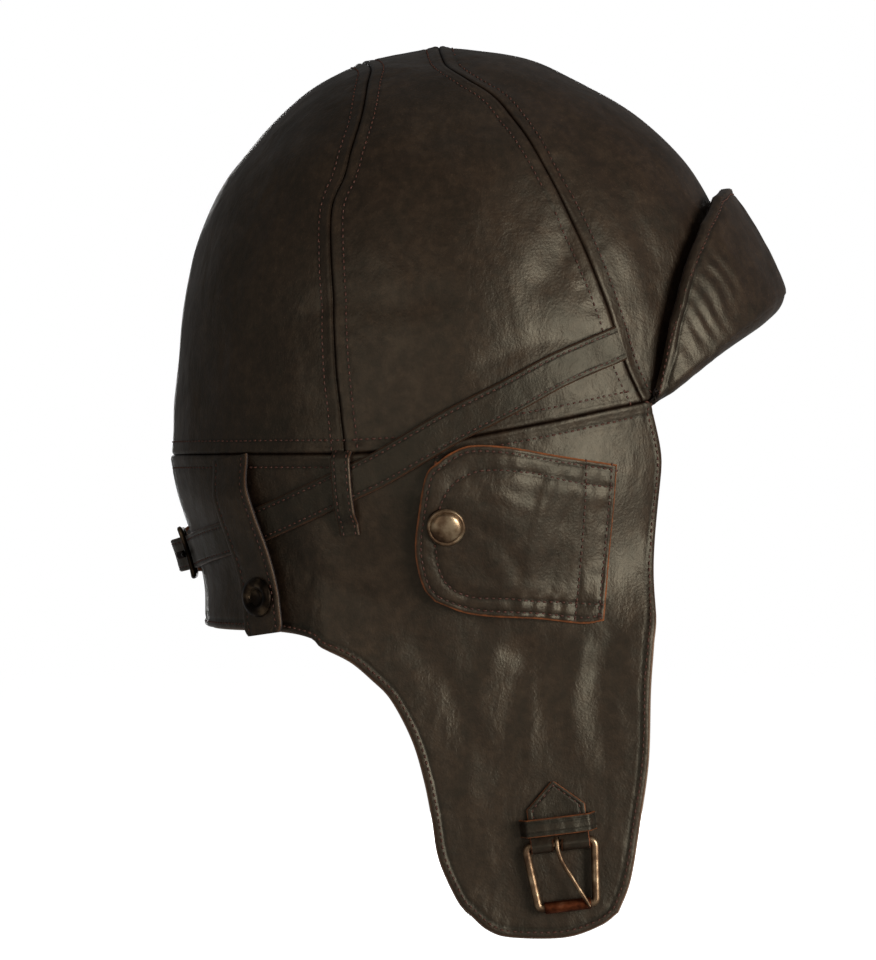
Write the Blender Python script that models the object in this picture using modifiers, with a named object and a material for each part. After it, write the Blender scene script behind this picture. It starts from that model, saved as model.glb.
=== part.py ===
"""Leather flying helmet with a turned-up brow flap, ear covers and chin-strap buckle.

Metres, +Z up, the face looks along +X and the wearer's left is +Y. The origin is the centre of the
head opening, level with the seam between the crown and the neck curtain at the nape.
"""

import math

import bmesh
import bpy
import numpy as np
from mathutils import Matrix, Vector

# Crown: the head form that every piece of leather lies on
CROWN_HALF_LENGTH = 0.1045
CROWN_HALF_WIDTH = 0.084
CROWN_HEIGHT = 0.1486
DOME_FULLNESS = 3.5
DOME_ROUNDNESS = 1.6
CROWN_LEAN = 0.0073
LEAN_GROWTH = 8
APEX_BUMP = 0.0014
APEX_BUMP_REACH = 0.014

# Neck curtain and the way that the leather hangs below the crown
CURTAIN_DEPTH = 0.0620
NAPE_DRAW_IN = 0.012
NAPE_DRAW_DEPTH = 0.052
SIDE_DRAW_IN = 0.004
SIDE_DRAW_DEPTH = 0.060
FLAP_SPACING_SHARE = 0.8333
FLAP_HALF_SPACING = FLAP_SPACING_SHARE * CROWN_HALF_WIDTH
HANG_START_DEPTH = 0.010
HANG_END_DEPTH = 0.070
HANG_REAR_SHARE = -0.593
HANG_FRONT_SHARE = -0.364
HANG_REAR_X = HANG_REAR_SHARE * CROWN_HALF_LENGTH
HANG_FRONT_X = HANG_FRONT_SHARE * CROWN_HALF_LENGTH

# Edge of the face opening
TEMPLE_ANGLE = math.radians(50.8)
TEMPLE_LEVEL = 0.0188
BROW_LEVEL = 0.052
SEAM_RISE_ANGLE = math.radians(112.0)
SEAM_RISE_SHARES = ((0.0, 0.0), (0.17, 0.05), (0.42, 0.34), (0.67, 0.62), (0.81, 0.79), (1.0, 1.0))
FRONT_EDGE_SHARE = 0.6392
FRONT_EDGE_X = FRONT_EDGE_SHARE * CROWN_HALF_LENGTH
FRONT_EDGE_SWELL = 0.0035
FRONT_EDGE_SHARES = ((0.0, 0.0), (0.19, 0.31), (0.59, 0.8), (0.80, 1.0), (1.0, -0.22))

# Walls and the gaps between the pieces
LEATHER = 0.0014
LINING = 0.0012
SEAM_GAP = 0.00035
LAY_GAP = 0.0004
LINING_GAP = 0.0007
LINING_SETBACK = 0.0015
RUNNING_GAP = 0.0003
CUT_OVERRUN = 0.002

# Seams of the crown, in shares of the flattened crown: forward, sideways
REAR_SEAM_ANGLE = math.radians(112.6)
REAR_SEAM_SHARES = (
    (-0.357, 0.777), (-0.318, 0.647), (-0.281, 0.510), (-0.234, 0.447), (-0.183, 0.337),
    (-0.155, 0.225), (-0.140, 0.131), (-0.152, 0.0),
)
FRONT_SEAM_ANGLE = math.radians(53.0)
FRONT_SEAM_SHARES = (
    (0.468, 0.710), (0.389, 0.663), (0.284, 0.585), (0.160, 0.459), (0.072, 0.320),
    (0.026, 0.257), (-0.002, 0.170), (-0.002, 0.0),
)
SEAM_POINTS = 19
SEAM_CORNER = 12

# Ear flap below its fold: outline in shares of its width, from the rear, and of its depth
FLAP_FOLD_LEVEL = -0.0670
FLAP_DEPTH = 0.1011
FLAP_REAR_SHARE = -0.4785
FLAP_REAR_X = FLAP_REAR_SHARE * CROWN_HALF_LENGTH
FLAP_WIDTH = FRONT_EDGE_X - FLAP_REAR_X
FLAP_REAR_SHARES = (
    (0.0, 0.0), (0.092, 0.046), (0.166, 0.116), (0.223, 0.185), (0.285, 0.322), (0.321, 0.460),
    (0.345, 0.597), (0.366, 0.736), (0.420, 0.874), (0.455, 0.920),
)
FLAP_BOTTOM_SHARES = (
    (0.455, 0.920), (0.510, 0.975), (0.580, 1.0), (0.738, 1.0), (0.842, 0.960), (0.895, 0.915),
)
FLAP_FRONT_SHARES = (
    (1.0, 0.0), (0.991, 0.150), (0.985, 0.391), (0.961, 0.597), (0.931, 0.804), (0.895, 0.915),
)
FLAP_LINING_DROP = 0.0012

# Brow flap: two layers turned up over the forehead and folded at the edge of the face opening
BROW_LAYER = 0.0018
BROW_HINGE_LEVEL = 0.0620
BROW_FREE_LEVEL = 0.0968
BROW_REACH = 0.0150
BROW_FREE_REACH = 0.0068
BROW_TEMPLE_REACH = 0.0045
BROW_FOLD_HEIGHT = 0.0097
BROW_ROOT_DROP = 0.0031
BROW_ROOT_TUCK = math.radians(97.0)
BROW_FREE_SHARES = (
    (0.0, 1.0), (0.25, 0.985), (0.44, 0.94), (0.645, 0.81), (0.76, 0.69), (0.82, 0.605),
    (0.865, 0.515), (0.90, 0.425), (0.93, 0.355), (0.95, 0.27), (0.97, 0.195), (1.0, 0.10),
)
BROW_SHORTEST = 0.0030
BROW_END_SHARE = 0.945
BROW_HINGE_FORWARD = 0.0140
BROW_HINGE_X = CROWN_HALF_LENGTH + BROW_HINGE_FORWARD

# Ear cover: a round-ended patch sewn along its front edge
COVER_FRONT_SHARE = 0.512
COVER_LENGTH_SHARE = 0.6603
COVER_FRONT_X = COVER_FRONT_SHARE * CROWN_HALF_LENGTH
COVER_LENGTH = COVER_LENGTH_SHARE * CROWN_HALF_LENGTH
COVER_TOP_LEVEL = 0.0035
COVER_HEIGHT = 0.0625
COVER_SEWN_SHARE = 0.162
COVER_STAND = 0.0031
COVER_HINGE_LIFT = 0.0010
COVER_TOP_SHARES = ((0.0, 0.115), (0.32, 0.062), (0.56, 0.018), (0.73, 0.012), (0.83, 0.055), (0.885, 0.10))
COVER_REAR_SHARES = ((0.885, 0.10), (0.945, 0.17), (0.985, 0.39), (1.0, 0.58), (0.965, 0.77), (0.905, 0.86))
COVER_BOTTOM_SHARES = ((0.055, 0.985), (0.17, 1.0), (0.42, 0.965), (0.72, 0.937), (0.905, 0.86))
COVER_FRONT_SHARES = ((0.0, 0.115), (0.025, 0.55), (0.055, 0.985))
EAR_SNAP_SHARE = -0.048
EAR_SNAP_X = EAR_SNAP_SHARE * CROWN_HALF_LENGTH
EAR_SNAP_LEVEL = -0.0238

# Side strap, from the front seam down to the nape
STRAP_WIDTH = 0.0122
STRAP_WALL = 0.0018
STRAP_TOP_LEVEL = 0.0385
STRAP_FALL = 0.0730
STRAP_PATH_SHARES = (
    (0.323, 0.0), (0.394, 0.125), (0.450, 0.260), (0.506, 0.390), (0.544, 0.490), (0.587, 0.600),
    (0.628, 0.680), (0.687, 0.780), (0.749, 0.863), (0.812, 0.925), (0.878, 0.965), (0.944, 0.992),
    (1.0, 1.0),
)

# Belt loop that the side strap runs through
LOOP_WIDTH = 0.0070
LOOP_HEIGHT = 0.0288
LOOP_ANGLE = math.radians(113.0)
LOOP_TOP_LEVEL = 0.0008
LOOP_WALL = 0.0013
LOOP_RISE_SHARES = ((0.0, 0.0), (0.025, 0.0), (0.085, 1.0), (0.74, 1.0), (0.86, 0.0), (1.0, 0.0))

# Rear tab, sewn at the crown seam and snapped down at the curtain's lower edge
TAB_TOP_ANGLE = math.radians(141.1)
TAB_BOTTOM_ANGLE = math.radians(135.8)
TAB_WIDTH = 0.0180
TAB_TOP_LEVEL = -0.0012
TAB_LENGTH = 0.0620
TAB_STAND = 0.0033
TAB_RISE_SHARE = 0.22
TAB_ROUNDING = 0.0030
REAR_SNAP_LEVEL = -0.0499

# Snap fasteners
SNAP_RADIUS = 0.0067
SNAP_CAP_HEIGHT = 0.0028
SNAP_RIM = 0.0008
SNAP_SOCKET_RADIUS = 0.0052
SNAP_SOCKET_HEIGHT = 0.0014
SNAP_STUD_RADIUS = 0.0028
SNAP_STUD_FLANGE = 0.0046
SNAP_FLANGE_WALL = 0.0006
SNAP_STUD_HEIGHT = 0.0026
SNAP_PLAY = 0.0006
RING_SNAP_RADIUS = 0.0064
RING_SNAP_BORE = 0.0026
RING_SNAP_HEIGHT = 0.0017
SNAP_STEPS = 16

# Chin-strap buckle on the right ear flap
BUCKLE_SHARE = 0.3292
BUCKLE_X = BUCKLE_SHARE * CROWN_HALF_LENGTH
BUCKLE_LEVEL = -0.1350
BUCKLE_WIDTH = 0.0244
BUCKLE_FOOT_WIDTH = 0.0200
BUCKLE_HEIGHT = 0.0220
BUCKLE_WIRE = 0.0012
BUCKLE_CORNER = 0.0030
BUCKLE_FOOT_CORNER = 0.0016
BUCKLE_TILT = math.radians(7.0)
BAR_GAP = 0.0005
ROLLER_RADIUS = 0.0021
ROLLER_LENGTH = 0.0162
PRONG_WIRE = 0.0008
PRONG_OFFSET = -0.0011
PRONG_SHARES = ((0.0, 0.10), (0.05, 0.30), (0.22, 0.52), (0.55, 0.78), (0.76, 0.94), (0.83, 1.04))
PRONG_SWEEP = 0.0108
CHAPE_WALL = 0.0013
CHAPE_WIDTH = 0.0205
CHAPE_LENGTH = 0.0212
CHAPE_POINT = 0.0088
CHAPE_SLOT = 0.0046
CHAPE_RETURN = 0.0090
KEEPER_PLACE = 0.0088
KEEPER_HEIGHT = 0.0052
KEEPER_WIDTH = 0.0272
KEEPER_RISE = 0.0060
KEEPER_RISE_SHARES = ((0.0, 0.0), (0.035, 0.0), (0.10, 1.0), (0.90, 1.0), (0.965, 0.0), (1.0, 0.0))

# Chin strap on the left ear flap, turned up inside the flap
STRAP_TIP_SHARE = 0.12
CHIN_STRAP_WIDTH = 0.0190
CHIN_STRAP_WALL = 0.0018
CHIN_STRAP_FREE = 0.0900
CHIN_STRAP_POINT = 0.0090
CHIN_PATCH_TOP_LEVEL = -0.1138
CHIN_BEND_LEVEL = -0.1712
CHIN_SHARE = 0.2584
CHIN_X = CHIN_SHARE * CROWN_HALF_LENGTH

# Small buckle at the nape
NAPE_BUCKLE_LEVEL = -0.0345
NAPE_BUCKLE_SPAN = 0.0140
NAPE_BUCKLE_HEIGHT = 0.0176
NAPE_BUCKLE_WIRE = 0.0010
NAPE_BUCKLE_CORNER = 0.0022
NAPE_TONGUE_LENGTH = 0.0270
NAPE_RETURN = 0.0060
NAPE_SLOT = 0.0040
NAPE_SLOT_SHARE = 1.24
NAPE_KEEPER_PLACE = 0.0205
NAPE_KEEPER_WIDTH = 0.0050
NAPE_KEEPER_HEIGHT = 0.0172
NAPE_KEEPER_RISE_SHARES = ((0.0, 0.0), (0.02, 0.0), (0.08, 1.0), (0.92, 1.0), (0.98, 0.0), (1.0, 0.0))
NAPE_PRONG_WIRE = 0.0006

SIDES = {"right": -1, "left": 1}
PART = bpy.data.collections.new("flying_helmet")
CUTTERS = bpy.data.collections.new("cutters")


# Scene and materials
def clear_scene():
    for obj in list(bpy.data.objects):
        bpy.data.objects.remove(obj, do_unlink=True)
    bpy.context.scene.collection.children.link(PART)
    bpy.context.scene.collection.children.link(CUTTERS)


def material(name, colour, roughness, metallic=0.0):
    made = bpy.data.materials.new(name)
    made.use_nodes = True
    shader = made.node_tree.nodes["Principled BSDF"]
    shader.inputs["Base Color"].default_value = (*colour, 1.0)
    shader.inputs["Roughness"].default_value = roughness
    shader.inputs["Metallic"].default_value = metallic
    made.diffuse_color = (*colour, 1.0)
    return made


# The head form
def smooth_share(value, start, end):
    share = min(1.0, max(0.0, (value - start) / (end - start)))
    return share * share * (3.0 - 2.0 * share)


def dome_share(level):
    height_share = min(1.0, max(0.0, level / CROWN_HEIGHT))
    return max(0.0, 1.0 - height_share**DOME_FULLNESS) ** (1.0 / DOME_ROUNDNESS)


def half_length(level):
    if level > 0.0:
        return CROWN_HALF_LENGTH * dome_share(level)
    return CROWN_HALF_LENGTH - NAPE_DRAW_IN * smooth_share(-level, 0.0, NAPE_DRAW_DEPTH)


def half_width(level):
    if level > 0.0:
        return CROWN_HALF_WIDTH * dome_share(level)
    return CROWN_HALF_WIDTH - SIDE_DRAW_IN * smooth_share(-level, 0.0, SIDE_DRAW_DEPTH)


def centre_x(level):
    return -CROWN_LEAN * min(1.0, max(0.0, level / CROWN_HEIGHT)) ** LEAN_GROWTH


def head_point(angle, level):
    """A point of the leather's outer face: angle 0 is the brow, pi the nape, positive to the left."""
    x = centre_x(level) + half_length(level) * math.cos(angle)
    y = half_width(level) * abs(math.sin(angle))
    flat = smooth_share(-level, HANG_START_DEPTH, HANG_END_DEPTH)
    flat *= smooth_share(x, HANG_REAR_X, HANG_FRONT_X)
    y += (FLAP_HALF_SPACING - y) * flat
    return np.array((x, math.copysign(y, math.sin(angle)), level))


def crown_profile():
    """Share of the way from the top to the seam, along the leather, and the level there."""
    top_shares = 1.0 - np.geomspace(0.1, 1e-7, 400)
    height_shares = np.concatenate([np.linspace(0.0, 0.9, 200), top_shares[1:], [1.0]])
    heights = CROWN_HEIGHT * height_shares
    radii = np.array([CROWN_HALF_LENGTH * dome_share(height) for height in heights])
    steps = np.hypot(np.diff(radii), np.diff(heights))
    run = np.concatenate([[0.0], np.cumsum(steps)])
    return 1.0 - run / run[-1], heights, run[-1]


PROFILE_REACH, PROFILE_LEVELS, PROFILE_LENGTH = crown_profile()


def crown_level(reach):
    return float(np.interp(reach, PROFILE_REACH[::-1], PROFILE_LEVELS[::-1]))


def crown_reach(level):
    return float(np.interp(level, PROFILE_LEVELS, PROFILE_REACH))


def crown_point(forward, sideways):
    """A point of the crown from its shares on the flattened crown, with the bump where seams meet."""
    reach = math.hypot(forward, sideways)
    point = head_point(math.atan2(sideways, forward), crown_level(min(reach, 1.0)))
    rise = math.exp(-((reach * PROFILE_LENGTH / APEX_BUMP_REACH) ** 2))
    return point + np.array((0.0, 0.0, APEX_BUMP * rise))


def surface_normal(place, first, second):
    step = 1e-3
    along = place(first + step, second) - place(first - step, second)
    across = place(first, second + step) - place(first, second - step)
    normal = np.cross(along, across)
    normal /= np.linalg.norm(normal)
    point = place(first, second)
    out = np.array((point[0], point[1], max(point[2], 0.0)))
    return normal if normal @ out > 0.0 else -normal


def on_crown(forward, sideways, lift):
    return crown_point(forward, sideways) + lift * surface_normal(crown_point, forward, sideways)


def on_band(angle, level, lift):
    """A point over the curtain or the crown's lower half, by its angle round the head and level."""

    def place(turn, height_share):
        return head_point(turn, height_share * CROWN_HEIGHT)

    return head_point(angle, level) + lift * surface_normal(place, angle, level / CROWN_HEIGHT)


def angle_at(x, level):
    return math.acos(max(-1.0, min(1.0, (x - centre_x(level)) / half_length(level))))


def on_side(side):
    """Placing by distance forward and level, on the right or the left of the head."""

    def place(x, level, lift):
        return on_band(side * angle_at(x, level), level, lift)

    return place


def nearest_pattern(point):
    """Angle and level of the surface under a point that lies close to it."""
    x, y, level = point
    forward = (x - centre_x(level)) / half_length(level)
    if x > HANG_REAR_X:
        return math.copysign(math.acos(max(-1.0, min(1.0, forward))), y), level
    return math.atan2(y / half_width(level), forward), level


def rim_level(angle):
    """Lower edge of the crown: level at the back, rising to the temple and then to the brow."""
    turned = abs(math.remainder(angle, 2.0 * math.pi))
    if turned >= SEAM_RISE_ANGLE:
        return 0.0
    if turned >= TEMPLE_ANGLE:
        share = (SEAM_RISE_ANGLE - turned) / (SEAM_RISE_ANGLE - TEMPLE_ANGLE)
        places, rises = zip(*SEAM_RISE_SHARES)
        return TEMPLE_LEVEL * float(np.interp(share, places, rises))
    share = (math.cos(turned) - math.cos(TEMPLE_ANGLE)) / (1.0 - math.cos(TEMPLE_ANGLE))
    return TEMPLE_LEVEL + (BROW_LEVEL - TEMPLE_LEVEL) * share


# Curves and patches in the leather's own pattern
def evenly(points, count):
    run = np.concatenate([[0.0], np.cumsum(np.linalg.norm(np.diff(points, axis=0), axis=1))])
    wanted = np.linspace(0.0, run[-1], count)
    return np.stack([np.interp(wanted, run, points[:, k]) for k in range(points.shape[1])], axis=1)


def drawn_curve(points, count):
    """Evenly spaced points of a smooth curve through the given ones."""
    knots = np.array(points, float)
    padded = np.vstack([2 * knots[0] - knots[1], knots, 2 * knots[-1] - knots[-2]])
    fine = []
    for i in range(1, len(padded) - 2):
        before, start, end, after = padded[i - 1 : i + 3]
        for t in np.linspace(0.0, 1.0, 12, endpoint=False):
            bend = (2 * before - 5 * start + 4 * end - after) * t * t
            twist = (3 * start - before - 3 * end + after) * t**3
            fine.append(0.5 * (2 * start + (end - before) * t + bend + twist))
    return evenly(np.vstack([fine, knots[-1]]), count)


def patch(bottom, top, left, right):
    """Grid between four edges: bottom and top run the same way, and so do left and right."""
    u = np.linspace(0.0, 1.0, len(bottom))[None, :, None]
    v = np.linspace(0.0, 1.0, len(left))[:, None, None]
    edges = (1 - v) * bottom[None] + v * top[None] + (1 - u) * left[:, None] + u * right[:, None]
    corners = (1 - u) * (1 - v) * bottom[0] + u * (1 - v) * bottom[-1]
    return edges - corners - (1 - u) * v * top[0] - u * v * top[-1]


def edge_step(edge, inner, gap):
    """Steps from an edge towards its inner neighbours that move the edge in by a gap."""
    along = np.gradient(edge, axis=0)
    along /= np.linalg.norm(along, axis=1, keepdims=True)
    step = inner - edge
    square = step - (step * along).sum(axis=1, keepdims=True) * along
    reach = np.linalg.norm(square, axis=1, keepdims=True)
    return step * np.minimum(gap / reach, 0.5)


def drawn_in(points, gap):
    """A grid of points with each edge moved in by a gap."""
    moved = points.copy()
    for edge, inner in ((0, 1), (-1, -2)):
        moved[:, edge] += edge_step(points[:, edge], points[:, inner], gap)
    for edge, inner in ((0, 1), (-1, -2)):
        moved[edge] += edge_step(moved[edge].copy(), moved[inner], gap)
    return moved


# Objects
def add_object(name, mesh, slot, smooth_angle=40.0):
    obj = bpy.data.objects.new(name, mesh)
    PART.objects.link(obj)
    mesh.materials.append(slot)
    mesh.shade_smooth()
    mesh.set_sharp_from_angle(angle=math.radians(smooth_angle))
    return obj


def put_origin(obj, origin):
    """Moves the object's origin to its joint's axis and leaves its shape where it is."""
    obj.data.transform(Matrix.Translation(-Vector(origin)))
    obj.location = origin


def grid_mesh(name, points, closed=False):
    """A sheet through a grid of points. A closed one joins its last column to its first."""
    rows, columns = points.shape[:2]
    mesh = bpy.data.meshes.new(name)
    shape = bmesh.new()
    bmesh.ops.create_grid(shape, x_segments=columns - 1, y_segments=rows - 1, size=CROWN_HEIGHT)
    shape.verts.ensure_lookup_table()
    for j in range(rows):
        for i in range(columns):
            shape.verts[j * columns + i].co = points[j, i]
    if closed:
        bmesh.ops.remove_doubles(shape, verts=shape.verts, dist=1e-6)
    shape.to_mesh(mesh)
    shape.free()
    return mesh


def turned_out(mesh, place, outward):
    """Turns the sheet so that its face nearest to the place points outward."""
    face = min(mesh.polygons, key=lambda face: (face.center - Vector(place)).length)
    if np.dot(face.normal, outward) < 0.0:
        mesh.flip_normals()


def solid_sheet(name, points, outward, wall, slot, offset=-1.0, closed=False):
    """A wall of even thickness on a grid of points. Its outward side is the given direction."""
    mesh = grid_mesh(name, points, closed)
    turned_out(mesh, points[points.shape[0] // 2, points.shape[1] // 2], outward)
    obj = add_object(name, mesh, slot)
    thick = obj.modifiers.new("wall", "SOLIDIFY")
    thick.thickness = wall
    thick.offset = offset
    thick.use_even_offset = True
    return obj


def middle_wall(name, mesh, wall, slot):
    """A wall of even thickness on both sides of a sheet."""
    obj = add_object(name, mesh, slot)
    thick = obj.modifiers.new("wall", "SOLIDIFY")
    thick.thickness = wall
    thick.offset = 0.0
    thick.use_even_offset = True
    return obj


def outward_of(points, raised):
    row, column = points.shape[0] // 2, points.shape[1] // 2
    return raised[row, column] - points[row, column]


def laid_sheet(name, place, grid, lift, wall, slot, gap=0.0, closed=False):
    """Leather laid over the head by its pattern grid. Lift is the height of its inner face."""
    rows, columns = grid.shape[:2]
    levels = np.broadcast_to(np.array(lift, float), (rows, columns))
    points = np.zeros((rows, columns, 3))
    raised = np.zeros((rows, columns, 3))
    for j in range(rows):
        for i in range(columns):
            height = levels[j, i] + wall
            points[j, i] = place(*grid[j, i], height)
            raised[j, i] = place(*grid[j, i], height + wall)
    if gap:
        points = drawn_in(points, gap)
    return solid_sheet(name, points, outward_of(points, raised), wall, slot, closed=closed)


def ribbon_grid(path, lifts, width, columns, wall, taper=None):
    """Outer face of a strap of one width that follows a path of angles and levels."""
    centres = np.array([on_band(angle, level, 0.0) for angle, level in path])
    tangents = np.gradient(centres, axis=0)
    points = np.zeros((len(path), columns, 3))
    for j, (angle, level) in enumerate(path):
        normal = on_band(angle, level, CROWN_HEIGHT) - centres[j]
        across = np.cross(normal, tangents[j])
        across /= np.linalg.norm(across)
        half = 0.5 * (width if taper is None else taper[j])
        for i, share in enumerate(np.linspace(-1.0, 1.0, columns)):
            turn, height = nearest_pattern(centres[j] + across * share * half)
            points[j, i] = on_band(turn, height, lifts[j] + wall)
    return points


def ribbon(name, path, lifts, width, wall, slot, columns=3, taper=None):
    points = ribbon_grid(path, lifts, width, columns, wall, taper)
    middle = len(path) // 2
    outward = on_band(*path[middle], CROWN_HEIGHT) - on_band(*path[middle], 0.0)
    return solid_sheet(name, points, outward, wall, slot)


def rise_along(rises, low, rise, shares):
    """Heights at shares of a band's length, from its table of length and of rise."""
    places, heights = zip(*rises)
    return low + rise * np.interp(shares, places, heights)


def mesh_of(obj):
    """The object's finished mesh, with a curve's caps welded to its sides."""
    graph = bpy.context.evaluated_depsgraph_get()
    mesh = bpy.data.meshes.new_from_object(obj.evaluated_get(graph))
    shape = bmesh.new()
    shape.from_mesh(mesh)
    bmesh.ops.remove_doubles(shape, verts=shape.verts, dist=1e-6)
    bmesh.ops.recalc_face_normals(shape, faces=shape.faces)
    shape.to_mesh(mesh)
    shape.free()
    return mesh


def wire(name, points, radius, slot, closed=False, resolution=2, radii=None):
    """A round wire along a path of points."""
    curve = bpy.data.curves.new(name, "CURVE")
    curve.dimensions = "3D"
    curve.bevel_depth = radius
    curve.bevel_resolution = resolution
    curve.use_fill_caps = True
    spline = curve.splines.new("POLY")
    spline.points.add(len(points) - 1)
    for i, point in enumerate(points):
        spline.points[i].co = (*point, 1.0)
        spline.points[i].radius = 1.0 if radii is None else radii[i]
    spline.use_cyclic_u = closed
    drawn = bpy.data.objects.new(name + "_path", curve)
    PART.objects.link(drawn)
    mesh = mesh_of(drawn)
    bpy.data.objects.remove(drawn, do_unlink=True)
    bpy.data.curves.remove(curve)
    mesh.materials.clear()
    return add_object(name, mesh, slot, 60.0)


def turned(name, profile, slot, seat, axis):
    """A turned piece: its profile of radii and heights stands on the seat along the axis."""
    mesh = bpy.data.meshes.new(name)
    shape = bmesh.new()
    corners = [shape.verts.new((radius, 0.0, height)) for radius, height in profile]
    for start, end in zip(corners, corners[1:]):
        shape.edges.new((start, end))
    if profile[0][0] > 0.0:
        shape.edges.new((corners[-1], corners[0]))
    shape.to_mesh(mesh)
    shape.free()
    plain = bpy.data.objects.new(name + "_profile", mesh)
    PART.objects.link(plain)
    screw = plain.modifiers.new("turn", "SCREW")
    screw.steps = SNAP_STEPS
    screw.render_steps = SNAP_STEPS
    screw.use_merge_vertices = True
    screw.merge_threshold = 1e-5
    finished = mesh_of(plain)
    bpy.data.objects.remove(plain, do_unlink=True)
    obj = add_object(name, finished, slot, 30.0)
    obj.rotation_euler = Vector((0.0, 0.0, 1.0)).rotation_difference(Vector(axis)).to_euler()
    obj.location = seat
    return obj


def cut_slot(obj, centre, outward, size):
    """Cuts a slot through the piece along the outward direction: its size is depth, width, height."""
    mesh = bpy.data.meshes.new(obj.name + "_cutter")
    shape = bmesh.new()
    bmesh.ops.create_cube(shape, size=1.0)
    bmesh.ops.scale(shape, verts=shape.verts, vec=size)
    shape.to_mesh(mesh)
    shape.free()
    cutter = bpy.data.objects.new(obj.name + "_cutter", mesh)
    cutter.location = centre
    across = np.cross((0.0, 0.0, 1.0), outward)
    across /= np.linalg.norm(across)
    axes = Matrix((outward, across, np.cross(outward, across)))
    cutter.rotation_euler = axes.transposed().to_euler()
    cutter.hide_render = True
    cutter.display_type = "WIRE"
    CUTTERS.objects.link(cutter)
    cut = obj.modifiers.new("cut", "BOOLEAN")
    cut.operation = "DIFFERENCE"
    cut.object = cutter


# Crown
def seam_curve(base_angle, shares, side):
    """One crown seam from the lower edge to the top, on the flattened crown."""
    reach = crown_reach(rim_level(base_angle))
    base = (reach * math.cos(base_angle), reach * math.sin(base_angle))
    return drawn_curve([base, *shares], SEAM_POINTS) * (1.0, side)


def rim_curve(start, end, count):
    turns = np.linspace(start, end, count)
    reaches = [crown_reach(rim_level(turn)) for turn in turns]
    return np.array([(r * math.cos(t), r * math.sin(t)) for r, t in zip(reaches, turns)])


def crown_side_panel(name, side, slot):
    rear = seam_curve(REAR_SEAM_ANGLE, REAR_SEAM_SHARES, side)
    front = seam_curve(FRONT_SEAM_ANGLE, FRONT_SEAM_SHARES, side)
    bottom = rim_curve(side * REAR_SEAM_ANGLE, side * FRONT_SEAM_ANGLE, 9)
    top = evenly(np.array([rear[-1], front[-1]]), 9)
    grid = patch(bottom, top, rear, front)
    return laid_sheet(name, on_crown, grid, -LEATHER, LEATHER, slot, SEAM_GAP)


def crown_end_panel(name, base_angle, shares, facing, slot):
    """Front or rear panel: its sides are the two matching seams, and its top is their upper run."""
    right = seam_curve(base_angle, shares, -1)
    left = seam_curve(base_angle, shares, 1)
    top = np.vstack([right[SEAM_CORNER:], left[SEAM_CORNER:-1][::-1]])
    start = -base_angle if facing > 0 else 2 * math.pi - base_angle
    bottom = rim_curve(start, base_angle, len(top))
    grid = patch(bottom, top, right[: SEAM_CORNER + 1], left[: SEAM_CORNER + 1])
    return laid_sheet(name, on_crown, grid, -LEATHER, LEATHER, slot, SEAM_GAP)


def crown_lining(slot):
    """Lining of the whole crown, set back from the rim."""
    columns, rows = 31, 9
    turns = np.linspace(-math.pi, math.pi, columns)
    grid = np.zeros((rows, columns, 2))
    for i, turn in enumerate(turns):
        edge = crown_reach(rim_level(turn) + LINING_SETBACK)
        for j, share in enumerate(np.linspace(0.0, 1.0, rows)):
            grid[j, i] = (share * edge * math.cos(turn), share * edge * math.sin(turn))
    lift = -LEATHER - LINING_GAP - LINING
    return laid_sheet("crown_lining", on_crown, grid, lift, LINING, slot, closed=True)


# Neck curtain and ear flaps
def front_edge(count):
    """Front edge of the ear section, from the flap's fold up to the temple: angle and level."""
    points = []
    for height_share, swell in FRONT_EDGE_SHARES:
        level = FLAP_FOLD_LEVEL + height_share * (TEMPLE_LEVEL - FLAP_FOLD_LEVEL)
        points.append((angle_at(FRONT_EDGE_X + swell * FRONT_EDGE_SWELL, level), level))
    return drawn_curve(points, count)


def curtain_grid(columns, rows):
    """Half of the curtain from the nape to the front edge of the ear section: angle and level."""
    front = front_edge(rows)
    fold = FLAP_FOLD_LEVEL
    fold_angle = angle_at(FLAP_REAR_X, FLAP_FOLD_LEVEL)
    bottom_knots = [(math.pi, -CURTAIN_DEPTH), (fold_angle + LOOP_WIDTH / FLAP_HALF_SPACING, -CURTAIN_DEPTH)]
    bottom_knots += [(fold_angle, fold), (front[0][0], fold)]
    bottom = evenly(np.array(bottom_knots), columns)
    turns = np.linspace(math.pi, front[-1][0], columns)
    top = np.array([(turn, rim_level(turn)) for turn in turns])
    top[-1] = front[-1]
    bottom[-1] = front[0]
    rear = evenly(np.array([bottom[0], top[0]]), rows)
    return patch(bottom, top, rear, front)


def curtain_half(name, side, slot):
    grid = curtain_grid(21, 8) * (side, 1.0)
    return laid_sheet(name, on_band, grid, -LEATHER, LEATHER, slot, SEAM_GAP)


def curtain_lining(name, side, slot):
    grid = curtain_grid(17, 6) * (side, 1.0)
    lift = -LEATHER - LINING_GAP - LINING
    return laid_sheet(name, on_band, grid, lift, LINING, slot, RUNNING_GAP + LINING_SETBACK)


def flap_curve(shares, top_drop, count):
    knots = []
    for along, down in shares:
        level = FLAP_FOLD_LEVEL - top_drop - down * (FLAP_DEPTH - top_drop)
        knots.append((FLAP_REAR_X + along * FLAP_WIDTH, level))
    return drawn_curve(knots, count)


def ear_flap_sheet(name, side, top_drop, lift, wall, slot, columns, rows, gap):
    rear = flap_curve(FLAP_REAR_SHARES, top_drop, rows)
    front = flap_curve(FLAP_FRONT_SHARES, top_drop, rows)
    bottom = flap_curve(FLAP_BOTTOM_SHARES, top_drop, columns)
    top = evenly(np.array([rear[0], front[0]]), columns)
    grid = patch(top, bottom, rear, front)
    return laid_sheet(name, on_side(side), grid, lift, wall, slot, gap)


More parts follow.
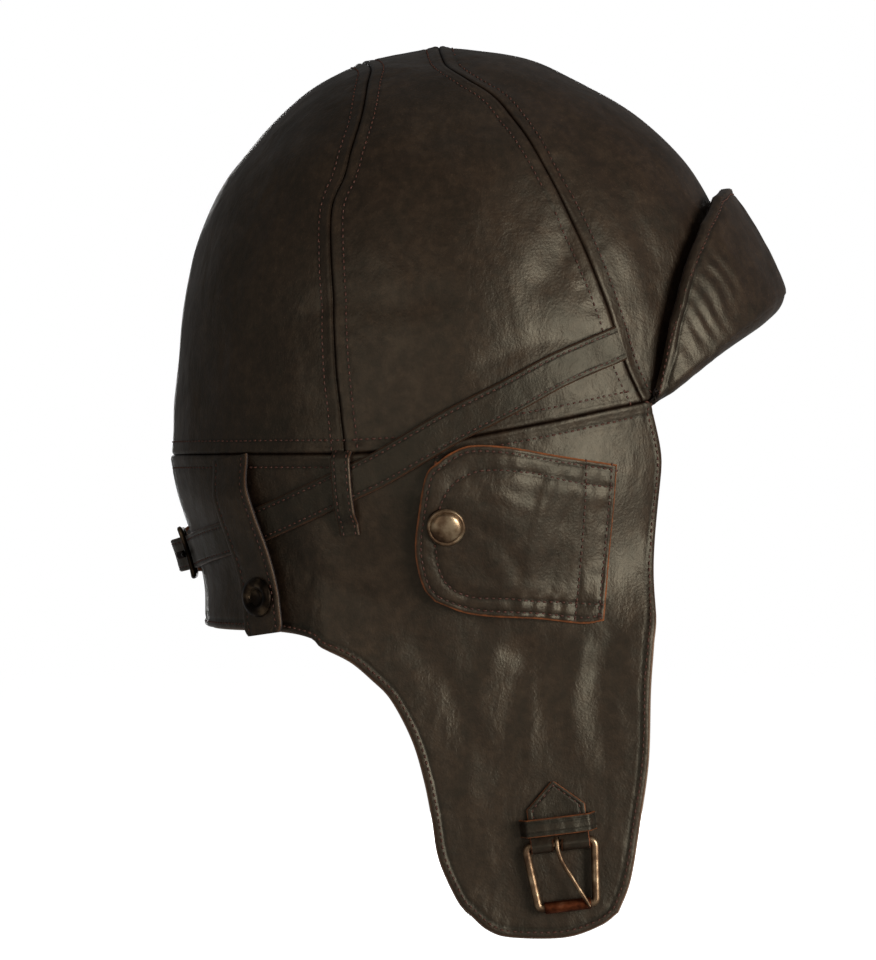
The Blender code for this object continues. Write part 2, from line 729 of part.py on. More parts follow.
# Brow flap
def brow_free_level(angle):
    places, rises = zip(*BROW_FREE_SHARES)
    rise = np.interp(min(1.0, abs(angle) / TEMPLE_ANGLE), places, rises)
    return TEMPLE_LEVEL + (BROW_FREE_LEVEL - TEMPLE_LEVEL) * float(rise)


def brow_section(angle):
    """Middle of the turned-up leather at one angle: height over the crown and level, fine steps."""
    temple = min(1.0, abs(angle) / TEMPLE_ANGLE)
    reach = BROW_REACH + (BROW_TEMPLE_REACH - BROW_REACH) * temple**2
    free_reach = BROW_FREE_REACH + (BROW_TEMPLE_REACH - BROW_FREE_REACH) * temple**2
    rim = rim_level(angle)
    free = brow_free_level(angle)
    fold = min(BROW_FOLD_HEIGHT * reach / BROW_REACH, free - rim - BROW_SHORTEST)
    top = rim + fold
    knots = [
        (reach * math.cos(turn), top - (fold + BROW_ROOT_DROP) * math.sin(turn))
        for turn in np.linspace(BROW_ROOT_TUCK, 0.0, 8)
    ]
    for share in (0.5, 1.0):
        knots.append((reach + (free_reach - reach) * share, top + (free - top) * share))
    return drawn_curve(knots, 120)


def brow_point(angle, lift, level):
    """Over the crown at one angle: the lift is taken from the crown's surface at that level."""
    base = head_point(angle, max(level, 0.0))
    out = np.array((base[0] / CROWN_HALF_LENGTH**2, base[1] / CROWN_HALF_WIDTH**2, 0.0))
    return base + lift * out / np.linalg.norm(out)


def brow_grid(angles, low, high, rows, shift):
    """Rows between two levels of the turned-up leather, moved out by a shift across its thickness."""
    points = np.zeros((rows, len(angles), 3))
    for i, angle in enumerate(angles):
        section = brow_section(angle)
        start = 0 if low is None else int(np.argmax(section[:, 1] >= low))
        lowest = int(np.argmin(section[:, 1]))
        past = np.nonzero(section[lowest:, 1] >= high)[0]
        end = len(section) if not len(past) else lowest + past[0] + 1
        run = evenly(section[start:end], rows)
        if low is not None:
            run[:, 1] += (low - run[0, 1]) * np.linspace(1.0, 0.0, rows)
        for j, (lift, level) in enumerate(run):
            points[j, i] = brow_point(angle, lift, level)
    out = np.cross(np.gradient(points, axis=1), np.gradient(points, axis=0))
    return points + shift * out / np.linalg.norm(out, axis=2, keepdims=True)


def brow_fold(slot):
    """The sewn root and fold of the brow flap, from temple to temple."""
    angles = np.linspace(-1.0, 1.0, 21) * TEMPLE_ANGLE * BROW_END_SHARE
    points = brow_grid(angles, None, BROW_HINGE_LEVEL - RUNNING_GAP, 10, 0.0)
    outward = np.array((1.0, 0.0, 0.0))
    mesh = grid_mesh("brow_fold", points)
    turned_out(mesh, points[-1, len(angles) // 2], outward)
    return middle_wall("brow_fold", mesh, 2.0 * BROW_LAYER + RUNNING_GAP, slot)


def brow_hinge_angle():
    """Angle at which the flap's free edge comes down to the fold line."""
    angles = np.linspace(0.0, TEMPLE_ANGLE, 400)
    heights = np.array([brow_free_level(angle) for angle in angles])
    return float(angles[np.argmax(heights < BROW_HINGE_LEVEL + BROW_SHORTEST)])


def brow_layer(name, shift, slot):
    reach = brow_hinge_angle()
    angles = np.linspace(-reach, reach, 17)
    points = brow_grid(angles, BROW_HINGE_LEVEL + RUNNING_GAP, CROWN_HEIGHT, 6, shift)
    obj = solid_sheet(name, points, np.array((1.0, 0.0, 0.0)), BROW_LAYER, slot, offset=0.0)
    return obj


# Ear covers
def cover_place(along, down):
    return (COVER_FRONT_X - along * COVER_LENGTH, COVER_TOP_LEVEL - down * COVER_HEIGHT)


def cover_curve(shares):
    return drawn_curve([cover_place(*share) for share in shares], 120)


def cover_edges():
    """Top and bottom edges, each split at the sewn strip."""
    top = cover_curve(COVER_TOP_SHARES)
    bottom = cover_curve(COVER_BOTTOM_SHARES)
    split = COVER_SEWN_SHARE * COVER_LENGTH
    top_cut = int(np.argmax(top[:, 0] < top[0, 0] - split))
    bottom_cut = int(np.argmax(bottom[:, 0] < bottom[0, 0] - split))
    return top, top_cut, bottom, bottom_cut


def ear_cover(name, side, slot):
    top, top_cut, bottom, bottom_cut = cover_edges()
    rear = evenly(cover_curve(COVER_REAR_SHARES)[::-1], 10)
    upper, lower = evenly(top[top_cut:], 10), evenly(bottom[bottom_cut:], 10)
    hinge = evenly(np.array([lower[0], upper[0]]), 10)
    grid = patch(lower, upper, hinge, rear)
    lifts = np.zeros(grid.shape[:2])
    for j, i in np.ndindex(lifts.shape):
        behind = (COVER_FRONT_X - grid[j, i, 0]) / COVER_LENGTH
        lifts[j, i] = LAY_GAP + COVER_STAND * smooth_share(behind, COVER_SEWN_SHARE, 0.6)
    obj = laid_sheet(name, on_side(side), grid, lifts, LEATHER, slot, SEAM_GAP)
    return obj


def cover_hinge_ends(side):
    """Lower and upper ends of the straight line where the cover bends, just off its outer face."""
    top, top_cut, bottom, bottom_cut = cover_edges()
    place = on_side(side)
    lift = LAY_GAP + LEATHER + COVER_HINGE_LIFT
    return place(*bottom[bottom_cut], lift), place(*top[top_cut], lift)


def cover_sewn_edge(name, side, slot):
    top, top_cut, bottom, bottom_cut = cover_edges()
    front = evenly(cover_curve(COVER_FRONT_SHARES)[::-1], 9)
    upper, lower = evenly(top[: top_cut + 1][::-1], 3), evenly(bottom[: bottom_cut + 1][::-1], 3)
    hinge = evenly(np.array([lower[0], upper[0]]), 9)
    grid = patch(lower, upper, hinge, front)
    return laid_sheet(name, on_side(side), grid, LAY_GAP, LEATHER, slot, SEAM_GAP)


# Snap fasteners
def seat_frame(angle, level, lift):
    """Point over the leather and the direction out of it there."""
    seat = on_band(angle, level, lift)
    outward = on_band(angle, level, CROWN_HEIGHT) - on_band(angle, level, 0.0)
    return seat, outward / np.linalg.norm(outward)


def domed_cap(name, slot, seat, axis):
    """Pressed cap: a bright rolled rim round a shallow dome."""
    profile = [(SNAP_RADIUS, 0.0), (SNAP_RADIUS, SNAP_RIM)]
    profile.append((SNAP_RADIUS - SNAP_RIM, SNAP_RIM * 1.5))
    for share in (0.85, 0.6, 0.3):
        radius = (SNAP_RADIUS - 2.0 * SNAP_RIM) * share
        profile.append((radius, SNAP_RIM + (SNAP_CAP_HEIGHT - SNAP_RIM) * math.sqrt(1.0 - share**2)))
    profile = [(0.0, SNAP_CAP_HEIGHT), *profile[::-1], (0.0, 0.0)]
    return turned(name, profile, slot, seat, axis)


def ring_cap(name, slot, seat, axis):
    """Ring snap: a rounded ring with a hollow centre that has a floor."""
    crest = (RING_SNAP_RADIUS + RING_SNAP_BORE) / 2
    profile = [
        (0.0, RING_SNAP_HEIGHT * 0.4),
        (RING_SNAP_BORE, RING_SNAP_HEIGHT * 0.4),
        (RING_SNAP_BORE, RING_SNAP_HEIGHT * 0.8),
        (crest, RING_SNAP_HEIGHT),
        (RING_SNAP_RADIUS, RING_SNAP_HEIGHT * 0.6),
        (RING_SNAP_RADIUS, 0.0),
        (0.0, 0.0),
    ]
    return turned(name, profile, slot, seat, axis)


def socket(name, slot, seat, axis):
    """Ring under the cap that grips the stud."""
    bore = SNAP_STUD_RADIUS + SNAP_PLAY
    profile = [
        (bore, SNAP_SOCKET_HEIGHT),
        (SNAP_SOCKET_RADIUS, SNAP_SOCKET_HEIGHT),
        (SNAP_SOCKET_RADIUS, 0.0),
        (bore, 0.0),
    ]
    return turned(name, profile, slot, seat, axis)


def stud(name, slot, seat, axis):
    """Flange on the leather with the post that the socket snaps over."""
    neck = SNAP_STUD_RADIUS * 0.8
    profile = [
        (0.0, SNAP_STUD_HEIGHT),
        (SNAP_STUD_RADIUS * 0.75, SNAP_STUD_HEIGHT),
        (SNAP_STUD_RADIUS, SNAP_STUD_HEIGHT * 0.8),
        (neck, SNAP_STUD_HEIGHT * 0.5),
        (neck, SNAP_FLANGE_WALL),
        (SNAP_STUD_FLANGE, SNAP_FLANGE_WALL),
        (SNAP_STUD_FLANGE, 0.0),
        (0.0, 0.0),
    ]
    return turned(name, profile, slot, seat, axis)


def snap_set(prefix, side_name, angle, level, inner_face, cap, slots):
    """Cap and socket in the upper leather, stud on the leather below."""
    brass, dark = slots
    seat, axis = seat_frame(angle, level, inner_face + LEATHER + RUNNING_GAP)
    cap(f"{prefix}_snap_cap_{side_name}", brass, seat, axis)
    under = inner_face - RUNNING_GAP - SNAP_SOCKET_HEIGHT
    socket(f"{prefix}_snap_socket_{side_name}", dark, seat_frame(angle, level, under)[0], axis)
    stud(f"{prefix}_snap_stud_{side_name}", dark, seat_frame(angle, level, RUNNING_GAP)[0], axis)


# Straps, loops and tabs
def strap_level(turn):
    """Level of the strap's middle at an angle round the head."""
    places, falls = zip(*STRAP_PATH_SHARES)
    return STRAP_TOP_LEVEL - STRAP_FALL * float(np.interp(turn / math.pi, places, falls))


def strap_path(side, count):
    knots = [
        (side * math.pi * turn, STRAP_TOP_LEVEL - STRAP_FALL * fall)
        for turn, fall in STRAP_PATH_SHARES
    ]
    return drawn_curve(knots, count)


def belt_loop(name, side, slot):
    shares = np.array([0.0, 0.025, 0.085, 0.15, 0.3, 0.45, 0.6, 0.74, 0.80, 0.86, 1.0])
    path = np.array([(side * LOOP_ANGLE, LOOP_TOP_LEVEL - share * LOOP_HEIGHT) for share in shares])
    lifts = rise_along(LOOP_RISE_SHARES, LAY_GAP, STRAP_WALL + LAY_GAP, shares)
    return ribbon(name, path, lifts, LOOP_WIDTH, LOOP_WALL, slot)


def tab_angle(level):
    """Angle round the head of the tab's middle line at a level."""
    return TAB_TOP_ANGLE + (TAB_BOTTOM_ANGLE - TAB_TOP_ANGLE) * (TAB_TOP_LEVEL - level) / TAB_LENGTH


def rear_tab(name, side, slot):
    count = 13
    shares = np.linspace(0.0, 1.0, count)
    levels = TAB_TOP_LEVEL - TAB_LENGTH * shares
    path = np.stack([side * tab_angle(levels), levels], axis=1)
    lifts = [LAY_GAP + TAB_STAND * smooth_share(share, 0.0, TAB_RISE_SHARE) for share in shares]
    taper = np.full(count, TAB_WIDTH)
    taper[-1] -= TAB_ROUNDING
    return ribbon(name, path, lifts, TAB_WIDTH, LEATHER, slot, columns=5, taper=taper)


def tab_hinge(side):
    """Point and direction of the line that the tab bends about."""
    seat, outward = seat_frame(side * TAB_TOP_ANGLE, TAB_TOP_LEVEL, LAY_GAP + LEATHER)
    across = np.cross(outward, (0.0, 0.0, 1.0))
    return seat, across / np.linalg.norm(across)


# Chin-strap buckle and its leather
def flap_point(x, lift, level, side):
    return np.array((x, side * (FLAP_HALF_SPACING + lift), level))


def bar_lift():
    return LAY_GAP + CHAPE_WALL + BAR_GAP + BUCKLE_WIRE


def buckle_point(across, lift, rise, side):
    """A place beside the middle of the buckle's bar: along the bar, over the flap and up, all tilted."""
    forward = across * math.cos(BUCKLE_TILT) - rise * math.sin(BUCKLE_TILT)
    up = across * math.sin(BUCKLE_TILT) + rise * math.cos(BUCKLE_TILT)
    return flap_point(BUCKLE_X + forward, lift, BUCKLE_LEVEL + up, side)


def rounded_frame(corners, radii, steps=4):
    """Path round a four-sided frame with rounded corners, in its own plane."""
    path = []
    corners = [np.array(c, float) for c in corners]
    for i, (here, corner) in enumerate(zip(corners, radii)):
        before, after = corners[i - 1], corners[(i + 1) % len(corners)]
        start = here + (before - here) * (corner / np.linalg.norm(before - here))
        end = here + (after - here) * (corner / np.linalg.norm(after - here))
        for t in np.linspace(0.0, 1.0, steps):
            path.append((1 - t) ** 2 * start + 2 * t * (1 - t) * here + t * t * end)
    return path


def buckle_frame(slot, side):
    half, foot = BUCKLE_WIDTH / 2, BUCKLE_FOOT_WIDTH / 2
    corners = ((-half, 0.0), (half, 0.0), (foot, -BUCKLE_HEIGHT), (-foot, -BUCKLE_HEIGHT))
    lift = bar_lift()
    radii = (BUCKLE_CORNER, BUCKLE_CORNER, BUCKLE_FOOT_CORNER, BUCKLE_FOOT_CORNER)
    path = [buckle_point(across, lift, rise, side) for across, rise in rounded_frame(corners, radii)]
    return wire("chin_buckle_frame", path, BUCKLE_WIRE, slot, closed=True)


def buckle_roller(slot, side):
    bore = BUCKLE_WIRE + RUNNING_GAP
    half = ROLLER_LENGTH / 2
    profile = [(bore, half), (ROLLER_RADIUS, half), (ROLLER_RADIUS, -half), (bore, -half)]
    seat = buckle_point(0.0, bar_lift(), -BUCKLE_HEIGHT, side)
    axis = (math.cos(BUCKLE_TILT), 0.0, math.sin(BUCKLE_TILT))
    return turned("chin_buckle_roller", profile, slot, seat, axis)


def buckle_prong(slot, side):
    """Wire prong: an eye round the bar and a kinked tongue that rests on the roller."""
    ring = BUCKLE_WIRE + RUNNING_GAP + PRONG_WIRE
    rest = ROLLER_RADIUS + RUNNING_GAP + PRONG_WIRE
    lift = bar_lift()
    path = []
    for turn in np.linspace(math.radians(250.0), 0.0, 10):
        path.append((PRONG_OFFSET, lift + ring * math.cos(turn), ring * math.sin(turn)))
    for sweep, down in PRONG_SHARES:
        over = ring + (rest - ring) * min(1.0, down)
        path.append((PRONG_OFFSET + sweep * PRONG_SWEEP, lift + over, -down * BUCKLE_HEIGHT))
    points = [buckle_point(*point, side) for point in path]
    return wire("chin_buckle_prong", points, PRONG_WIRE, slot, resolution=1)


def bar_wrap(bar, radius, start, end, steps):
    return [
        (bar[0] + radius * math.cos(turn), bar[1] + radius * math.sin(turn))
        for turn in np.linspace(start, end, steps)
    ]


def chape(slot, side):
    """Pointed leather patch, wrapped once round the buckle's bar and sewn back on itself."""
    middle = LAY_GAP + CHAPE_WALL / 2
    radius = BUCKLE_WIRE + BAR_GAP + CHAPE_WALL / 2
    bar = (bar_lift(), 0.0)
    above = middle + CHAPE_WALL + RUNNING_GAP
    rows = [(middle, rise) for rise in np.linspace(CHAPE_LENGTH, CHAPE_LENGTH - CHAPE_POINT, 4)]
    rows.append((middle, radius))
    rows += bar_wrap(bar, radius, math.pi, 2.0 * math.pi, 9)
    rows.append((above + radius / 2, 0.45 * CHAPE_RETURN))
    rows.append((above, 0.70 * CHAPE_RETURN))
    rows.append((above, CHAPE_RETURN))
    points = np.zeros((len(rows), 5, 3))
    for j, (lift, rise) in enumerate(rows):
        point_share = min(1.0, (CHAPE_LENGTH - rise) / CHAPE_POINT) if j < 4 else 1.0
        half = CHAPE_WIDTH / 2 * max(point_share, STRAP_TIP_SHARE)
        for i, share in enumerate(np.linspace(-1.0, 1.0, 5)):
            points[j, i] = buckle_point(share * half, lift, rise, side)
    obj = middle_wall("chin_chape", grid_mesh("chin_chape", points), CHAPE_WALL, slot)
    outer = radius + CHAPE_WALL + CUT_OVERRUN
    centre = buckle_point(PRONG_OFFSET, bar_lift(), 0.0, side)
    cut_slot(obj, centre, (0.0, side, 0.0), (2 * outer, CHAPE_SLOT, 2 * outer))
    return obj


def chin_keeper(slot, side):
    shares = np.array([0.0, 0.035, 0.10, 0.3, 0.5, 0.7, 0.90, 0.965, 1.0])
    count = len(shares)
    across = (shares - 0.5) * KEEPER_WIDTH
    lifts = rise_along(KEEPER_RISE_SHARES, LAY_GAP + CHAPE_WALL / 2, KEEPER_RISE, shares)
    points = np.zeros((2, count, 3))
    for j, rise in enumerate((KEEPER_PLACE - KEEPER_HEIGHT, KEEPER_PLACE)):
        for i in range(count):
            points[j, i] = buckle_point(across[i], lifts[i], rise, side)
    outward = np.array((0.0, side, 0.0))
    return solid_sheet("chin_keeper", points, outward, CHAPE_WALL, slot, offset=0.0)


# Chin strap
def chin_inner_lift():
    """Height of the turned-up strap's middle, inside the flap's lining."""
    return -LEATHER - LINING_GAP - LINING - LAY_GAP - CHIN_STRAP_WALL / 2


def chin_patch(slot, side):
    """The strap's sewn end: pointed at its top, down the flap and round under its lower edge."""
    outer = LAY_GAP + CHIN_STRAP_WALL / 2
    radius = (outer - chin_inner_lift()) / 2
    shoulder = CHIN_PATCH_TOP_LEVEL - CHIN_STRAP_POINT
    rows = [(outer, CHIN_PATCH_TOP_LEVEL - CHIN_STRAP_POINT * share) for share in (0.0, 0.5, 1.0)]
    rows += [(outer, level) for level in np.linspace(shoulder, CHIN_BEND_LEVEL, 4)[1:-1]]
    rows += bar_wrap((outer - radius, CHIN_BEND_LEVEL), radius, 0.0, -math.pi, 7)
    points = strap_rows(rows, CHIN_PATCH_TOP_LEVEL, side)
    outward = np.array((0.0, side, 0.0))
    mesh = grid_mesh("chin_strap_patch", points)
    turned_out(mesh, points[2, 1], outward)
    return middle_wall("chin_strap_patch", mesh, CHIN_STRAP_WALL, slot)


def strap_rows(rows, tip, side):
    """Cross rows of the chin strap, drawn in to a point at the tip."""
    points = np.zeros((len(rows), 3, 3))
    for j, (lift, level) in enumerate(rows):
        half = CHIN_STRAP_WIDTH / 2 * max(STRAP_TIP_SHARE, min(1.0, abs(tip - level) / CHIN_STRAP_POINT))
        for i, share in enumerate((-1.0, 0.0, 1.0)):
            points[j, i] = flap_point(CHIN_X + share * half, lift, level, side)
    return points


def chin_strap_end(slot, side):
    """The free part, up along the lining, with a pointed tip."""
    low, top = CHIN_BEND_LEVEL + RUNNING_GAP, CHIN_BEND_LEVEL + CHIN_STRAP_FREE
    inner = chin_inner_lift()
    levels = list(np.linspace(low, top - CHIN_STRAP_POINT, 5))
    levels += [top - CHIN_STRAP_POINT * share for share in (0.5, 0.0)]
    points = strap_rows([(inner, level) for level in levels], top, side)
    mesh = grid_mesh("chin_strap", points)
    turned_out(mesh, points[2, 1], np.array((0.0, side, 0.0)))
    return middle_wall("chin_strap", mesh, CHIN_STRAP_WALL, slot)


def chin_hinge(side):
    """The strap bends about the outside of its fold, under the flap's edge."""
    return flap_point(0.0, chin_inner_lift() - CHIN_STRAP_WALL / 2, CHIN_BEND_LEVEL, side)


# Nape buckle and the ends of the side straps
def nape_turn(distance):
    """Angle round the head of a place beside the middle of the nape, positive to the left."""
    return math.pi - distance / half_width(NAPE_BUCKLE_LEVEL)


def nape_bar_lift():
    return LAY_GAP + STRAP_WALL + BAR_GAP + NAPE_BUCKLE_WIRE


def right_strap(slot):
    """From the front seam to the nape, under the buckle's far bar, over its near bar to the tip."""
    bar, half = nape_bar_lift(), NAPE_BUCKLE_SPAN / 2
    over = bar + NAPE_BUCKLE_WIRE + BAR_GAP + STRAP_WALL + LAY_GAP
    main = strap_path(-1, 36)
    main = main[main[:, 0] > nape_turn(-1.5 * half) - 2.0 * math.pi]
    stacked = LAY_GAP + STRAP_WALL + RUNNING_GAP
    places = [-1.2 * half, -0.8 * half, -0.4 * half, 0.0, 0.4 * half, 0.75 * half, half, 1.45 * half]
    lifts = [LAY_GAP, LAY_GAP, 0.26 * over, 0.52 * over, 0.80 * over, 0.97 * over, over, over]
    places += [half + 1.1 * NAPE_RETURN, half + 1.65 * NAPE_RETURN, NAPE_TONGUE_LENGTH]
    lifts += [stacked + STRAP_WALL + LAY_GAP, stacked, stacked]
    places = np.concatenate([places[:-1], np.linspace(places[-2], places[-1], 4)[1:]])
    lifts = np.concatenate([lifts[:-1], [stacked] * 3])
    turns = [nape_turn(place) for place in places]
    tail = np.array([(turn - 2.0 * math.pi, strap_level(min(turn, math.pi))) for turn in turns])
    path = np.vstack([main, tail])
    heights = np.concatenate([np.full(len(main), LAY_GAP), lifts])
    taper = np.full(len(path), STRAP_WIDTH)
    taper[-1] *= 0.25
    taper[-2] *= 0.8
    obj = ribbon("side_strap_right", path, heights, STRAP_WIDTH, STRAP_WALL, slot, taper=taper)
    centre, outward = seat_frame(math.pi, NAPE_BUCKLE_LEVEL, over / 2)
    depth = 2 * over
    cut_slot(obj, centre, outward, (depth, NAPE_SLOT_SHARE * half, NAPE_SLOT))
    return obj


def left_strap(slot):
    """From the front seam to the nape, wrapped round the buckle's bar and sewn back on itself."""
    half = NAPE_BUCKLE_SPAN / 2
    bar = nape_bar_lift()
    radius = NAPE_BUCKLE_WIRE + BAR_GAP + STRAP_WALL / 2
    main = strap_path(1, 36)
    main = main[main[:, 0] < nape_turn(half + 1.2 * NAPE_RETURN)]
    points = ribbon_grid(main, np.full(len(main), LAY_GAP - STRAP_WALL / 2), STRAP_WIDTH, 3, STRAP_WALL)
    middle = LAY_GAP + STRAP_WALL / 2
    rows = [(middle, half + NAPE_RETURN * 0.8), (middle, half + NAPE_RETURN * 0.3)]
    for turn in np.linspace(0.0, math.pi, 9):
        rows.append((bar - radius * math.cos(turn), half - radius * math.sin(turn)))
    above = middle + STRAP_WALL + RUNNING_GAP
    rows.append((above + radius / 3, half + 0.55 * NAPE_RETURN))
    rows.append((above, half + NAPE_RETURN))
    wrap = np.zeros((len(rows), 3, 3))
    for j, (lift, place) in enumerate(rows):
        for i, share in enumerate((-1.0, 0.0, 1.0)):
            level = strap_level(nape_turn(place)) - share * STRAP_WIDTH / 2
            wrap[j, i] = on_band(nape_turn(place), level, lift)
    if np.linalg.norm(points[-1, 0] - wrap[0, 0]) > np.linalg.norm(points[-1, 0] - wrap[0, -1]):
        wrap = wrap[:, ::-1]
    points = np.vstack([points, wrap])
    obj = middle_wall("side_strap_left", grid_mesh("side_strap_left", points), STRAP_WALL, slot)
    centre, outward = seat_frame(nape_turn(half), NAPE_BUCKLE_LEVEL, bar + 2 * NAPE_BUCKLE_WIRE)
    depth = 2 * (bar + 2 * NAPE_BUCKLE_WIRE)
    cut_slot(obj, centre, outward, (depth, 2 * radius + NAPE_RETURN, NAPE_SLOT))
    return obj


def nape_frame_point(across, up, lift):
    return on_band(nape_turn(across), NAPE_BUCKLE_LEVEL + up, lift)


def nape_buckle(slot):
    half, tall = NAPE_BUCKLE_SPAN / 2, NAPE_BUCKLE_HEIGHT / 2
    corners = ((-half, -tall), (half, -tall), (half, tall), (-half, tall))
    path = [
        nape_frame_point(across, up, nape_bar_lift())
        for across, up in rounded_frame(corners, 4 * (NAPE_BUCKLE_CORNER,))
    ]
    wire("nape_buckle_frame", path, NAPE_BUCKLE_WIRE, slot, closed=True)


def nape_prong(slot):
    half = NAPE_BUCKLE_SPAN / 2
    ring = NAPE_BUCKLE_WIRE + RUNNING_GAP + NAPE_PRONG_WIRE
    bar = nape_bar_lift()
    path = []
    for turn in np.linspace(math.radians(250.0), 0.0, 9):
        path.append(nape_frame_point(half + ring * math.sin(turn), 0.0, bar + ring * math.cos(turn)))
    for share in (0.4, 1.0, 1.6, 2.2):
        path.append(nape_frame_point(half - share * half, 0.0, bar + ring))
    wire("nape_buckle_prong", path, NAPE_PRONG_WIRE, slot, resolution=1)


def nape_keeper(slot):
    """Keeper on the left strap that holds the tongue down."""
    shares = np.array([0.0, 0.02, 0.08, 0.3, 0.5, 0.7, 0.92, 0.98, 1.0])
    turn = nape_turn(NAPE_KEEPER_PLACE)
    middle = strap_level(turn)
    path = np.array([(turn, middle + (0.5 - share) * NAPE_KEEPER_HEIGHT) for share in shares])
    rise = 2 * STRAP_WALL + RUNNING_GAP + 2 * LAY_GAP
    lifts = rise_along(NAPE_KEEPER_RISE_SHARES, LAY_GAP, rise, shares)
    return ribbon("nape_keeper", path, lifts, NAPE_KEEPER_WIDTH, LOOP_WALL, slot)


def build():
    clear_scene()
    leather = material("brown_leather", (0.045, 0.030, 0.022), 0.45)
    strap_leather = material("strap_leather", (0.055, 0.036, 0.026), 0.42)
    lining = material("suede_lining", (0.26, 0.17, 0.10), 0.85)
    brass = material("antique_brass", (0.36, 0.28, 0.16), 0.35, 1.0)
    dark_brass = material("dark_brass", (0.12, 0.09, 0.06), 0.40, 1.0)
    copper = material("copper_roller", (0.16, 0.06, 0.03), 0.40, 1.0)

    crown_end_panel("crown_front", FRONT_SEAM_ANGLE, FRONT_SEAM_SHARES, 1, leather)
    crown_end_panel("crown_rear", REAR_SEAM_ANGLE, REAR_SEAM_SHARES, -1, leather)
    crown_lining(lining)
    brow_fold(leather)
    half_stack = (BROW_LAYER + RUNNING_GAP) / 2
    for name, shift in (("brow_flap", half_stack), ("brow_flap_facing", -half_stack)):
        flap = brow_layer(name, shift, leather)
        put_origin(flap, (BROW_HINGE_X, 0.0, BROW_HINGE_LEVEL))
    for side_name, side in SIDES.items():
        crown_side_panel(f"crown_{side_name}", side, leather)
        curtain_half(f"curtain_{side_name}", side, leather)
        curtain_lining(f"curtain_lining_{side_name}", side, lining)
        hinge = (0.0, side * FLAP_HALF_SPACING, FLAP_FOLD_LEVEL)
        flap = ear_flap_sheet(
            f"ear_flap_{side_name}", side, 0.0, -LEATHER, LEATHER, leather, 10, 13, SEAM_GAP
        )
        put_origin(flap, hinge)
        lift = -LEATHER - LINING_GAP - LINING
        name = f"ear_flap_lining_{side_name}"
        inner = ear_flap_sheet(
            name, side, FLAP_LINING_DROP, lift, LINING, lining, 8, 10, LINING_SETBACK
        )
        put_origin(inner, hinge)
        cover = ear_cover(f"ear_cover_{side_name}", side, leather)
        put_origin(cover, cover_hinge_ends(side)[0])
        cover_sewn_edge(f"ear_cover_edge_{side_name}", side, leather)
        place = (side * angle_at(EAR_SNAP_X, EAR_SNAP_LEVEL), EAR_SNAP_LEVEL)
        snap_set("ear", side_name, *place, LAY_GAP + COVER_STAND, domed_cap, (brass, dark_brass))
        belt_loop(f"belt_loop_{side_name}", side, strap_leather)
        tab = rear_tab(f"rear_tab_{side_name}", side, leather)
        put_origin(tab, tab_hinge(side)[0])
        place = (side * tab_angle(REAR_SNAP_LEVEL), REAR_SNAP_LEVEL)
        snap_set("rear", side_name, *place, LAY_GAP + TAB_STAND, ring_cap, (dark_brass, dark_brass))
    right_strap(strap_leather)
    left_strap(strap_leather)
    nape_buckle(brass)
    nape_prong(brass)
    nape_keeper(strap_leather)
    chape(strap_leather, SIDES["right"])
    chin_keeper(strap_leather, SIDES["right"])
    bar = buckle_point(0.0, bar_lift(), 0.0, SIDES["right"])
    put_origin(buckle_frame(brass, SIDES["right"]), bar)
    put_origin(buckle_prong(brass, SIDES["right"]), bar)
    buckle_roller(copper, SIDES["right"])
    chin_patch(strap_leather, SIDES["left"])
    strap = chin_strap_end(strap_leather, SIDES["left"])
    put_origin(strap, chin_hinge(SIDES["left"]))


build()
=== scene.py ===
# %% [markdown]
# # A leather flying helmet
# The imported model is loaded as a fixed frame, and each cell makes some of the visible pieces over it: sewn
# leather panels, linings, straps, metal fittings, and the thread that holds them together.

import itertools
import math

import bmesh
import bpy
import numpy as np
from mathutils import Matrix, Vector
from mathutils.bvhtree import BVHTree


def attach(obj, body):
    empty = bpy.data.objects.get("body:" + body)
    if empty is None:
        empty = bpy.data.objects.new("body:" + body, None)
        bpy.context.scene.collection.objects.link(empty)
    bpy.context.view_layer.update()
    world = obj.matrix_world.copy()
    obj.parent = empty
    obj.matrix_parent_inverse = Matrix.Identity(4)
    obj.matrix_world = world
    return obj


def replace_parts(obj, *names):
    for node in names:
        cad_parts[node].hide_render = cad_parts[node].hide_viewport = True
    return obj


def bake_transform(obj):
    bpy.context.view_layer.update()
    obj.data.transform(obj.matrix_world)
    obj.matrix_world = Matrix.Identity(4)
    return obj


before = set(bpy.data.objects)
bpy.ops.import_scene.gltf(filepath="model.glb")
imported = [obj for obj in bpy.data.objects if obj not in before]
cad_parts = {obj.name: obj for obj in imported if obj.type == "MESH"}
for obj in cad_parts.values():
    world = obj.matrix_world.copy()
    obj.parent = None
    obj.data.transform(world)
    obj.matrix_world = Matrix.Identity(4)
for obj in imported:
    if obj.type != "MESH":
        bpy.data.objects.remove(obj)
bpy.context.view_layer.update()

# %% [markdown]
# ## Camera
# The photograph looks straight at the wearer's right side from about 1.5 m, so what is nearer is drawn a
# little larger. A camera without perspective would lose that. This one stands at the same distance, and its
# lens is worked out so that one pixel is 0.365 mm at the helmet's middle plane.

# %% Camera
PIXEL = 0.000365
PHOTO_WIDTH, PHOTO_HEIGHT = 876, 960
CAMERA_DISTANCE = 1.5
CAMERA_X, CAMERA_Z = -0.0080, -0.0091
SENSOR_MM = 36.0


def new_object(name, data):
    """Puts a mesh, camera or lamp into the scene."""
    obj = bpy.data.objects.new(name, data)
    bpy.context.scene.collection.objects.link(obj)
    return obj


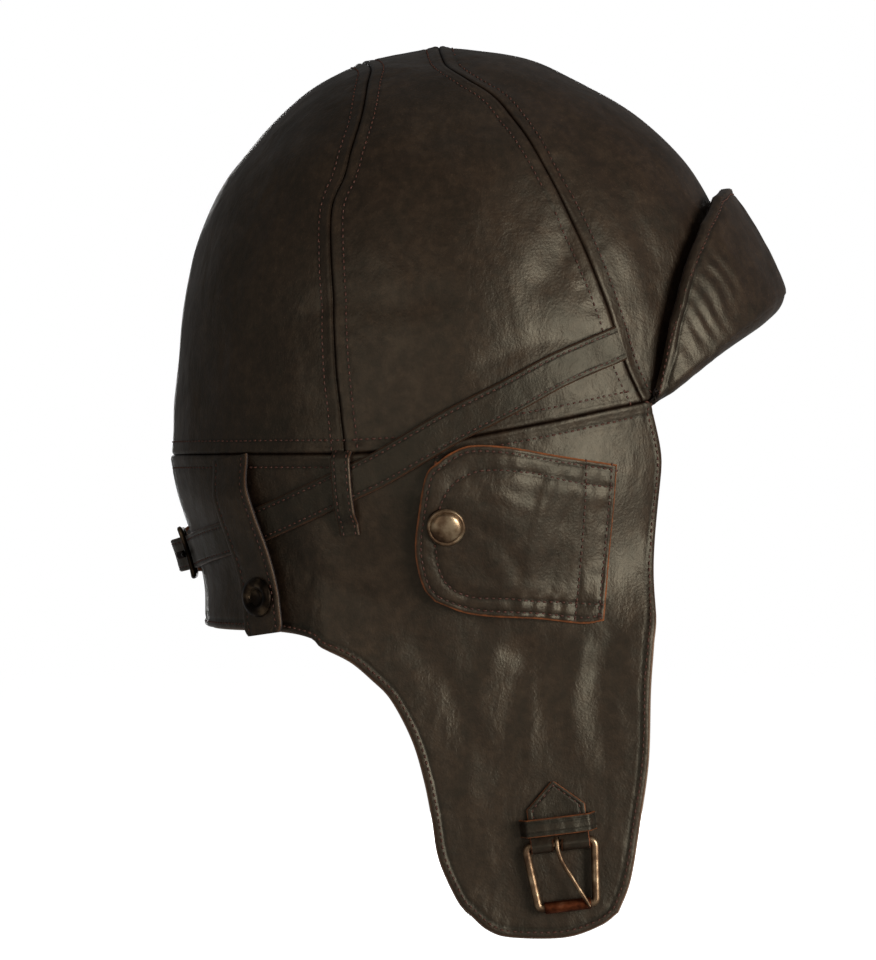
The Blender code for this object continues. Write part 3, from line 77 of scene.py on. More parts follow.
camera_data = bpy.data.cameras.new("side_view")
camera_data.sensor_fit = "VERTICAL"
camera_data.sensor_height = SENSOR_MM
camera_data.lens = SENSOR_MM * CAMERA_DISTANCE / (PHOTO_HEIGHT * PIXEL)
camera = new_object("side_view", camera_data)
camera.location = (CAMERA_X, -CAMERA_DISTANCE, CAMERA_Z)
camera.rotation_euler = (math.radians(90.0), 0.0, 0.0)
bpy.context.scene.camera = camera
print("camera lens", round(camera_data.lens, 1), "mm")

# %% [markdown]
# ## Nodes
# A material is a small tree of nodes. One function adds any node with its settings and links, so each
# material below reads as a list of what its surface has. Colours are written as they look on a screen and
# are turned to the linear values that light is reckoned in.


# %% Nodes: one helper for every material
def linear(hex_colour):
    """sRGB hex turned to the linear values that a shader takes."""
    parts = [int(hex_colour[i : i + 2], 16) / 255.0 for i in (1, 3, 5)]
    return [p / 12.92 if p <= 0.04045 else ((p + 0.055) / 1.055) ** 2.4 for p in parts] + [1.0]


def add(tree, kind, inputs=None, stops=(), **settings):
    """Adds a node. Inputs are values or other nodes' output sockets, by input name or number. Stops are the
    places and hex colours of a colour ramp."""
    node = tree.nodes.new(kind)
    for name, value in settings.items():
        setattr(node, name, value)
    for name, value in (inputs or {}).items():
        socket = node.inputs[name]
        if isinstance(value, bpy.types.NodeSocket):
            tree.links.new(value, socket)
        else:
            socket.default_value = value
    for _ in stops[2:]:
        node.color_ramp.elements.new(0.5)
    for i, (place, colour) in enumerate(stops):
        node.color_ramp.elements[i].position = place
        node.color_ramp.elements[i].color = linear(colour)
    return node


def new_material(name):
    """A Principled material, and the place on the object that its patterns read."""
    material = bpy.data.materials.new(name)
    material.use_nodes = True
    tree = material.node_tree
    return material, tree, tree.nodes["Principled BSDF"], add(tree, "ShaderNodeTexCoord").outputs["Object"]


def relief(tree, shader, layers):
    """Lays fine relief on a surface, coarse to fine: a height socket, strength and depth in metres each."""
    normal = None
    for height, strength, depth in layers:
        inputs = {"Height": height, "Strength": strength, "Distance": depth}
        if normal is not None:
            inputs["Normal"] = normal
        normal = add(tree, "ShaderNodeBump", inputs).outputs["Normal"]
    tree.links.new(normal, shader.inputs["Normal"])


def per_metre(size_mm):
    """Scale of a pattern whose cells have this size."""
    return 1000.0 / size_mm


print("brown in linear values", [round(value, 4) for value in linear("#251911")])

# %% [markdown]
# ## Leather
# The real leather is chrome-tanned garment leather, dyed dark brown, finished with wax and worn. A picture
# of leather could be laid on, but it would need flattening round the dome, so the pattern is made of noise
# in space. Measures in millimetres come with each mesh and tell the material where seams, stitch rows and
# edges are, so that painted shade sits in the seams and stitch rows, and wear sits where the real wear does.

# %% Leather colour
# Painted shade: the colour is darkened in the seam grooves and along the stitch rows. Each row gives a measure,
# where the darkening is full, where it ends, and the share of colour left.
SEAM_AND_ROW_SHADE = (("seam_mm", 0.1, 0.9, 0.40), ("row_mm", 0.2, 1.1, 0.38))
RUBBED, FIBRES = "#5e3822", "#8f4e27"


def measure(tree, name):
    """A measure that comes with the mesh."""
    return add(tree, "ShaderNodeAttribute", attribute_name=name).outputs["Fac"]


def shade_seams(tree, body):
    """Paints shade into a colour: darker in the seam grooves and along the stitch rows."""
    for name, near, far, least in SEAM_AND_ROW_SHADE:
        unshaded = add(tree, "ShaderNodeMapRange", {
            "Value": measure(tree, name), "From Min": near, "From Max": far, "To Min": least, "To Max": 1.0,
        })
        mixed = add(
            tree, "ShaderNodeMix", {"Factor": 1.0, "A": body, "B": unshaded.outputs[0]},
            data_type="RGBA", blend_type="MULTIPLY",
        )
        body = mixed.outputs["Result"]
    return body


def rubbed(tree, body, fine):
    """Wears the dye off along an edge, and shows bare fibres where the edge was cut."""
    ragged = add(
        tree, "ShaderNodeMath", {0: fine, 1: 1.2, 2: measure(tree, "edge_mm")}, operation="MULTIPLY_ADD"
    )
    worn = add(tree, "ShaderNodeMapRange", {
        "Value": ragged.outputs[0], "From Min": 0.65, "From Max": 1.15, "To Min": 0.45, "To Max": 0.0,
    })
    torn = add(tree, "ShaderNodeMath", {0: measure(tree, "raw"), 1: fine}, operation="MULTIPLY")
    bare = add(tree, "ShaderNodeMapRange", {
        "Value": torn.outputs[0], "From Min": 0.22, "From Max": 0.62, "To Min": 0.0, "To Max": 0.9,
    })
    for share, colour in ((worn, RUBBED), (bare, FIBRES)):
        inputs = {"Factor": share.outputs[0], "A": body, "B": linear(colour)}
        body = add(tree, "ShaderNodeMix", inputs, data_type="RGBA").outputs["Result"]
    return body


# seam_mm and row_mm carry the painted shade in the grooves; edge_mm and raw carry the wear and the cut fibres.
print("dirt and wear follow", [name for name, *_ in SEAM_AND_ROW_SHADE], "and edge_mm, raw")

# %% Leather surface
CLOUD_MM, FINE_MM, WRINKLE_MM, FOLD_MM = 18.18, 3.333, 8.696, 20.83
# Real pebbles are about 0.5 mm wide. They are drawn at almost 1 mm, or they wouldn't show at this distance.
PEBBLE_MM, STRAP_PEBBLE_MM = 0.9524, 0.8282


def leather_relief(tree, shader, place, pebble_mm):
    """Folds that are wider than high, wrinkles in the same direction, and pebbled grain."""
    stretched = add(tree, "ShaderNodeMapping", {
        "Vector": place, "Scale": (1.0, 1.0, 0.6), "Rotation": (0.0, 0.5, 0.0),
    }).outputs[0]
    wrinkles = add(tree, "ShaderNodeTexNoise", {
        "Vector": stretched, "Scale": per_metre(WRINKLE_MM), "Detail": 5.0, "Roughness": 0.64,
        "Distortion": 0.45,
    })
    folds = add(tree, "ShaderNodeTexNoise", {
        "Vector": stretched, "Scale": per_metre(FOLD_MM), "Detail": 2.0, "Roughness": 0.5, "Distortion": 0.5,
    })
    pebbles = add(
        tree, "ShaderNodeTexVoronoi", {"Vector": place, "Scale": per_metre(pebble_mm), "Randomness": 1.0},
        distance="EUCLIDEAN",
    )
    rounded = add(tree, "ShaderNodeMath", {0: pebbles.outputs["Distance"], 1: 0.8}, operation="POWER")
    relief(tree, shader, [
        (folds.outputs["Fac"], 0.50, 0.0028),
        (wrinkles.outputs["Fac"], 0.44, 0.0011),
        (rounded.outputs[0], 0.24, 0.00022),
    ])


def leather(name, dark, mid, light, pebble_mm, roughness):
    """Dyed and waxed leather. Its shine is patchy and dies in the seams."""
    material, tree, shader, place = new_material(name)
    cloud = add(tree, "ShaderNodeTexNoise", {
        "Vector": place, "Scale": per_metre(CLOUD_MM), "Detail": 6.0, "Roughness": 0.66, "Distortion": 0.5,
    }).outputs["Fac"]
    fine = add(tree, "ShaderNodeTexNoise", {
        "Vector": place, "Scale": per_metre(FINE_MM), "Detail": 4.0, "Roughness": 0.65,
    }).outputs["Fac"]
    tone = add(tree, "ShaderNodeMath", {0: cloud, 1: fine}, operation="ADD")
    half = add(tree, "ShaderNodeMath", {0: tone.outputs[0], 1: 0.5}, operation="MULTIPLY")
    stops = [(0.36, dark), (0.50, mid), (0.66, light)]
    dye = add(tree, "ShaderNodeValToRGB", {"Fac": half.outputs[0]}, stops).outputs["Color"]
    # The colour carries painted shade in the seams and stitch rows, and real wear on the edges.
    tree.links.new(rubbed(tree, shade_seams(tree, dye), fine), shader.inputs["Base Color"])
    leather_relief(tree, shader, place, pebble_mm)
    shine = add(tree, "ShaderNodeMapRange", {
        "Value": cloud, "From Min": 0.3, "From Max": 0.7,
        "To Min": roughness + 0.06, "To Max": roughness - 0.06,
    })
    tree.links.new(shine.outputs[0], shader.inputs["Roughness"])
    wax = add(tree, "ShaderNodeMapRange", {
        "Value": measure(tree, "seam_mm"), "From Min": 0.2, "From Max": 1.0, "To Min": 0.05, "To Max": 0.50,
    })
    tree.links.new(wax.outputs[0], shader.inputs["Specular IOR Level"])
    shader.inputs["Specular Tint"].default_value = linear("#efe4c6")
    shader.inputs["IOR"].default_value = 1.5
    return material


# Waxed garment leather gives the eye a soft, patchy shine over a dark brown that is almost black in its folds.
LEATHER = leather("garment_leather_waxed_brown", "#170e08", "#251911", "#35271c", PEBBLE_MM, 0.45)
# Strap leather is pressed harder: a finer grain, a little duller, and the same brown.
STRAP_LEATHER = leather("strap_leather_waxed_brown", "#120c07", "#1c130c", "#291d14", STRAP_PEBBLE_MM, 0.48)
print("leather nodes", len(LEATHER.node_tree.nodes))

# %% [markdown]
# ## Cut edges and lining
# Dye only colours the face of leather, so a knife's cut shows matt orange-brown fibres until it is dyed too.
# The lining is suede, leather that was buffed on its flesh side. Both are fibres, without a shine of their
# own.

# %% Cut edges and suede
# Single fibres are far finer than a pixel, so both patterns are drawn at about 1 mm.
EDGE_FIBRE_MM, NAP_MM, BRUSHED_MM = 1.111, 0.7143, 16.67


def raw_edge(name, dark, light):
    """Cut edge of leather: matt, rough fibres."""
    material, tree, shader, place = new_material(name)
    fibres = add(tree, "ShaderNodeTexNoise", {
        "Vector": place, "Scale": per_metre(EDGE_FIBRE_MM), "Detail": 4.0, "Roughness": 0.7,
    }).outputs["Fac"]
    colour = add(tree, "ShaderNodeValToRGB", {"Fac": fibres}, [(0.35, dark), (0.65, light)])
    tree.links.new(colour.outputs["Color"], shader.inputs["Base Color"])
    shader.inputs["Roughness"].default_value = 0.8
    relief(tree, shader, [(fibres, 0.4, 0.0002)])
    return material


def suede(name, dark, light):
    """Napped lining: brushed patches of lighter and darker fibres with a soft sheen."""
    material, tree, shader, place = new_material(name)
    patches = add(tree, "ShaderNodeTexNoise", {
        "Vector": place, "Scale": per_metre(BRUSHED_MM), "Detail": 6.0, "Roughness": 0.7, "Distortion": 0.7,
    }).outputs["Fac"]
    nap = add(tree, "ShaderNodeTexNoise", {
        "Vector": place, "Scale": per_metre(NAP_MM), "Detail": 3.0, "Roughness": 0.7,
    }).outputs["Fac"]
    both = add(tree, "ShaderNodeMath", {0: nap, 1: 0.35, 2: patches}, operation="MULTIPLY_ADD")
    colour = add(tree, "ShaderNodeValToRGB", {"Fac": both.outputs[0]}, [(0.45, dark), (0.9, light)])
    tree.links.new(colour.outputs["Color"], shader.inputs["Base Color"])
    for socket, value in (("Roughness", 0.95), ("Sheen Weight", 0.25), ("Sheen Roughness", 0.6)):
        shader.inputs[socket].default_value = value
    relief(tree, shader, [(patches, 0.3, 0.001), (nap, 0.5, 0.0003)])
    return material


# The raw cut gives the thin orange line round the ear covers. The dyed cut of the other panels hardly shows.
RAW_EDGE = raw_edge("cut_leather_edge", "#4a2713", "#8f4d24")
DARK_EDGE = raw_edge("dyed_leather_edge", "#140e0a", "#2a1a11")
# Brushed suede gives a flat, warm brown without highlights, which tells the inside from the outside.
SUEDE = suede("brushed_suede_lining", "#5f4630", "#8d6f50")
print("edges and lining", RAW_EDGE.name, DARK_EDGE.name, SUEDE.name)

# %% [markdown]
# ## Metal and thread
# The fittings are brass, cast or pressed, with the brown film that brass gets with age, and the roller is a
# copper-plated tube. A film would be darker in hollows; here noise stands for it. The thread is spun and
# reddish brown.

# %% Metal and thread
# Scratches and the twist of a thread are finer than a pixel and are drawn at about half a millimetre.
PATINA_MM, SCRATCH_MM, TWIST_MM = 5.556, 0.5556, 0.4


def metal(name, dark, mid, light, roughness):
    """Old metal: a dull dark film in some places, rubbed bright in others."""
    material, tree, shader, place = new_material(name)
    patina = add(tree, "ShaderNodeTexNoise", {
        "Vector": place, "Scale": per_metre(PATINA_MM), "Detail": 4.0, "Roughness": 0.55,
    }).outputs["Fac"]
    colour = add(tree, "ShaderNodeValToRGB", {"Fac": patina}, [(0.36, dark), (0.52, mid), (0.68, light)])
    tree.links.new(colour.outputs["Color"], shader.inputs["Base Color"])
    shader.inputs["Metallic"].default_value = 1.0
    dull = add(tree, "ShaderNodeMapRange", {
        "Value": patina, "From Min": 0.35, "From Max": 0.65,
        "To Min": roughness + 0.16, "To Max": roughness - 0.06,
    })
    tree.links.new(dull.outputs[0], shader.inputs["Roughness"])
    scratches = add(tree, "ShaderNodeTexNoise", {
        "Vector": place, "Scale": per_metre(SCRATCH_MM), "Detail": 2.0,
    }).outputs["Fac"]
    relief(tree, shader, [(patina, 0.25, 0.0002), (scratches, 0.15, 0.00005)])
    return material


def thread(name, dark, light):
    """Spun polyester thread, matt and twisted."""
    material, tree, shader, place = new_material(name)
    twist = add(tree, "ShaderNodeTexNoise", {
        "Vector": place, "Scale": per_metre(TWIST_MM), "Detail": 2.0,
    }).outputs["Fac"]
    colour = add(tree, "ShaderNodeValToRGB", {"Fac": twist}, [(0.3, dark), (0.7, light)])
    tree.links.new(colour.outputs["Color"], shader.inputs["Base Color"])
    shader.inputs["Roughness"].default_value = 0.62
    relief(tree, shader, [(twist, 0.5, 0.0001)])
    return material


# Antique brass gives a soft yellow-grey highlight on a brown ground.
BRASS = metal("antique_brass_cast", "#4c392a", "#7a624a", "#aa9374", 0.36)
# Darkened brass is almost black and shows as metal only where it catches the light.
DARK_BRASS = metal("darkened_brass_pressed", "#14100c", "#2a2119", "#5a4a38", 0.36)
# The copper tube is the one red-brown spot at the buckle's foot.
COPPER = metal("copper_plated_tube", "#3a1c10", "#6e3a22", "#9a6244", 0.38)
# The thread gives thin broken reddish lines in the grooves.
THREAD = thread("spun_thread_reddish_brown", "#2c1407", "#532710")
print(len(bpy.data.materials), "materials")

# %% [markdown]
# ## The head form
# A real helmet gets its shape from the block it is made on. All the leather here lies on one head form too,
# the same as in the CAD: an oval at each level that closes in a dome, drawn in at the nape and flattened
# beside the ears. It is a formula and not a mesh, so any piece can ask for its place and for the way out of
# it. Places are given by the angle round the head and the level.

# %% Head form
HALF_LENGTH, HALF_WIDTH, HEIGHT = 0.1045, 0.084, 0.1486
DOME_POWER, DOME_ROOT, TOP_SHIFT = 3.5, 1.6, -0.0073
NAPE_DRAW, NAPE_DEPTH, SIDE_DRAW, SIDE_DEPTH = 0.012, 0.052, 0.004, 0.060
FLAP_Y, FLAT_FROM, FLAT_TO, FLAT_REAR, FLAT_FRONT = 0.070, 0.010, 0.070, -0.062, -0.038


def unit(vectors):
    """The same directions, each of length 1."""
    return vectors / np.linalg.norm(vectors, axis=-1, keepdims=True)


def smooth_share(value, start, end):
    share = np.clip((value - start) / (end - start), 0.0, 1.0)
    return share * share * (3.0 - 2.0 * share)


def dome(level):
    """Share of the full length and width that the dome has at a level."""
    share = np.clip(level / HEIGHT, 0.0, 1.0)
    return np.maximum(0.0, 1.0 - share**DOME_POWER) ** (1.0 / DOME_ROOT)


def half_length(level):
    return HALF_LENGTH * dome(level) - NAPE_DRAW * smooth_share(-level, 0.0, NAPE_DEPTH)


def half_width(level):
    return HALF_WIDTH * dome(level) - SIDE_DRAW * smooth_share(-level, 0.0, SIDE_DEPTH)


def centre_x(level):
    return TOP_SHIFT * np.clip(level / HEIGHT, 0.0, 1.0) ** 8


def head(angle, level):
    """Place on the head form at an angle, from the front and positive to the left, and a level."""
    angle, level = np.broadcast_arrays(np.asarray(angle, float), np.asarray(level, float))
    x = centre_x(level) + half_length(level) * np.cos(angle)
    y = half_width(level) * np.abs(np.sin(angle))
    flat = smooth_share(-level, FLAT_FROM, FLAT_TO) * smooth_share(x, FLAT_REAR, FLAT_FRONT)
    y = y * (1.0 - flat) + FLAP_Y * flat
    return np.stack([x, np.copysign(y, np.sin(angle)), level], axis=-1)


def angle_at(x, level):
    """Angle on the left side at which the head form has this forward distance."""
    return np.arccos(np.clip((x - centre_x(level)) / half_length(level), -1.0, 1.0))


print("head form at the seam", np.round(head(math.radians(90.0), 0.0), 4))

# %% Crown pattern
TOP_BUMP, TOP_BUMP_WIDTH = 0.0014, 0.014


def crown_profile():
    """Shares of the way from the top down to the seam, with the levels they have, and the whole way."""
    near_top = 1.0 - np.geomspace(0.1, 1e-7, 400)
    heights = HEIGHT * np.concatenate([np.linspace(0.0, 0.9, 200), near_top[1:], [1.0]])
    radii = HALF_LENGTH * dome(heights)
    run = np.concatenate([[0.0], np.cumsum(np.hypot(np.diff(radii), np.diff(heights)))])
    return 1.0 - run / run[-1], heights, run[-1]


REACHES, LEVELS, PROFILE = crown_profile()


def crown_reach(level):
    return np.interp(level, LEVELS, REACHES)


def crown(forward, sideways):
    """The crown by shares on its flattened pattern, with the small bump where the seams meet on top."""
    reach = np.hypot(forward, sideways)
    level = np.interp(np.minimum(reach, 1.0), REACHES[::-1], LEVELS[::-1])
    point = head(np.arctan2(sideways, forward), level)
    point[..., 2] += TOP_BUMP * np.exp(-((reach * PROFILE / TOP_BUMP_WIDTH) ** 2))
    return point


print("way from the top to the seam", round(float(PROFILE), 4), "m")

# %% Crown rim
TEMPLE_ANGLE, TEMPLE_LEVEL, BROW_LEVEL = math.radians(50.8), 0.0188, 0.052
SEAM_RISE_ANGLE = math.radians(112.0)
RISE_PLACES, RISE_SHARES = (0.0, 0.17, 0.42, 0.67, 0.81, 1.0), (0.0, 0.05, 0.34, 0.62, 0.79, 1.0)


def rim_level(angle):
    """Lower edge of the crown, by the angle round the head: level behind, rising to the temples and brow."""
    turned = np.abs((np.asarray(angle, float) + math.pi) % (2 * math.pi) - math.pi)
    share = np.clip((SEAM_RISE_ANGLE - turned) / (SEAM_RISE_ANGLE - TEMPLE_ANGLE), 0.0, 1.0)
    rise = TEMPLE_LEVEL * np.interp(share, RISE_PLACES, RISE_SHARES)
    brow = (np.cos(turned) - math.cos(TEMPLE_ANGLE)) / (1.0 - math.cos(TEMPLE_ANGLE))
    return np.where(turned < TEMPLE_ANGLE, TEMPLE_LEVEL + (BROW_LEVEL - TEMPLE_LEVEL) * brow, rise)


def normal_of(surface, first, second):
    """Directions out of a surface, from points a small step to either side."""
    step = 5e-4
    along = surface(first + step, second) - surface(first - step, second)
    across = surface(first, second + step) - surface(first, second - step)
    normal = unit(np.cross(along, across))
    point = surface(first, second)
    point[..., 2] = np.maximum(point[..., 2], 0.0)
    return normal * np.sign((normal * point).sum(-1))[..., None]


print("rim at the brow", float(rim_level(0.0)), "and at the nape", float(rim_level(math.pi)))

# %% [markdown]
# ## How the leather gives
# Worn leather keeps hollows and creases where it has been folded. Cloth simulation could make some, but
# never the ones that the photograph shows. So a table of hollows and creases, read from the photograph by
# pixel, is added to a slow noise. Every piece of leather, lining and strap follows this one soft field, so
# that nothing pokes through its neighbour.


# %% Noise
def hashed(cells, seed):
    """A value from -1 to 1 for each whole-numbered cell of space."""
    n = cells[..., 0] * 374761393 + cells[..., 1] * 668265263 + cells[..., 2] * 1442695041 + seed * 97531
    n = (n ^ (n >> 13)) * 1274126177 & 0x7FFFFFFF
    return ((n ^ (n >> 16)) & 0xFFFF) / 32767.5 - 1.0


def noise(points, size, seed):
    """Smooth noise from -1 to 1 with lumps of about the given size."""
    place = points / size + 311.7
    cell = np.floor(place).astype(np.int64)
    part = place - cell
    part = part * part * (3.0 - 2.0 * part)
    total = np.zeros(points.shape[:-1])
    for corner in itertools.product((0, 1), repeat=3):
        weight = np.prod(np.where(corner, part, 1.0 - part), axis=-1)
        total += weight * hashed(cell + np.array(corner), seed)
    return total


print("noise at one place", round(float(noise(np.array([[0.01, 0.02, 0.03]]), 0.034, 1)[0]), 3))

# %% Hollows and creases in the photograph
# Each hollow has a pixel, a radius in millimetres and a height. Each crease has pixels, a width and a height.
HOLLOWS = (
    (560, 250, 26, -1.6), (470, 330, 34, 0.9), (400, 250, 30, -0.8), (260, 260, 34, 0.8), (225, 380, 26, -0.8),
    (300, 180, 26, -0.7), (640, 200, 26, 0.9), (600, 170, 18, -0.8), (520, 190, 24, 0.8), (430, 410, 22, -0.9),
    (560, 330, 20, 1.0), (260, 470, 20, -0.6), (400, 560, 24, 0.9), (470, 680, 26, -1.0), (570, 700, 28, 0.9),
    (330, 600, 22, -0.8), (620, 560, 16, -0.6), (540, 640, 20, -0.7),
)
CREASES = (
    (((344, 173), (372, 158), (420, 143), (462, 132), (500, 120)), 5.0, -0.7),
    ((
        (449, 60), (487, 78), (523, 92), (569, 120), (598, 156), (630, 210), (650, 250), (661, 288),
    ), 6.0, -0.8),
    (((560, 165), (572, 205), (566, 245), (548, 280)), 6.0, -0.9),
    (((600, 345), (565, 338), (528, 345), (490, 362)), 4.0, -0.7),
    (((250, 330), (290, 322), (328, 300)), 5.0, -0.6),
    (((200, 400), (240, 396), (290, 410), (332, 404)), 4.5, -0.6),
    (((352, 300), (390, 306), (436, 296), (470, 300)), 5.0, -0.5),
    (((470, 600), (500, 640), (548, 668), (600, 672)), 5.0, -0.6),
    (((420, 650), (455, 700), (480, 760)), 5.0, -0.6),
    (((300, 560), (340, 590), (380, 600)), 4.0, -0.5),
    (((580, 650), (572, 700), (578, 770)), 3.6, 0.7),
    (((612, 640), (600, 700), (606, 760)), 4.2, -0.7),
    (((528, 650), (508, 720), (500, 800)), 4.5, -0.8),
    (((500, 640), (478, 700), (470, 790)), 4.0, 0.6),
    (((548, 640), (540, 700), (548, 760)), 3.2, -0.5),
)


def at_pixel(x, y):
    """Place on the right side of the head form that the photograph shows at a pixel."""
    depth = 0.070
    for _ in range(4):
        share = (CAMERA_DISTANCE - depth) / CAMERA_DISTANCE * PIXEL
        forward, level = CAMERA_X + (x - PHOTO_WIDTH / 2) * share, CAMERA_Z + (PHOTO_HEIGHT / 2 - y) * share
        point = head(-angle_at(forward, level), level)
        depth = -point[1]
    return point


print(len(HOLLOWS), "hollows and", len(CREASES), "creases, from", np.round(at_pixel(*HOLLOWS[0][:2]), 4))


# %% Paths
def run_along(path):
    """How far along a path each of its points is."""
    return np.concatenate([[0.0], np.cumsum(np.linalg.norm(np.diff(path, axis=0), axis=1))])


def path_distance(points, path):
    """Each point's distance from a path, and how far along the path it is nearest."""
    flat, run = points.reshape(-1, 3), run_along(path)
    gaps, places = np.empty(len(flat)), np.empty(len(flat))
    for start in range(0, len(flat), 4000):
        some = flat[start : start + 4000]
        nearest = ((some[:, None] - path[None]) ** 2).sum(-1).argmin(1)
        best = np.full(len(some), np.inf)
        along = np.zeros(len(some))
        for side in (-1, 0):
            i = np.clip(nearest + side, 0, len(path) - 2)
            line = path[i + 1] - path[i]
            length = np.maximum((line**2).sum(-1), 1e-15)
            share = np.clip(((some - path[i]) * line).sum(-1) / length, 0.0, 1.0)
            gap = np.linalg.norm(path[i] + share[:, None] * line - some, axis=-1)
            closer = gap < best
            best[closer] = gap[closer]
            along[closer] = (run[i] + share * (run[i + 1] - run[i]))[closer]
        gaps[start : start + 4000], places[start : start + 4000] = best, along
    return gaps.reshape(points.shape[:-1]), places.reshape(points.shape[:-1])


def evenly(points, shares):
    """Points at shares of a path's length, or that many of them evenly spaced."""
    if isinstance(shares, int):
        shares = np.linspace(0.0, 1.0, shares)
    points = np.asarray(points, float)
    run = run_along(points)
    return np.stack([np.interp(shares * run[-1], run, points[:, k]) for k in range(points.shape[1])], axis=1)


def drawn(points, shares=240):
    """A smooth curve through the points, evenly spaced."""
    knots = np.array(points, float)
    padded = np.vstack([2 * knots[0] - knots[1], knots, 2 * knots[-1] - knots[-2]])
    fine = []
    for i in range(1, len(padded) - 2):
        before, start, end, after = padded[i - 1 : i + 3]
        for t in np.linspace(0.0, 1.0, 16, endpoint=False):
            bend = (2 * before - 5 * start + 4 * end - after) * t * t
            cubic = (3 * start - before - 3 * end + after) * t**3
            fine.append(0.5 * (2 * start + (end - before) * t + bend + cubic))
    return evenly(np.vstack([fine, knots[-1]]), shares)


print("a quarter circle drawn through 3 points has", len(drawn([(1, 0), (0.7, 0.7), (0, 1)])), "points")

# %% Soft field
MM = 1e-3
SOFT_SPOTS = [(at_pixel(x, y), radius * MM, depth * MM) for x, y, radius, depth in HOLLOWS]
SOFT_LINES = [
    (drawn([at_pixel(*place) for place in path], 60), width * MM, depth * MM)
    for path, width, depth in CREASES
]
# The leather lies still round the ear snap, the rear snap, the chin buckle and the nape buckle.
STILL_SPOTS = [
    (np.array(top), np.array(foot), radius)
    for top, foot, radius in (
        ((-0.0050, -0.0745, -0.0228), (-0.0050, -0.0745, -0.0248), 0.013),
        ((-0.0676, -0.0548, -0.0489), (-0.0676, -0.0548, -0.0509), 0.013),
        ((0.0320, -0.0705, -0.1180), (0.0370, -0.0705, -0.1640), 0.021),
        ((-0.0970, 0.0, -0.0335), (-0.0970, 0.0, -0.0355), 0.022),
    )
]
# Lumps on the crown's ridge: a place in the middle plane, a radius and a height.
CROWN_TOP = (
    ((-0.0120, 0.1480), 0.016, -0.0020), ((0.0270, 0.1420), 0.014, 0.0015),
    ((-0.0850, 0.1200), 0.016, -0.0003),
)
RIDGE_WIDTH, BACK_FLATTENING = 0.045, 0.0021


def stillness(points):
    """Share of the soft field that is left beside the fittings."""
    share_left = np.ones(points.shape[:-1])
    for top, foot, radius in STILL_SPOTS:
        line = foot - top
        share = np.clip(((points - top) @ line) / (line @ line), 0.0, 1.0)
        gap = np.linalg.norm(top + share[..., None] * line - points, axis=-1)
        share_left *= 1.0 - np.exp(-((gap / radius) ** 4))
    return share_left


def soft(points):
    """Height of the soft field: hollows, creases and slow noise, the left side like the right."""
    right = points * np.array((1.0, -1.0, 1.0))
    right = np.where(points[..., 1:2] > 0.0, right, points)
    height = 0.0006 * noise(points, 0.034, 1) + 0.0004 * noise(points, 0.017, 2)
    for centre, radius, depth in SOFT_SPOTS:
        height += depth * np.exp(-(((right - centre) ** 2).sum(-1)) / radius**2)
    for path, width, depth in SOFT_LINES:
        height += depth * np.exp(-((path_distance(right, path)[0] / width) ** 2))
    height *= stillness(right)
    height *= 0.35 + 0.65 * smooth_share(np.abs(points[..., 1]), 0.0, 0.012)
    x, level = points[..., 0], points[..., 2]
    behind = smooth_share(-x, 0.020, 0.075) * smooth_share(level, 0.016, 0.042)
    height -= BACK_FLATTENING * behind * (1.0 - smooth_share(level, 0.112, 0.138))
    ridge = np.exp(-((points[..., 1] / RIDGE_WIDTH) ** 2))
    for (lump_x, lump_level), radius, rise in CROWN_TOP:
        height += rise * np.exp(-((x - lump_x) ** 2 + (level - lump_level) ** 2) / radius**2) * ridge
    return height


def laid(surface, first, second, lift=0.0):
    """Points over the head form with the soft field, and the directions out of it."""
    first, second = np.asarray(first, float), np.asarray(second, float)
    point, normal = surface(first, second), normal_of(surface, first, second)
    return point + (soft(point) + lift)[..., None] * normal, normal


sample = np.linspace(1.0, 2.4, 60), np.zeros(60)
sample = laid(head, *sample)[0] - head(*sample)
print("leather moves by up to", round(1000 * float(np.linalg.norm(sample, axis=1).max()), 2), "mm")

# %% [markdown]
# ## Sewn panels
# A panel is a flat pattern piece with four edges, pulled over the head form. It could be cut out of a mesh
# of the whole head, but its edges would then be ragged, so a grid is laid between its edges instead. Near a
# seam the leather turns in, and a raised band runs out to the stitches. A cut edge is rounded and has its
# own row.


# %% Pattern grids
# Distances from a panel's edge at which it has a row of points, close together where the seam's form is.
NEAR_EDGE = np.array([0.0, 0.25, 0.5, 0.8, 1.2, 1.7, 2.3, 3.0, 3.8, 4.6, 5.5, 6.5]) * MM


def edge_shares(length, step=0.0013):
    """Shares that are close together near both ends, where the seams are."""
    count = max(2, int((length - 2 * NEAR_EDGE[-1]) / step))
    middle = np.linspace(NEAR_EDGE[-1], length - NEAR_EDGE[-1], count + 1)
    return np.concatenate([NEAR_EDGE[:-1], middle, (length - NEAR_EDGE[:-1])[::-1]]) / length


def between(bottom, top, left, right, u, v):
    """Grid between four edges that have their points at the shares u and v."""
    u, v = u[None, :, None], v[:, None, None]
    edges = (1 - v) * bottom[None] + v * top[None] + (1 - u) * left[:, None] + u * right[:, None]
    corners = (1 - u) * (1 - v) * bottom[0] + u * (1 - v) * bottom[-1]
    return edges - corners - (1 - u) * v * top[0] - u * v * top[-1]


def patch(bottom, top, left, right, u, v):
    """Grid between any four edges: bottom and top run the same way, and so do left and right."""
    bottom, top, left, right = evenly(bottom, u), evenly(top, u), evenly(left, v), evenly(right, v)
    return between(bottom, top, left, right, u, v)


print("rows of points over a 60 mm panel", len(edge_shares(0.060)))


# %% Seam and edge forms
SEAM_ROW = 0.0047


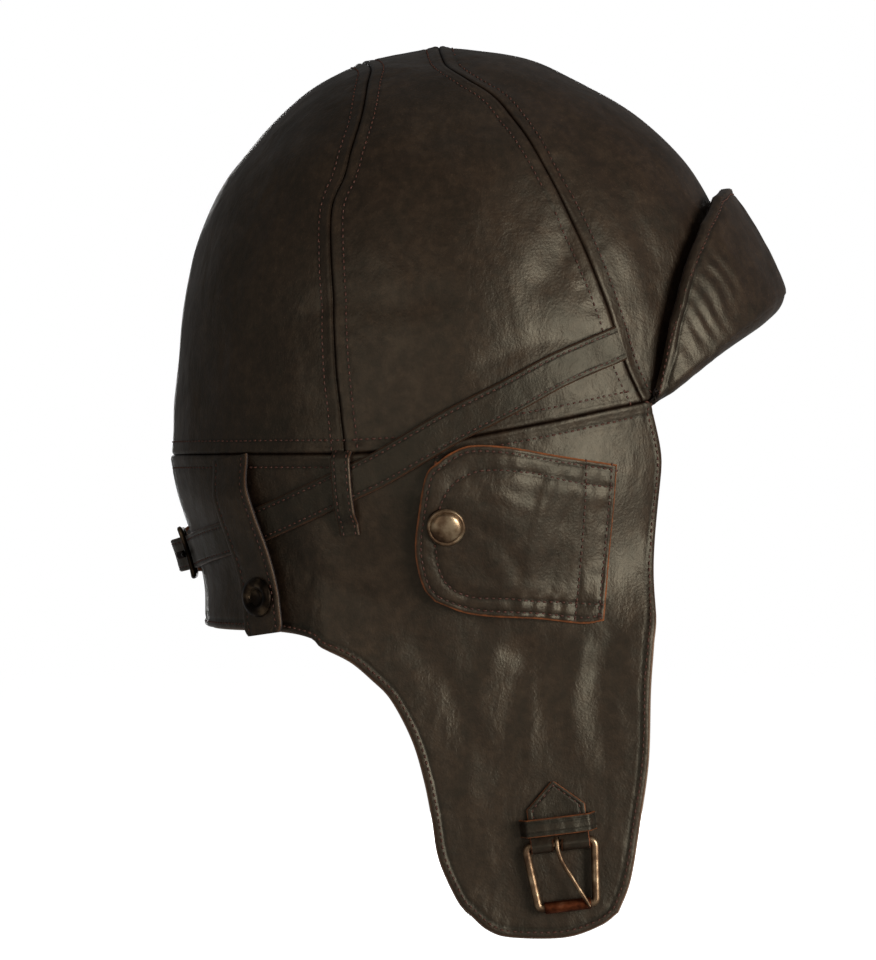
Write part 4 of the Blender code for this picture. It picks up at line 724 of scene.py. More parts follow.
def seam_form(gap, along):
    """Height beside a seam: turned in at the seam, raised to the stitch row, puckered by the stitches."""
    mm = gap * 1e3
    turned = -0.45 * np.clip(1.0 - mm / 0.6, 0.0, 1.0) ** 2 + 0.26 * np.exp(-(((mm - 1.5) / 0.9) ** 2))
    band = 0.22 * (1.0 - smooth_share(mm, 4.4, 6.8))
    groove = -0.30 * np.exp(-(((mm - 4.7) / 0.65) ** 2))
    pucker = 0.10 * np.sin(along * 1e3 * 2.0 * math.pi / 6.3 + 2.0 * np.sin(along * 90.0))
    pucker = pucker * np.exp(-(((mm - 5.6) / 2.6) ** 2))
    return (turned + band + groove + pucker) * 1e-3


def edge_form(gap, along, row):
    """Height beside a cut or turned edge with a stitch row at its distance."""
    mm = gap * 1e3
    rounded = -0.40 * np.clip(1.0 - mm / 0.9, 0.0, 1.0) ** 2
    groove = -0.28 * np.exp(-(((mm - row) / 0.6) ** 2))
    swell = 0.14 * np.exp(-(((mm - row / 2) / (row / 2.6)) ** 2))
    ripple = 0.07 * np.sin(along * 1e3 * 2.0 * math.pi / 6.0) * np.exp(-(((mm - row - 1.0) / 2.0) ** 2))
    return (rounded + groove + swell + ripple) * 1e-3


print("seam", np.round(seam_form(np.array([0.0, 0.0015, 0.0047]), 0.0) * 1e3, 2), "mm at 0, 1.5 and 4.7 mm")


# %% Plain meshes
def grid_faces(rows, columns, start=0):
    index = start + np.arange(rows * columns).reshape(rows, columns)
    quads = np.stack([index[:-1, :-1], index[:-1, 1:], index[1:, 1:], index[1:, :-1]], axis=-1)
    return quads.reshape(-1, 4)


def make_mesh(name, grids, outward):
    """One mesh from grids of points that share edges. Outward is a list of directions, one for each point."""
    vertices, faces, start = [], [], 0
    for grid in grids:
        rows, columns = grid.shape[:2]
        vertices.append(grid.reshape(-1, 3))
        faces.append(grid_faces(rows, columns, start))
        start += rows * columns
    vertices, faces = np.vstack(vertices), np.vstack(faces)
    outward = np.vstack([o.reshape(-1, 3) for o in outward])
    corners = vertices[faces]
    facing = np.cross(corners[:, 2] - corners[:, 0], corners[:, 3] - corners[:, 1])
    turned = (facing * outward[faces[:, 0]]).sum(-1) < 0.0
    faces[turned] = faces[turned][:, ::-1]
    mesh = bpy.data.meshes.new(name)
    mesh.from_pydata(vertices.tolist(), [], faces.tolist())
    return mesh


def set_attribute(mesh, name, values):
    """Gives every point of a mesh a measure, from arrays in the order of its points."""
    attribute = mesh.attributes.new(name, "FLOAT", "POINT")
    attribute.data.foreach_set("value", np.concatenate([v.reshape(-1) for v in values]).astype(np.float32))


def welded(mesh, distance, outwards=False):
    """Merges points that coincide, and turns a closed mesh's faces outwards."""
    shape = bmesh.new()
    shape.from_mesh(mesh)
    if distance:
        bmesh.ops.remove_doubles(shape, verts=shape.verts, dist=distance)
    if outwards:
        bmesh.ops.recalc_face_normals(shape, faces=shape.faces)
    shape.to_mesh(mesh)
    shape.free()


def apply_modifiers(obj):
    """Makes the object's modifiers real."""
    bpy.context.view_layer.update()
    result = bpy.data.meshes.new_from_object(obj.evaluated_get(bpy.context.evaluated_depsgraph_get()))
    obj.modifiers.clear()
    obj.data = result


def finish_piece(name, mesh, materials, wall, weld=1e-6):
    """Welds a skin, thickens it inwards and gives back one plain mesh object at the origin."""
    welded(mesh, weld)
    for material in materials:
        mesh.materials.append(material)
    obj = new_object(name, mesh)
    thick = obj.modifiers.new("wall", "SOLIDIFY")
    thick.thickness = wall
    thick.offset = -1.0
    thick.use_even_offset = False
    thick.use_rim = True
    thick.material_offset_rim = len(materials) - 1
    apply_modifiers(obj)
    obj.data.shade_smooth()
    obj.data.set_sharp_from_angle(angle=math.radians(50.0))
    return obj


print("mesh helpers ready, SOLIDIFY gives the wall")

# %% Panel
WALL, EDGE_ROW_MM, FAR = 0.0010, 2.9, 0.09


def panel(name, pieces, sewn=(), free=()):
    """Leather over the head form, from pairs of a surface and a grid on its pattern, with its sewn seams and
    its free edges as paths."""
    points, normals = [], []
    measures = {"row_mm": [], "seam_mm": [], "edge_mm": []}
    for surface, grid in pieces:
        base, normal = laid(surface, grid[..., 0], grid[..., 1])
        height = np.zeros(base.shape[:2])
        seam_gap, edge_gap, row_gap = (np.full(height.shape, FAR) for _ in range(3))
        for path in sewn:
            gap, along = path_distance(base, path)
            height += seam_form(gap, along)
            seam_gap = np.minimum(seam_gap, gap)
            row_gap = np.minimum(row_gap, np.abs(gap - SEAM_ROW))
        for path in free:
            gap, along = path_distance(base, path)
            height += edge_form(gap, along, EDGE_ROW_MM)
            edge_gap = np.minimum(edge_gap, gap)
            row_gap = np.minimum(row_gap, np.abs(gap - EDGE_ROW_MM * MM))
        streaks = base * (1.0, 1.0, 0.55) + base[..., 2:] * (0.35, 0.0, 0.0)
        fine = 0.00026 * noise(streaks, 0.0110, 5) + 0.00009 * noise(streaks, 0.0052, 6)
        height += fine * smooth_share(np.minimum(seam_gap, edge_gap), 0.0, 0.004)
        points.append(base + height[..., None] * normal)
        normals.append(normal)
        for key, gap in (("row_mm", row_gap), ("seam_mm", seam_gap), ("edge_mm", edge_gap)):
            measures[key].append(gap * 1e3)
    mesh = make_mesh(name, points, normals)
    for key, values in measures.items():
        set_attribute(mesh, key, values)
    return finish_piece(name, mesh, [LEATHER, DARK_EDGE], WALL)


print("leather", 1000 * WALL, "mm thick, a free edge's stitches", EDGE_ROW_MM, "mm in")

# %% [markdown]
# ## Where thread goes
# A sewing machine leaves a row of equal stitches beside each seam. A painted line would look flat, so each
# row is kept here as a path on the leather's finished surface, and real threads are laid along all rows at
# the end.

# %% Sewing rows
SEWING = {}


def surface_tree(obj):
    """A search tree of the piece's surface, for laying thread and fittings on it."""
    mesh = obj.data
    vertices = [tuple(v.co) for v in mesh.vertices]
    return BVHTree.FromPolygons(vertices, [tuple(p.vertices) for p in mesh.polygons])


def stitch_row(group, points, out):
    """Notes a row of stitches. All rows of a group move together."""
    SEWING.setdefault(group, []).append((np.asarray(points), np.asarray(out)))


def sew(group, trees, path, lift=0.00004):
    """Notes a row of stitches along a path, laid on the nearest of some pieces' outer faces."""
    placed, outward = [], []
    for point in path:
        found = [tree.find_nearest(Vector(point)) for tree in trees]
        place, normal, _, _ = min(found, key=lambda hit: hit[3])
        placed.append(np.array(place) + lift * np.array(normal))
        outward.append(np.array(normal))
    stitch_row(group, placed, outward)


def beside(surface, curve, distance):
    """A path beside a pattern curve at a distance over the surface, to its left seen from outside."""
    point, normal = laid(surface, curve[:, 0], curve[:, 1])
    return point + distance * np.cross(normal, unit(np.gradient(point, axis=0)))


print("rows noted so far", len(SEWING))

# %% [markdown]
# ## Crown
# Four panels make the dome: one in front, one behind and one on each side. They meet in two curved seams on
# each side and in a short one along the top. Each seam is drawn once, through points read from the
# photograph, and both of its panels end on that same curve, so no gap can open between them.

# %% Crown seams
MIRROR = {"right": -1, "left": 1}
REAR_SEAM_ANGLE, FRONT_SEAM_ANGLE = math.radians(112.6), math.radians(53.0)
REAR_SEAM = (
    (-0.357, 0.777), (-0.318, 0.647), (-0.281, 0.510), (-0.234, 0.447), (-0.183, 0.337),
    (-0.155, 0.225), (-0.140, 0.131), (-0.152, 0.0),
)
FRONT_SEAM = (
    (0.468, 0.710), (0.389, 0.663), (0.284, 0.585), (0.160, 0.459), (0.072, 0.320),
    (0.026, 0.257), (-0.002, 0.170), (-0.002, 0.0),
)


def seam_curve(base_angle, places, side):
    """A seam on the crown's pattern from the rim up to the top."""
    reach = crown_reach(rim_level(base_angle))
    base = (reach * math.cos(base_angle), reach * math.sin(base_angle))
    return drawn([base, *places], 361) * (1.0, side)


def rim_curve(start, end, count=241):
    """The rim between two angles on the crown's pattern."""
    turns = np.linspace(start, end, count)
    reach = crown_reach(rim_level(turns))
    return np.stack([reach * np.cos(turns), reach * np.sin(turns)], axis=1)


def on_crown(curve):
    return laid(crown, curve[:, 0], curve[:, 1])[0]


seams = {}
for side_name, side in MIRROR.items():
    seams["rear", side_name] = seam_curve(REAR_SEAM_ANGLE, REAR_SEAM, side)
    seams["front", side_name] = seam_curve(FRONT_SEAM_ANGLE, FRONT_SEAM, side)
top_seam = evenly([REAR_SEAM[-1], FRONT_SEAM[-1]], 121)
RIM = evenly(rim_curve(-math.pi, math.pi, 721), 721)
paths = {key: on_crown(curve) for key, curve in seams.items()}
paths["top"] = on_crown(top_seam)
paths["rim"] = on_crown(RIM)
print("seams in mm", {str(key): round(1000 * run_along(path)[-1]) for key, path in paths.items()})

# %% Crown panels
# The first points of a seam run up the side of the front or rear panel, and the rest along its top.
SIDE_POINTS = 241
PANEL_WIDTH, PANEL_HEIGHT, END_WIDTH, END_HEIGHT = 0.085, 0.165, 0.150, 0.115
crown_pieces = {}
for side_name, side in MIRROR.items():
    bottom = rim_curve(side * REAR_SEAM_ANGLE, side * FRONT_SEAM_ANGLE)
    rear, front = seams["rear", side_name], seams["front", side_name]
    grid = patch(bottom, top_seam, rear, front, edge_shares(PANEL_WIDTH), edge_shares(PANEL_HEIGHT))
    around = [paths["rear", side_name], paths["front", side_name], paths["top"], paths["rim"]]
    crown_pieces[side_name] = panel(f"leather_crown_{side_name}", [(crown, grid)], around)
for name, start, end in (
    ("front", -FRONT_SEAM_ANGLE, FRONT_SEAM_ANGLE), ("rear", 2 * math.pi - REAR_SEAM_ANGLE, REAR_SEAM_ANGLE),
):
    right, left = seams[name, "right"], seams[name, "left"]
    top = np.vstack([right[SIDE_POINTS - 1 :], left[SIDE_POINTS - 1 : -1][::-1]])
    u, v = edge_shares(END_WIDTH), edge_shares(END_HEIGHT)
    grid = patch(rim_curve(start, end), top, right[:SIDE_POINTS], left[:SIDE_POINTS], u, v)
    around = [paths[name, "right"], paths[name, "left"], paths["rim"]]
    crown_pieces[name] = panel(f"leather_crown_{name}", [(crown, grid)], around)
for name, piece in crown_pieces.items():
    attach(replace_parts(piece, f"crown_{name}"), "helmet")
crown_trees = {name: surface_tree(piece) for name, piece in crown_pieces.items()}
for side_name in MIRROR:
    for name in ("rear", "front"):
        for distance in (SEAM_ROW, -SEAM_ROW):
            row = beside(crown, seams[name, side_name][4:-12], distance)
            sew("helmet", [crown_trees[side_name], crown_trees[name]], row)
print("crown", {name: len(piece.data.polygons) for name, piece in crown_pieces.items()})

# %% [markdown]
# ## Curtain and ear flaps
# On each side one piece of leather runs from the nape past the ear and on down into the flap. Two stiff
# pieces with a hinge would tear apart when the flap is turned up. So it is one mesh, over the helmet above
# the flap's fold and over the flap below it.

# %% Outline of the curtain and the flap
FOLD_LEVEL, NAPE_FOOT, FOLD_START = -0.0670, -0.062, -0.0640
FRONT_X, FRONT_SWELL = 0.0668, 0.0035
FRONT_SHAPE = ((0.0, 0.0), (0.19, 0.31), (0.59, 0.8), (0.80, 1.0), (1.0, -0.22))
FLAP_REAR_X, FLAP_WIDTH, FLAP_DEPTH = -0.050, 0.1168, 0.1011
FLAP_REAR = (
    (0.0, 0.0), (0.092, 0.046), (0.166, 0.116), (0.223, 0.185), (0.285, 0.322), (0.321, 0.460),
    (0.345, 0.597), (0.366, 0.736), (0.420, 0.874), (0.455, 0.920),
)
FLAP_BOTTOM = ((0.455, 0.920), (0.510, 0.975), (0.580, 1.0), (0.738, 1.0), (0.842, 0.960), (0.895, 0.915))
FLAP_FRONT = ((1.0, 0.0), (0.991, 0.150), (0.985, 0.391), (0.961, 0.597), (0.931, 0.804), (0.895, 0.915))


def front_edge():
    """Front edge of the curtain, from the fold up to the temple."""
    rows = []
    for height, swell in FRONT_SHAPE:
        level = FOLD_LEVEL + height * (TEMPLE_LEVEL - FOLD_LEVEL)
        rows.append((float(angle_at(FRONT_X + swell * FRONT_SWELL, level)), level))
    return drawn(rows)


def lower_edge(count):
    """Lower edge of the curtain, from the nape to the flap's fold."""
    fold_angle = float(angle_at(FLAP_REAR_X, FOLD_LEVEL))
    nape = [(math.pi, NAPE_FOOT), (2.75, NAPE_FOOT), (2.36, NAPE_FOOT)]
    return drawn([*nape, (fold_angle + 0.05, FOLD_START), (fold_angle, FOLD_LEVEL)], count)


def flap_curve(places):
    """Curve in forward distance and level from shares of the flap's width and depth."""
    return drawn([(FLAP_REAR_X + x * FLAP_WIDTH, FOLD_LEVEL - down * FLAP_DEPTH) for x, down in places])


def free_outline():
    """Angle and level along the whole free edge, from the nape round the flap and up to the temple."""
    loop = np.vstack([flap_curve(FLAP_REAR), flap_curve(FLAP_BOTTOM)[1:], flap_curve(FLAP_FRONT)[::-1][1:]])
    loop = np.stack([angle_at(loop[:, 0], loop[:, 1]), loop[:, 1]], axis=1)
    return np.vstack([lower_edge(160), loop[1:], front_edge()[1:]])


outline = free_outline()
print("free edge", round(1000 * run_along(head(outline[:, 0], outline[:, 1]))[-1]), "mm on each side")


# %% Grids of the curtain and the flap
CURTAIN_HEIGHT, FLAP_LENGTH, LOWER_POINTS = 0.066, 0.100, 56


def curtain_pattern(fold_x):
    """Grid in angle and level between the free edge below and the crown's rim."""
    front, lower = front_edge(), lower_edge(LOWER_POINTS)
    fold = np.stack([angle_at(fold_x, FOLD_LEVEL), np.full(len(fold_x), FOLD_LEVEL)], axis=1)
    bottom = np.vstack([lower[:-1], fold])
    u, v = np.linspace(0.0, 1.0, len(bottom)), edge_shares(CURTAIN_HEIGHT)
    corner = (LOWER_POINTS - 1) / (len(bottom) - 1)
    turns = np.interp(u, [0.0, corner, 1.0], [math.pi, lower[-1, 0], float(front[-1, 0])])
    top = np.stack([turns, rim_level(turns)], axis=1)
    top[-1] = front[-1]
    return between(bottom, top, evenly([bottom[0], top[0]], v), evenly(front, v), u, v)


def flap_pattern(fold_x):
    """Grid in angle and level from the fold down to the flap's foot."""
    rear, front, foot = flap_curve(FLAP_REAR), flap_curve(FLAP_FRONT), flap_curve(FLAP_BOTTOM)
    across = (fold_x - fold_x[0]) / (fold_x[-1] - fold_x[0])
    fold = np.stack([fold_x, np.full(len(fold_x), FOLD_LEVEL)], axis=1)
    flap = patch(fold, foot, rear, front, across, edge_shares(FLAP_LENGTH))
    flap[..., 0] = angle_at(flap[..., 0], flap[..., 1])
    return flap


fold_x = FLAP_REAR_X + edge_shares(FLAP_WIDTH) * FLAP_WIDTH
curtain_grid, flap_grid = curtain_pattern(fold_x), flap_pattern(fold_x)
print("curtain grid", curtain_grid.shape[:2], "flap grid", flap_grid.shape[:2])

# %% Curtain and ear flaps
skins, flap_trees = {}, {}


def flap_blend(piece):
    """Bakes the piece's transform into its mesh, which then stands at the origin."""
    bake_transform(piece)


nape_seam = laid(head, np.full(60, math.pi), np.linspace(NAPE_FOOT, 0.0, 60))[0]
for side_name, side in MIRROR.items():
    mirrored = np.array((side, 1.0))
    edge = laid(head, outline[:, 0] * side, outline[:, 1])[0]
    pieces = [(head, curtain_grid * mirrored), (head, flap_grid * mirrored)]
    skin = panel(f"leather_curtain_{side_name}", pieces, [paths["rim"], nape_seam], [edge])
    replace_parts(skin, f"curtain_{side_name}", f"ear_flap_{side_name}")
    skins[side_name], flap_trees[side_name] = skin, surface_tree(skin)
    edge = evenly(edge, 420)
    normal = np.array([flap_trees[side_name].find_nearest(Vector(p))[1] for p in edge])
    row = edge - side * EDGE_ROW_MM * MM * np.cross(normal, unit(np.gradient(edge, axis=0)))
    sew(f"flap_{side_name}", [flap_trees[side_name]], row)
    flap_blend(skin)
print("curtain and flap faces", {side_name: len(skin.data.polygons) for side_name, skin in skins.items()})

# %% Stitches along the crown's rim
RIM_START = math.radians(56.0)
rim_turns = np.linspace(RIM_START, 2 * math.pi - RIM_START, 600)
rim_pattern = np.stack([rim_turns, rim_level(rim_turns)], axis=1)
for distance in (SEAM_ROW, -SEAM_ROW):
    row = beside(head, rim_pattern, distance)
    sew("helmet", [*crown_trees.values(), *flap_trees.values()], row)
print("rows on the helmet so far", len(SEWING["helmet"]))

# %% [markdown]
# ## Linings
# Suede is sewn in behind the leather, a little short of its edge. The same grids serve again, laid 2.1 mm
# further in, so the lining follows every hollow of the leather and never shows through it.

# %% Linings
LINING_IN, LINING_WALL, LINING_SHORT, LINING_ROWS, LINING_TURNS = -0.0021, 0.0010, 0.0009, 48, 181
LINING_TUCK, LINING_TUCK_WIDTH = 0.00055, 0.0016


def lining_crown():
    """One cap of suede inside the crown, round rings that close at the top."""
    grid = np.zeros((LINING_ROWS, LINING_TURNS, 2))
    shares = np.linspace(0.002, 1.0, LINING_ROWS)
    for i, turn in enumerate(np.linspace(-math.pi, math.pi, LINING_TURNS)):
        edge = float(crown_reach(rim_level(turn) + LINING_SHORT))
        grid[:, i] = np.stack([shares * edge * math.cos(turn), shares * edge * math.sin(turn)], axis=1)
    base, normal = laid(crown, grid[..., 0], grid[..., 1], LINING_IN)
    mesh = make_mesh("suede_crown_lining", [base], [normal])
    return finish_piece("suede_crown_lining", mesh, [SUEDE], LINING_WALL, weld=LINING_SHORT)


crown_lining = lining_crown()
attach(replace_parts(crown_lining, "crown_lining"), "helmet")
for side_name, side in MIRROR.items():
    edge = laid(head, outline[:, 0] * side, outline[:, 1], LINING_IN)[0]
    points, normals = [], []
    for grid in (curtain_grid, flap_grid):
        base, normal = laid(head, grid[..., 0] * side, grid[..., 1], LINING_IN)
        gap, _ = path_distance(base, edge)
        tuck = LINING_TUCK * np.clip(1.0 - gap / LINING_TUCK_WIDTH, 0.0, 1.0) ** 2
        points.append(base + tuck[..., None] * normal)
        normals.append(normal)
    mesh = make_mesh(f"suede_lining_{side_name}", points, normals)
    lining = finish_piece(f"suede_lining_{side_name}", mesh, [SUEDE], LINING_WALL)
    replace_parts(lining, f"curtain_lining_{side_name}", f"ear_flap_lining_{side_name}")
    flap_blend(lining)
print("lining faces", len(crown_lining.data.polygons), len(lining.data.polygons))

# %% [markdown]
# ## Straps
# A strap is cut from thick leather with a knife and stitched along both edges. A curve object with a flat
# profile would twist where the strap bends two ways at once, so the strap is swept here from its middle line
# and the directions across it and out of it. Its section has a finished face with a groove for each row of
# stitches, cut sides and a plain back.

# %% Section of a strap
SIDE_STEPS = np.array([0.0, 0.12, 0.3, 0.6, 1.0, 1.45, 1.8, 2.1, 2.5, 3.1, 4.2, 6.0, 9.0]) * 1e-3
BACK_POINTS, KEEP_APART = 5, 3e-6


def strip_section(widest, wall, row, groove):
    """A strap's section from side to side over the face and back along the back: each point's distance from
    the edge, its side, its height, and the least distance from the middle that keeps it apart."""
    steps = SIDE_STEPS[SIDE_STEPS < widest - 0.0002]
    depth = steps - row
    face = wall - 0.30 * wall * np.clip(1.0 - steps / 0.0006, 0.0, 1.0) ** 2
    face = face - groove * np.exp(-((depth / 0.00038) ** 2)) + 0.00010 * np.exp(-((depth / 0.0014) ** 2))
    inset = np.concatenate([steps, [widest], steps[::-1], [0.0, 0.00028, widest, 0.00028, 0.0]])
    sign = np.concatenate([-np.ones(len(steps)), [0.0], np.ones(len(steps)), [1.0, 1.0, 0.0, -1.0, -1.0]])
    height = np.concatenate([face, [wall - 0.00002], face[::-1], [0.28 * wall, 0.0, 0.0, 0.0, 0.28 * wall]])
    least = KEEP_APART * np.arange(len(steps), 0.0, -1.0)
    return inset, sign, height, np.concatenate([least, [0.0], least[::-1], np.zeros(BACK_POINTS)])


def ring_faces(rows, columns, looped=False, capped=False):
    """Quads between rings of points. Looped joins the last ring to the first, capped closes both ends."""
    index = np.arange(rows * columns).reshape(rows, columns)
    ahead = np.roll(index, -1, axis=1)
    quads = np.stack([index, ahead, np.roll(ahead, -1, axis=0), np.roll(index, -1, axis=0)], axis=-1)
    faces = [tuple(quad) for quad in (quads if looped else quads[:-1]).reshape(-1, 4).tolist()]
    if capped:
        faces += [tuple(index[0][::-1].tolist()), tuple(index[-1].tolist())]
    return faces


print("points across a 12 mm strap", len(strip_section(0.006, 0.0018, 0.0016, 0.00026)[0]))


# %% Strap
def strip(name, centres, across, out, halves, wall, materials, row, bend=None, groove=0.00026):
    """A strap from its back's middle line. Bend is how much the face curves across, in 1 / metres."""
    centres, across, out = (np.asarray(v, float) for v in (centres, across, out))
    halves = np.broadcast_to(np.asarray(halves, float), (len(centres),))
    bend = np.zeros(len(centres)) if bend is None else bend
    inset, sign, height, least = strip_section(halves.max(), wall, row, groove)
    face = height > 0.5 * wall
    a = sign[None] * np.maximum(halves[:, None] - inset[None], least[None])
    ripple = 0.00007 * np.sin(run_along(centres) * 2.0 * math.pi / 0.0052)[:, None] * face
    swell = np.exp(-(((inset[None] - row - 0.0008) / 0.0012) ** 2))
    h = height[None] + ripple * swell - bend[:, None] * a**2 / 2
    grid = centres[:, None] + across[:, None] * a[..., None] + out[:, None] * h[..., None]
    grid = grid + 0.00010 * noise(grid, 0.006, 11)[..., None] * out[:, None] * face[None, :, None]
    rows, columns = grid.shape[:2]
    mesh = bpy.data.meshes.new(name)
    mesh.from_pydata(grid.reshape(-1, 3).tolist(), [], ring_faces(rows, columns, capped=True))
    shows = 1.0 if RAW_EDGE in materials else 0.0
    for key, values in (
        ("edge_mm", np.where(face, inset, 0.009) * 1e3),
        ("row_mm", np.where(face, np.abs(inset - row), 0.009) * 1e3),
        ("seam_mm", np.full(columns, 9.0)),
        ("raw", shows * np.where(face, np.clip(1.2 - inset / 0.0005, 0.0, 1.0), 0.0)),
    ):
        set_attribute(mesh, key, [np.broadcast_to(values, a.shape)])
    # The cut sides take the second material, the face and the back the first.
    marks = np.zeros((rows - 1, columns), int)
    marks[:, -BACK_POINTS - 1 :] = 1
    marks[:, [-4, -3]] = 0
    for material in materials:
        mesh.materials.append(material)
    mesh.polygons.foreach_set("material_index", np.concatenate([marks.reshape(-1), [1, 1]]).astype(np.int32))
    welded(mesh, 1e-6, outwards=True)
    mesh.shade_smooth()
    mesh.set_sharp_from_angle(angle=math.radians(50.0))
    return new_object(name, mesh)


def strip_rows(centres, across, out, halves, wall, inset, bend=None, start=0, end=None):
    """Where the stitches run along both edges of a strap, with the directions out of it."""
    halves = np.broadcast_to(np.asarray(halves, float), (len(centres),))
    bend = np.zeros(len(centres)) if bend is None else bend
    lines = []
    for sign in (-1.0, 1.0):
        a = sign * np.maximum(halves - inset, 0.0)
        height = wall - 0.00018 - bend * a**2 / 2
        points = centres + across * a[:, None] + out * height[:, None]
        lines.append((points[start:end], out[start:end]))
    return lines


print("a strap's cut sides are", RAW_EDGE.name, "or", DARK_EDGE.name)


# %% Straps over the head form
def pattern_of(points):
    """Angle and level of the head form under points close to it."""
    level = points[..., 2]
    forward = (points[..., 0] - centre_x(level)) / half_length(level)
    beside_ear = np.copysign(np.arccos(np.clip(forward, -1.0, 1.0)), points[..., 1])
    behind = np.arctan2(points[..., 1] / half_width(level), forward)
    return np.where(points[..., 0] > FLAT_REAR, beside_ear, behind), level


def frames_on_head(path, lifts, half=0.006):
    """Middle line of a strap over the head form by angles and levels, and how it curves across."""
    centres, out = laid(head, path[:, 0], path[:, 1], lifts)
    bare = head(path[:, 0], path[:, 1])
    across = unit(np.cross(out, np.gradient(bare, axis=0)))
    drop = 0.0
    for sign in (-1.0, 1.0):
        beside_it = laid(head, *pattern_of(bare + sign * half * across), lifts)[0]
        drop = drop - ((beside_it - centres) * out).sum(-1) / half**2
    return centres, across, out, drop


def square_to(middle, across):
    """Directions square to a strap's middle line and to its width."""
    return unit(np.cross(np.gradient(middle, axis=0), across))


print("pattern place of a point at the ear", np.round(pattern_of(head(1.7, -0.02)), 3))

# %% [markdown]
# ## Ear covers
# A cover keeps the wind out of the ear and is unsnapped to hear. It is one piece of leather with a raw edge.
# A row of stitches holds its front strip down, another runs round like a U, and the leather swells between
# the rows and dimples round the snap. It is a grid like the panels, lifted off the flap towards the snap.

# %% Ear cover outline
COVER_FRONT_X, COVER_LENGTH, COVER_TOP, COVER_HEIGHT = 0.0535, 0.0690, 0.0035, 0.0625
COVER_EDGES = {
    "top": ((0.0, 0.115), (0.32, 0.062), (0.56, 0.018), (0.73, 0.012), (0.83, 0.055), (0.885, 0.10)),
    "rear": ((0.885, 0.10), (0.945, 0.17), (0.985, 0.39), (1.0, 0.58), (0.965, 0.77), (0.905, 0.86)),
    "bottom": ((0.055, 0.985), (0.17, 1.0), (0.42, 0.965), (0.72, 0.937), (0.905, 0.86)),
    "front": ((0.0, 0.115), (0.025, 0.55), (0.055, 0.985)),
}
COVER_U = (
    (0.03, 0.240), (0.20, 0.215), (0.42, 0.165), (0.60, 0.145), (0.735, 0.165), (0.845, 0.26), (0.895, 0.42),
    (0.895, 0.62), (0.84, 0.765), (0.72, 0.835), (0.56, 0.845), (0.36, 0.870), (0.20, 0.885), (0.065, 0.895),
)
COVER_FOLDS = (
    (((0.34, 0.20), (0.40, 0.40), (0.44, 0.62), (0.46, 0.86)), 2.6, 0.55),
    (((0.22, 0.30), (0.30, 0.52), (0.33, 0.80)), 2.2, -0.40),
    (((0.80, 0.42), (0.66, 0.46), (0.52, 0.62), (0.44, 0.84)), 2.8, -0.35),
    (((0.78, 0.30), (0.62, 0.27), (0.46, 0.34)), 2.4, 0.35),
    (((0.24, 0.88), (0.25, 0.97)), 1.3, 0.35), (((0.31, 0.86), (0.32, 0.97)), 1.3, 0.35),
    (((0.39, 0.86), (0.40, 0.96)), 1.4, 0.35), (((0.28, 0.87), (0.285, 0.97)), 1.0, -0.30),
    (((0.35, 0.86), (0.36, 0.97)), 1.0, -0.30), (((0.47, 0.85), (0.475, 0.95)), 1.4, 0.25),
)
COVER_FRONT_ROW = ((0.155, 0.095), (0.172, 0.55), (0.202, 0.975))
EAR_SNAP_X, EAR_SNAP_LEVEL = -0.0050, -0.0238
COVER_STAND, LEATHER_WALL, LAY_GAP, COVER_ROW_MM, COVER_WALL = 0.0031, 0.0014, 0.0004, 2.1, 0.00125


def cover_curve(shares, count=200):
    """Curve in forward distance and level from shares of the cover's length and height."""
    places = [(COVER_FRONT_X - x * COVER_LENGTH, COVER_TOP - down * COVER_HEIGHT) for x, down in shares]
    return drawn(places, count)


def cover_lift(x):
    """How far the cover stands off the leather: it lies close in front and rises to the snap."""
    return LAY_GAP + COVER_STAND * smooth_share((COVER_FRONT_X - x) / COVER_LENGTH, 0.162, 0.6)


def on_cover(side, pattern):
    """Points on a cover's outer face by forward distance and level."""
    x, level = pattern[..., 0], pattern[..., 1]
    return laid(head, side * angle_at(x, level), level, cover_lift(x) + LEATHER_WALL)


cover_edge = {name: cover_curve(shares) for name, shares in COVER_EDGES.items()}
cover_outline = np.vstack([
    cover_edge["top"], cover_edge["rear"][1:], cover_edge["bottom"][::-1][1:], cover_edge["front"][::-1][1:],
])
print("round the cover", round(1000 * run_along(cover_outline)[-1]), "mm")

# %% Ear cover shape
COVER_STEP = 0.0009
DIMPLE_RADIUS, DIMPLE_WIDTH, SNAP_CALM = 0.0068, 0.0016, 0.0105
U_WAVE, U_WAVE_LENGTH = 0.00010, 0.0068


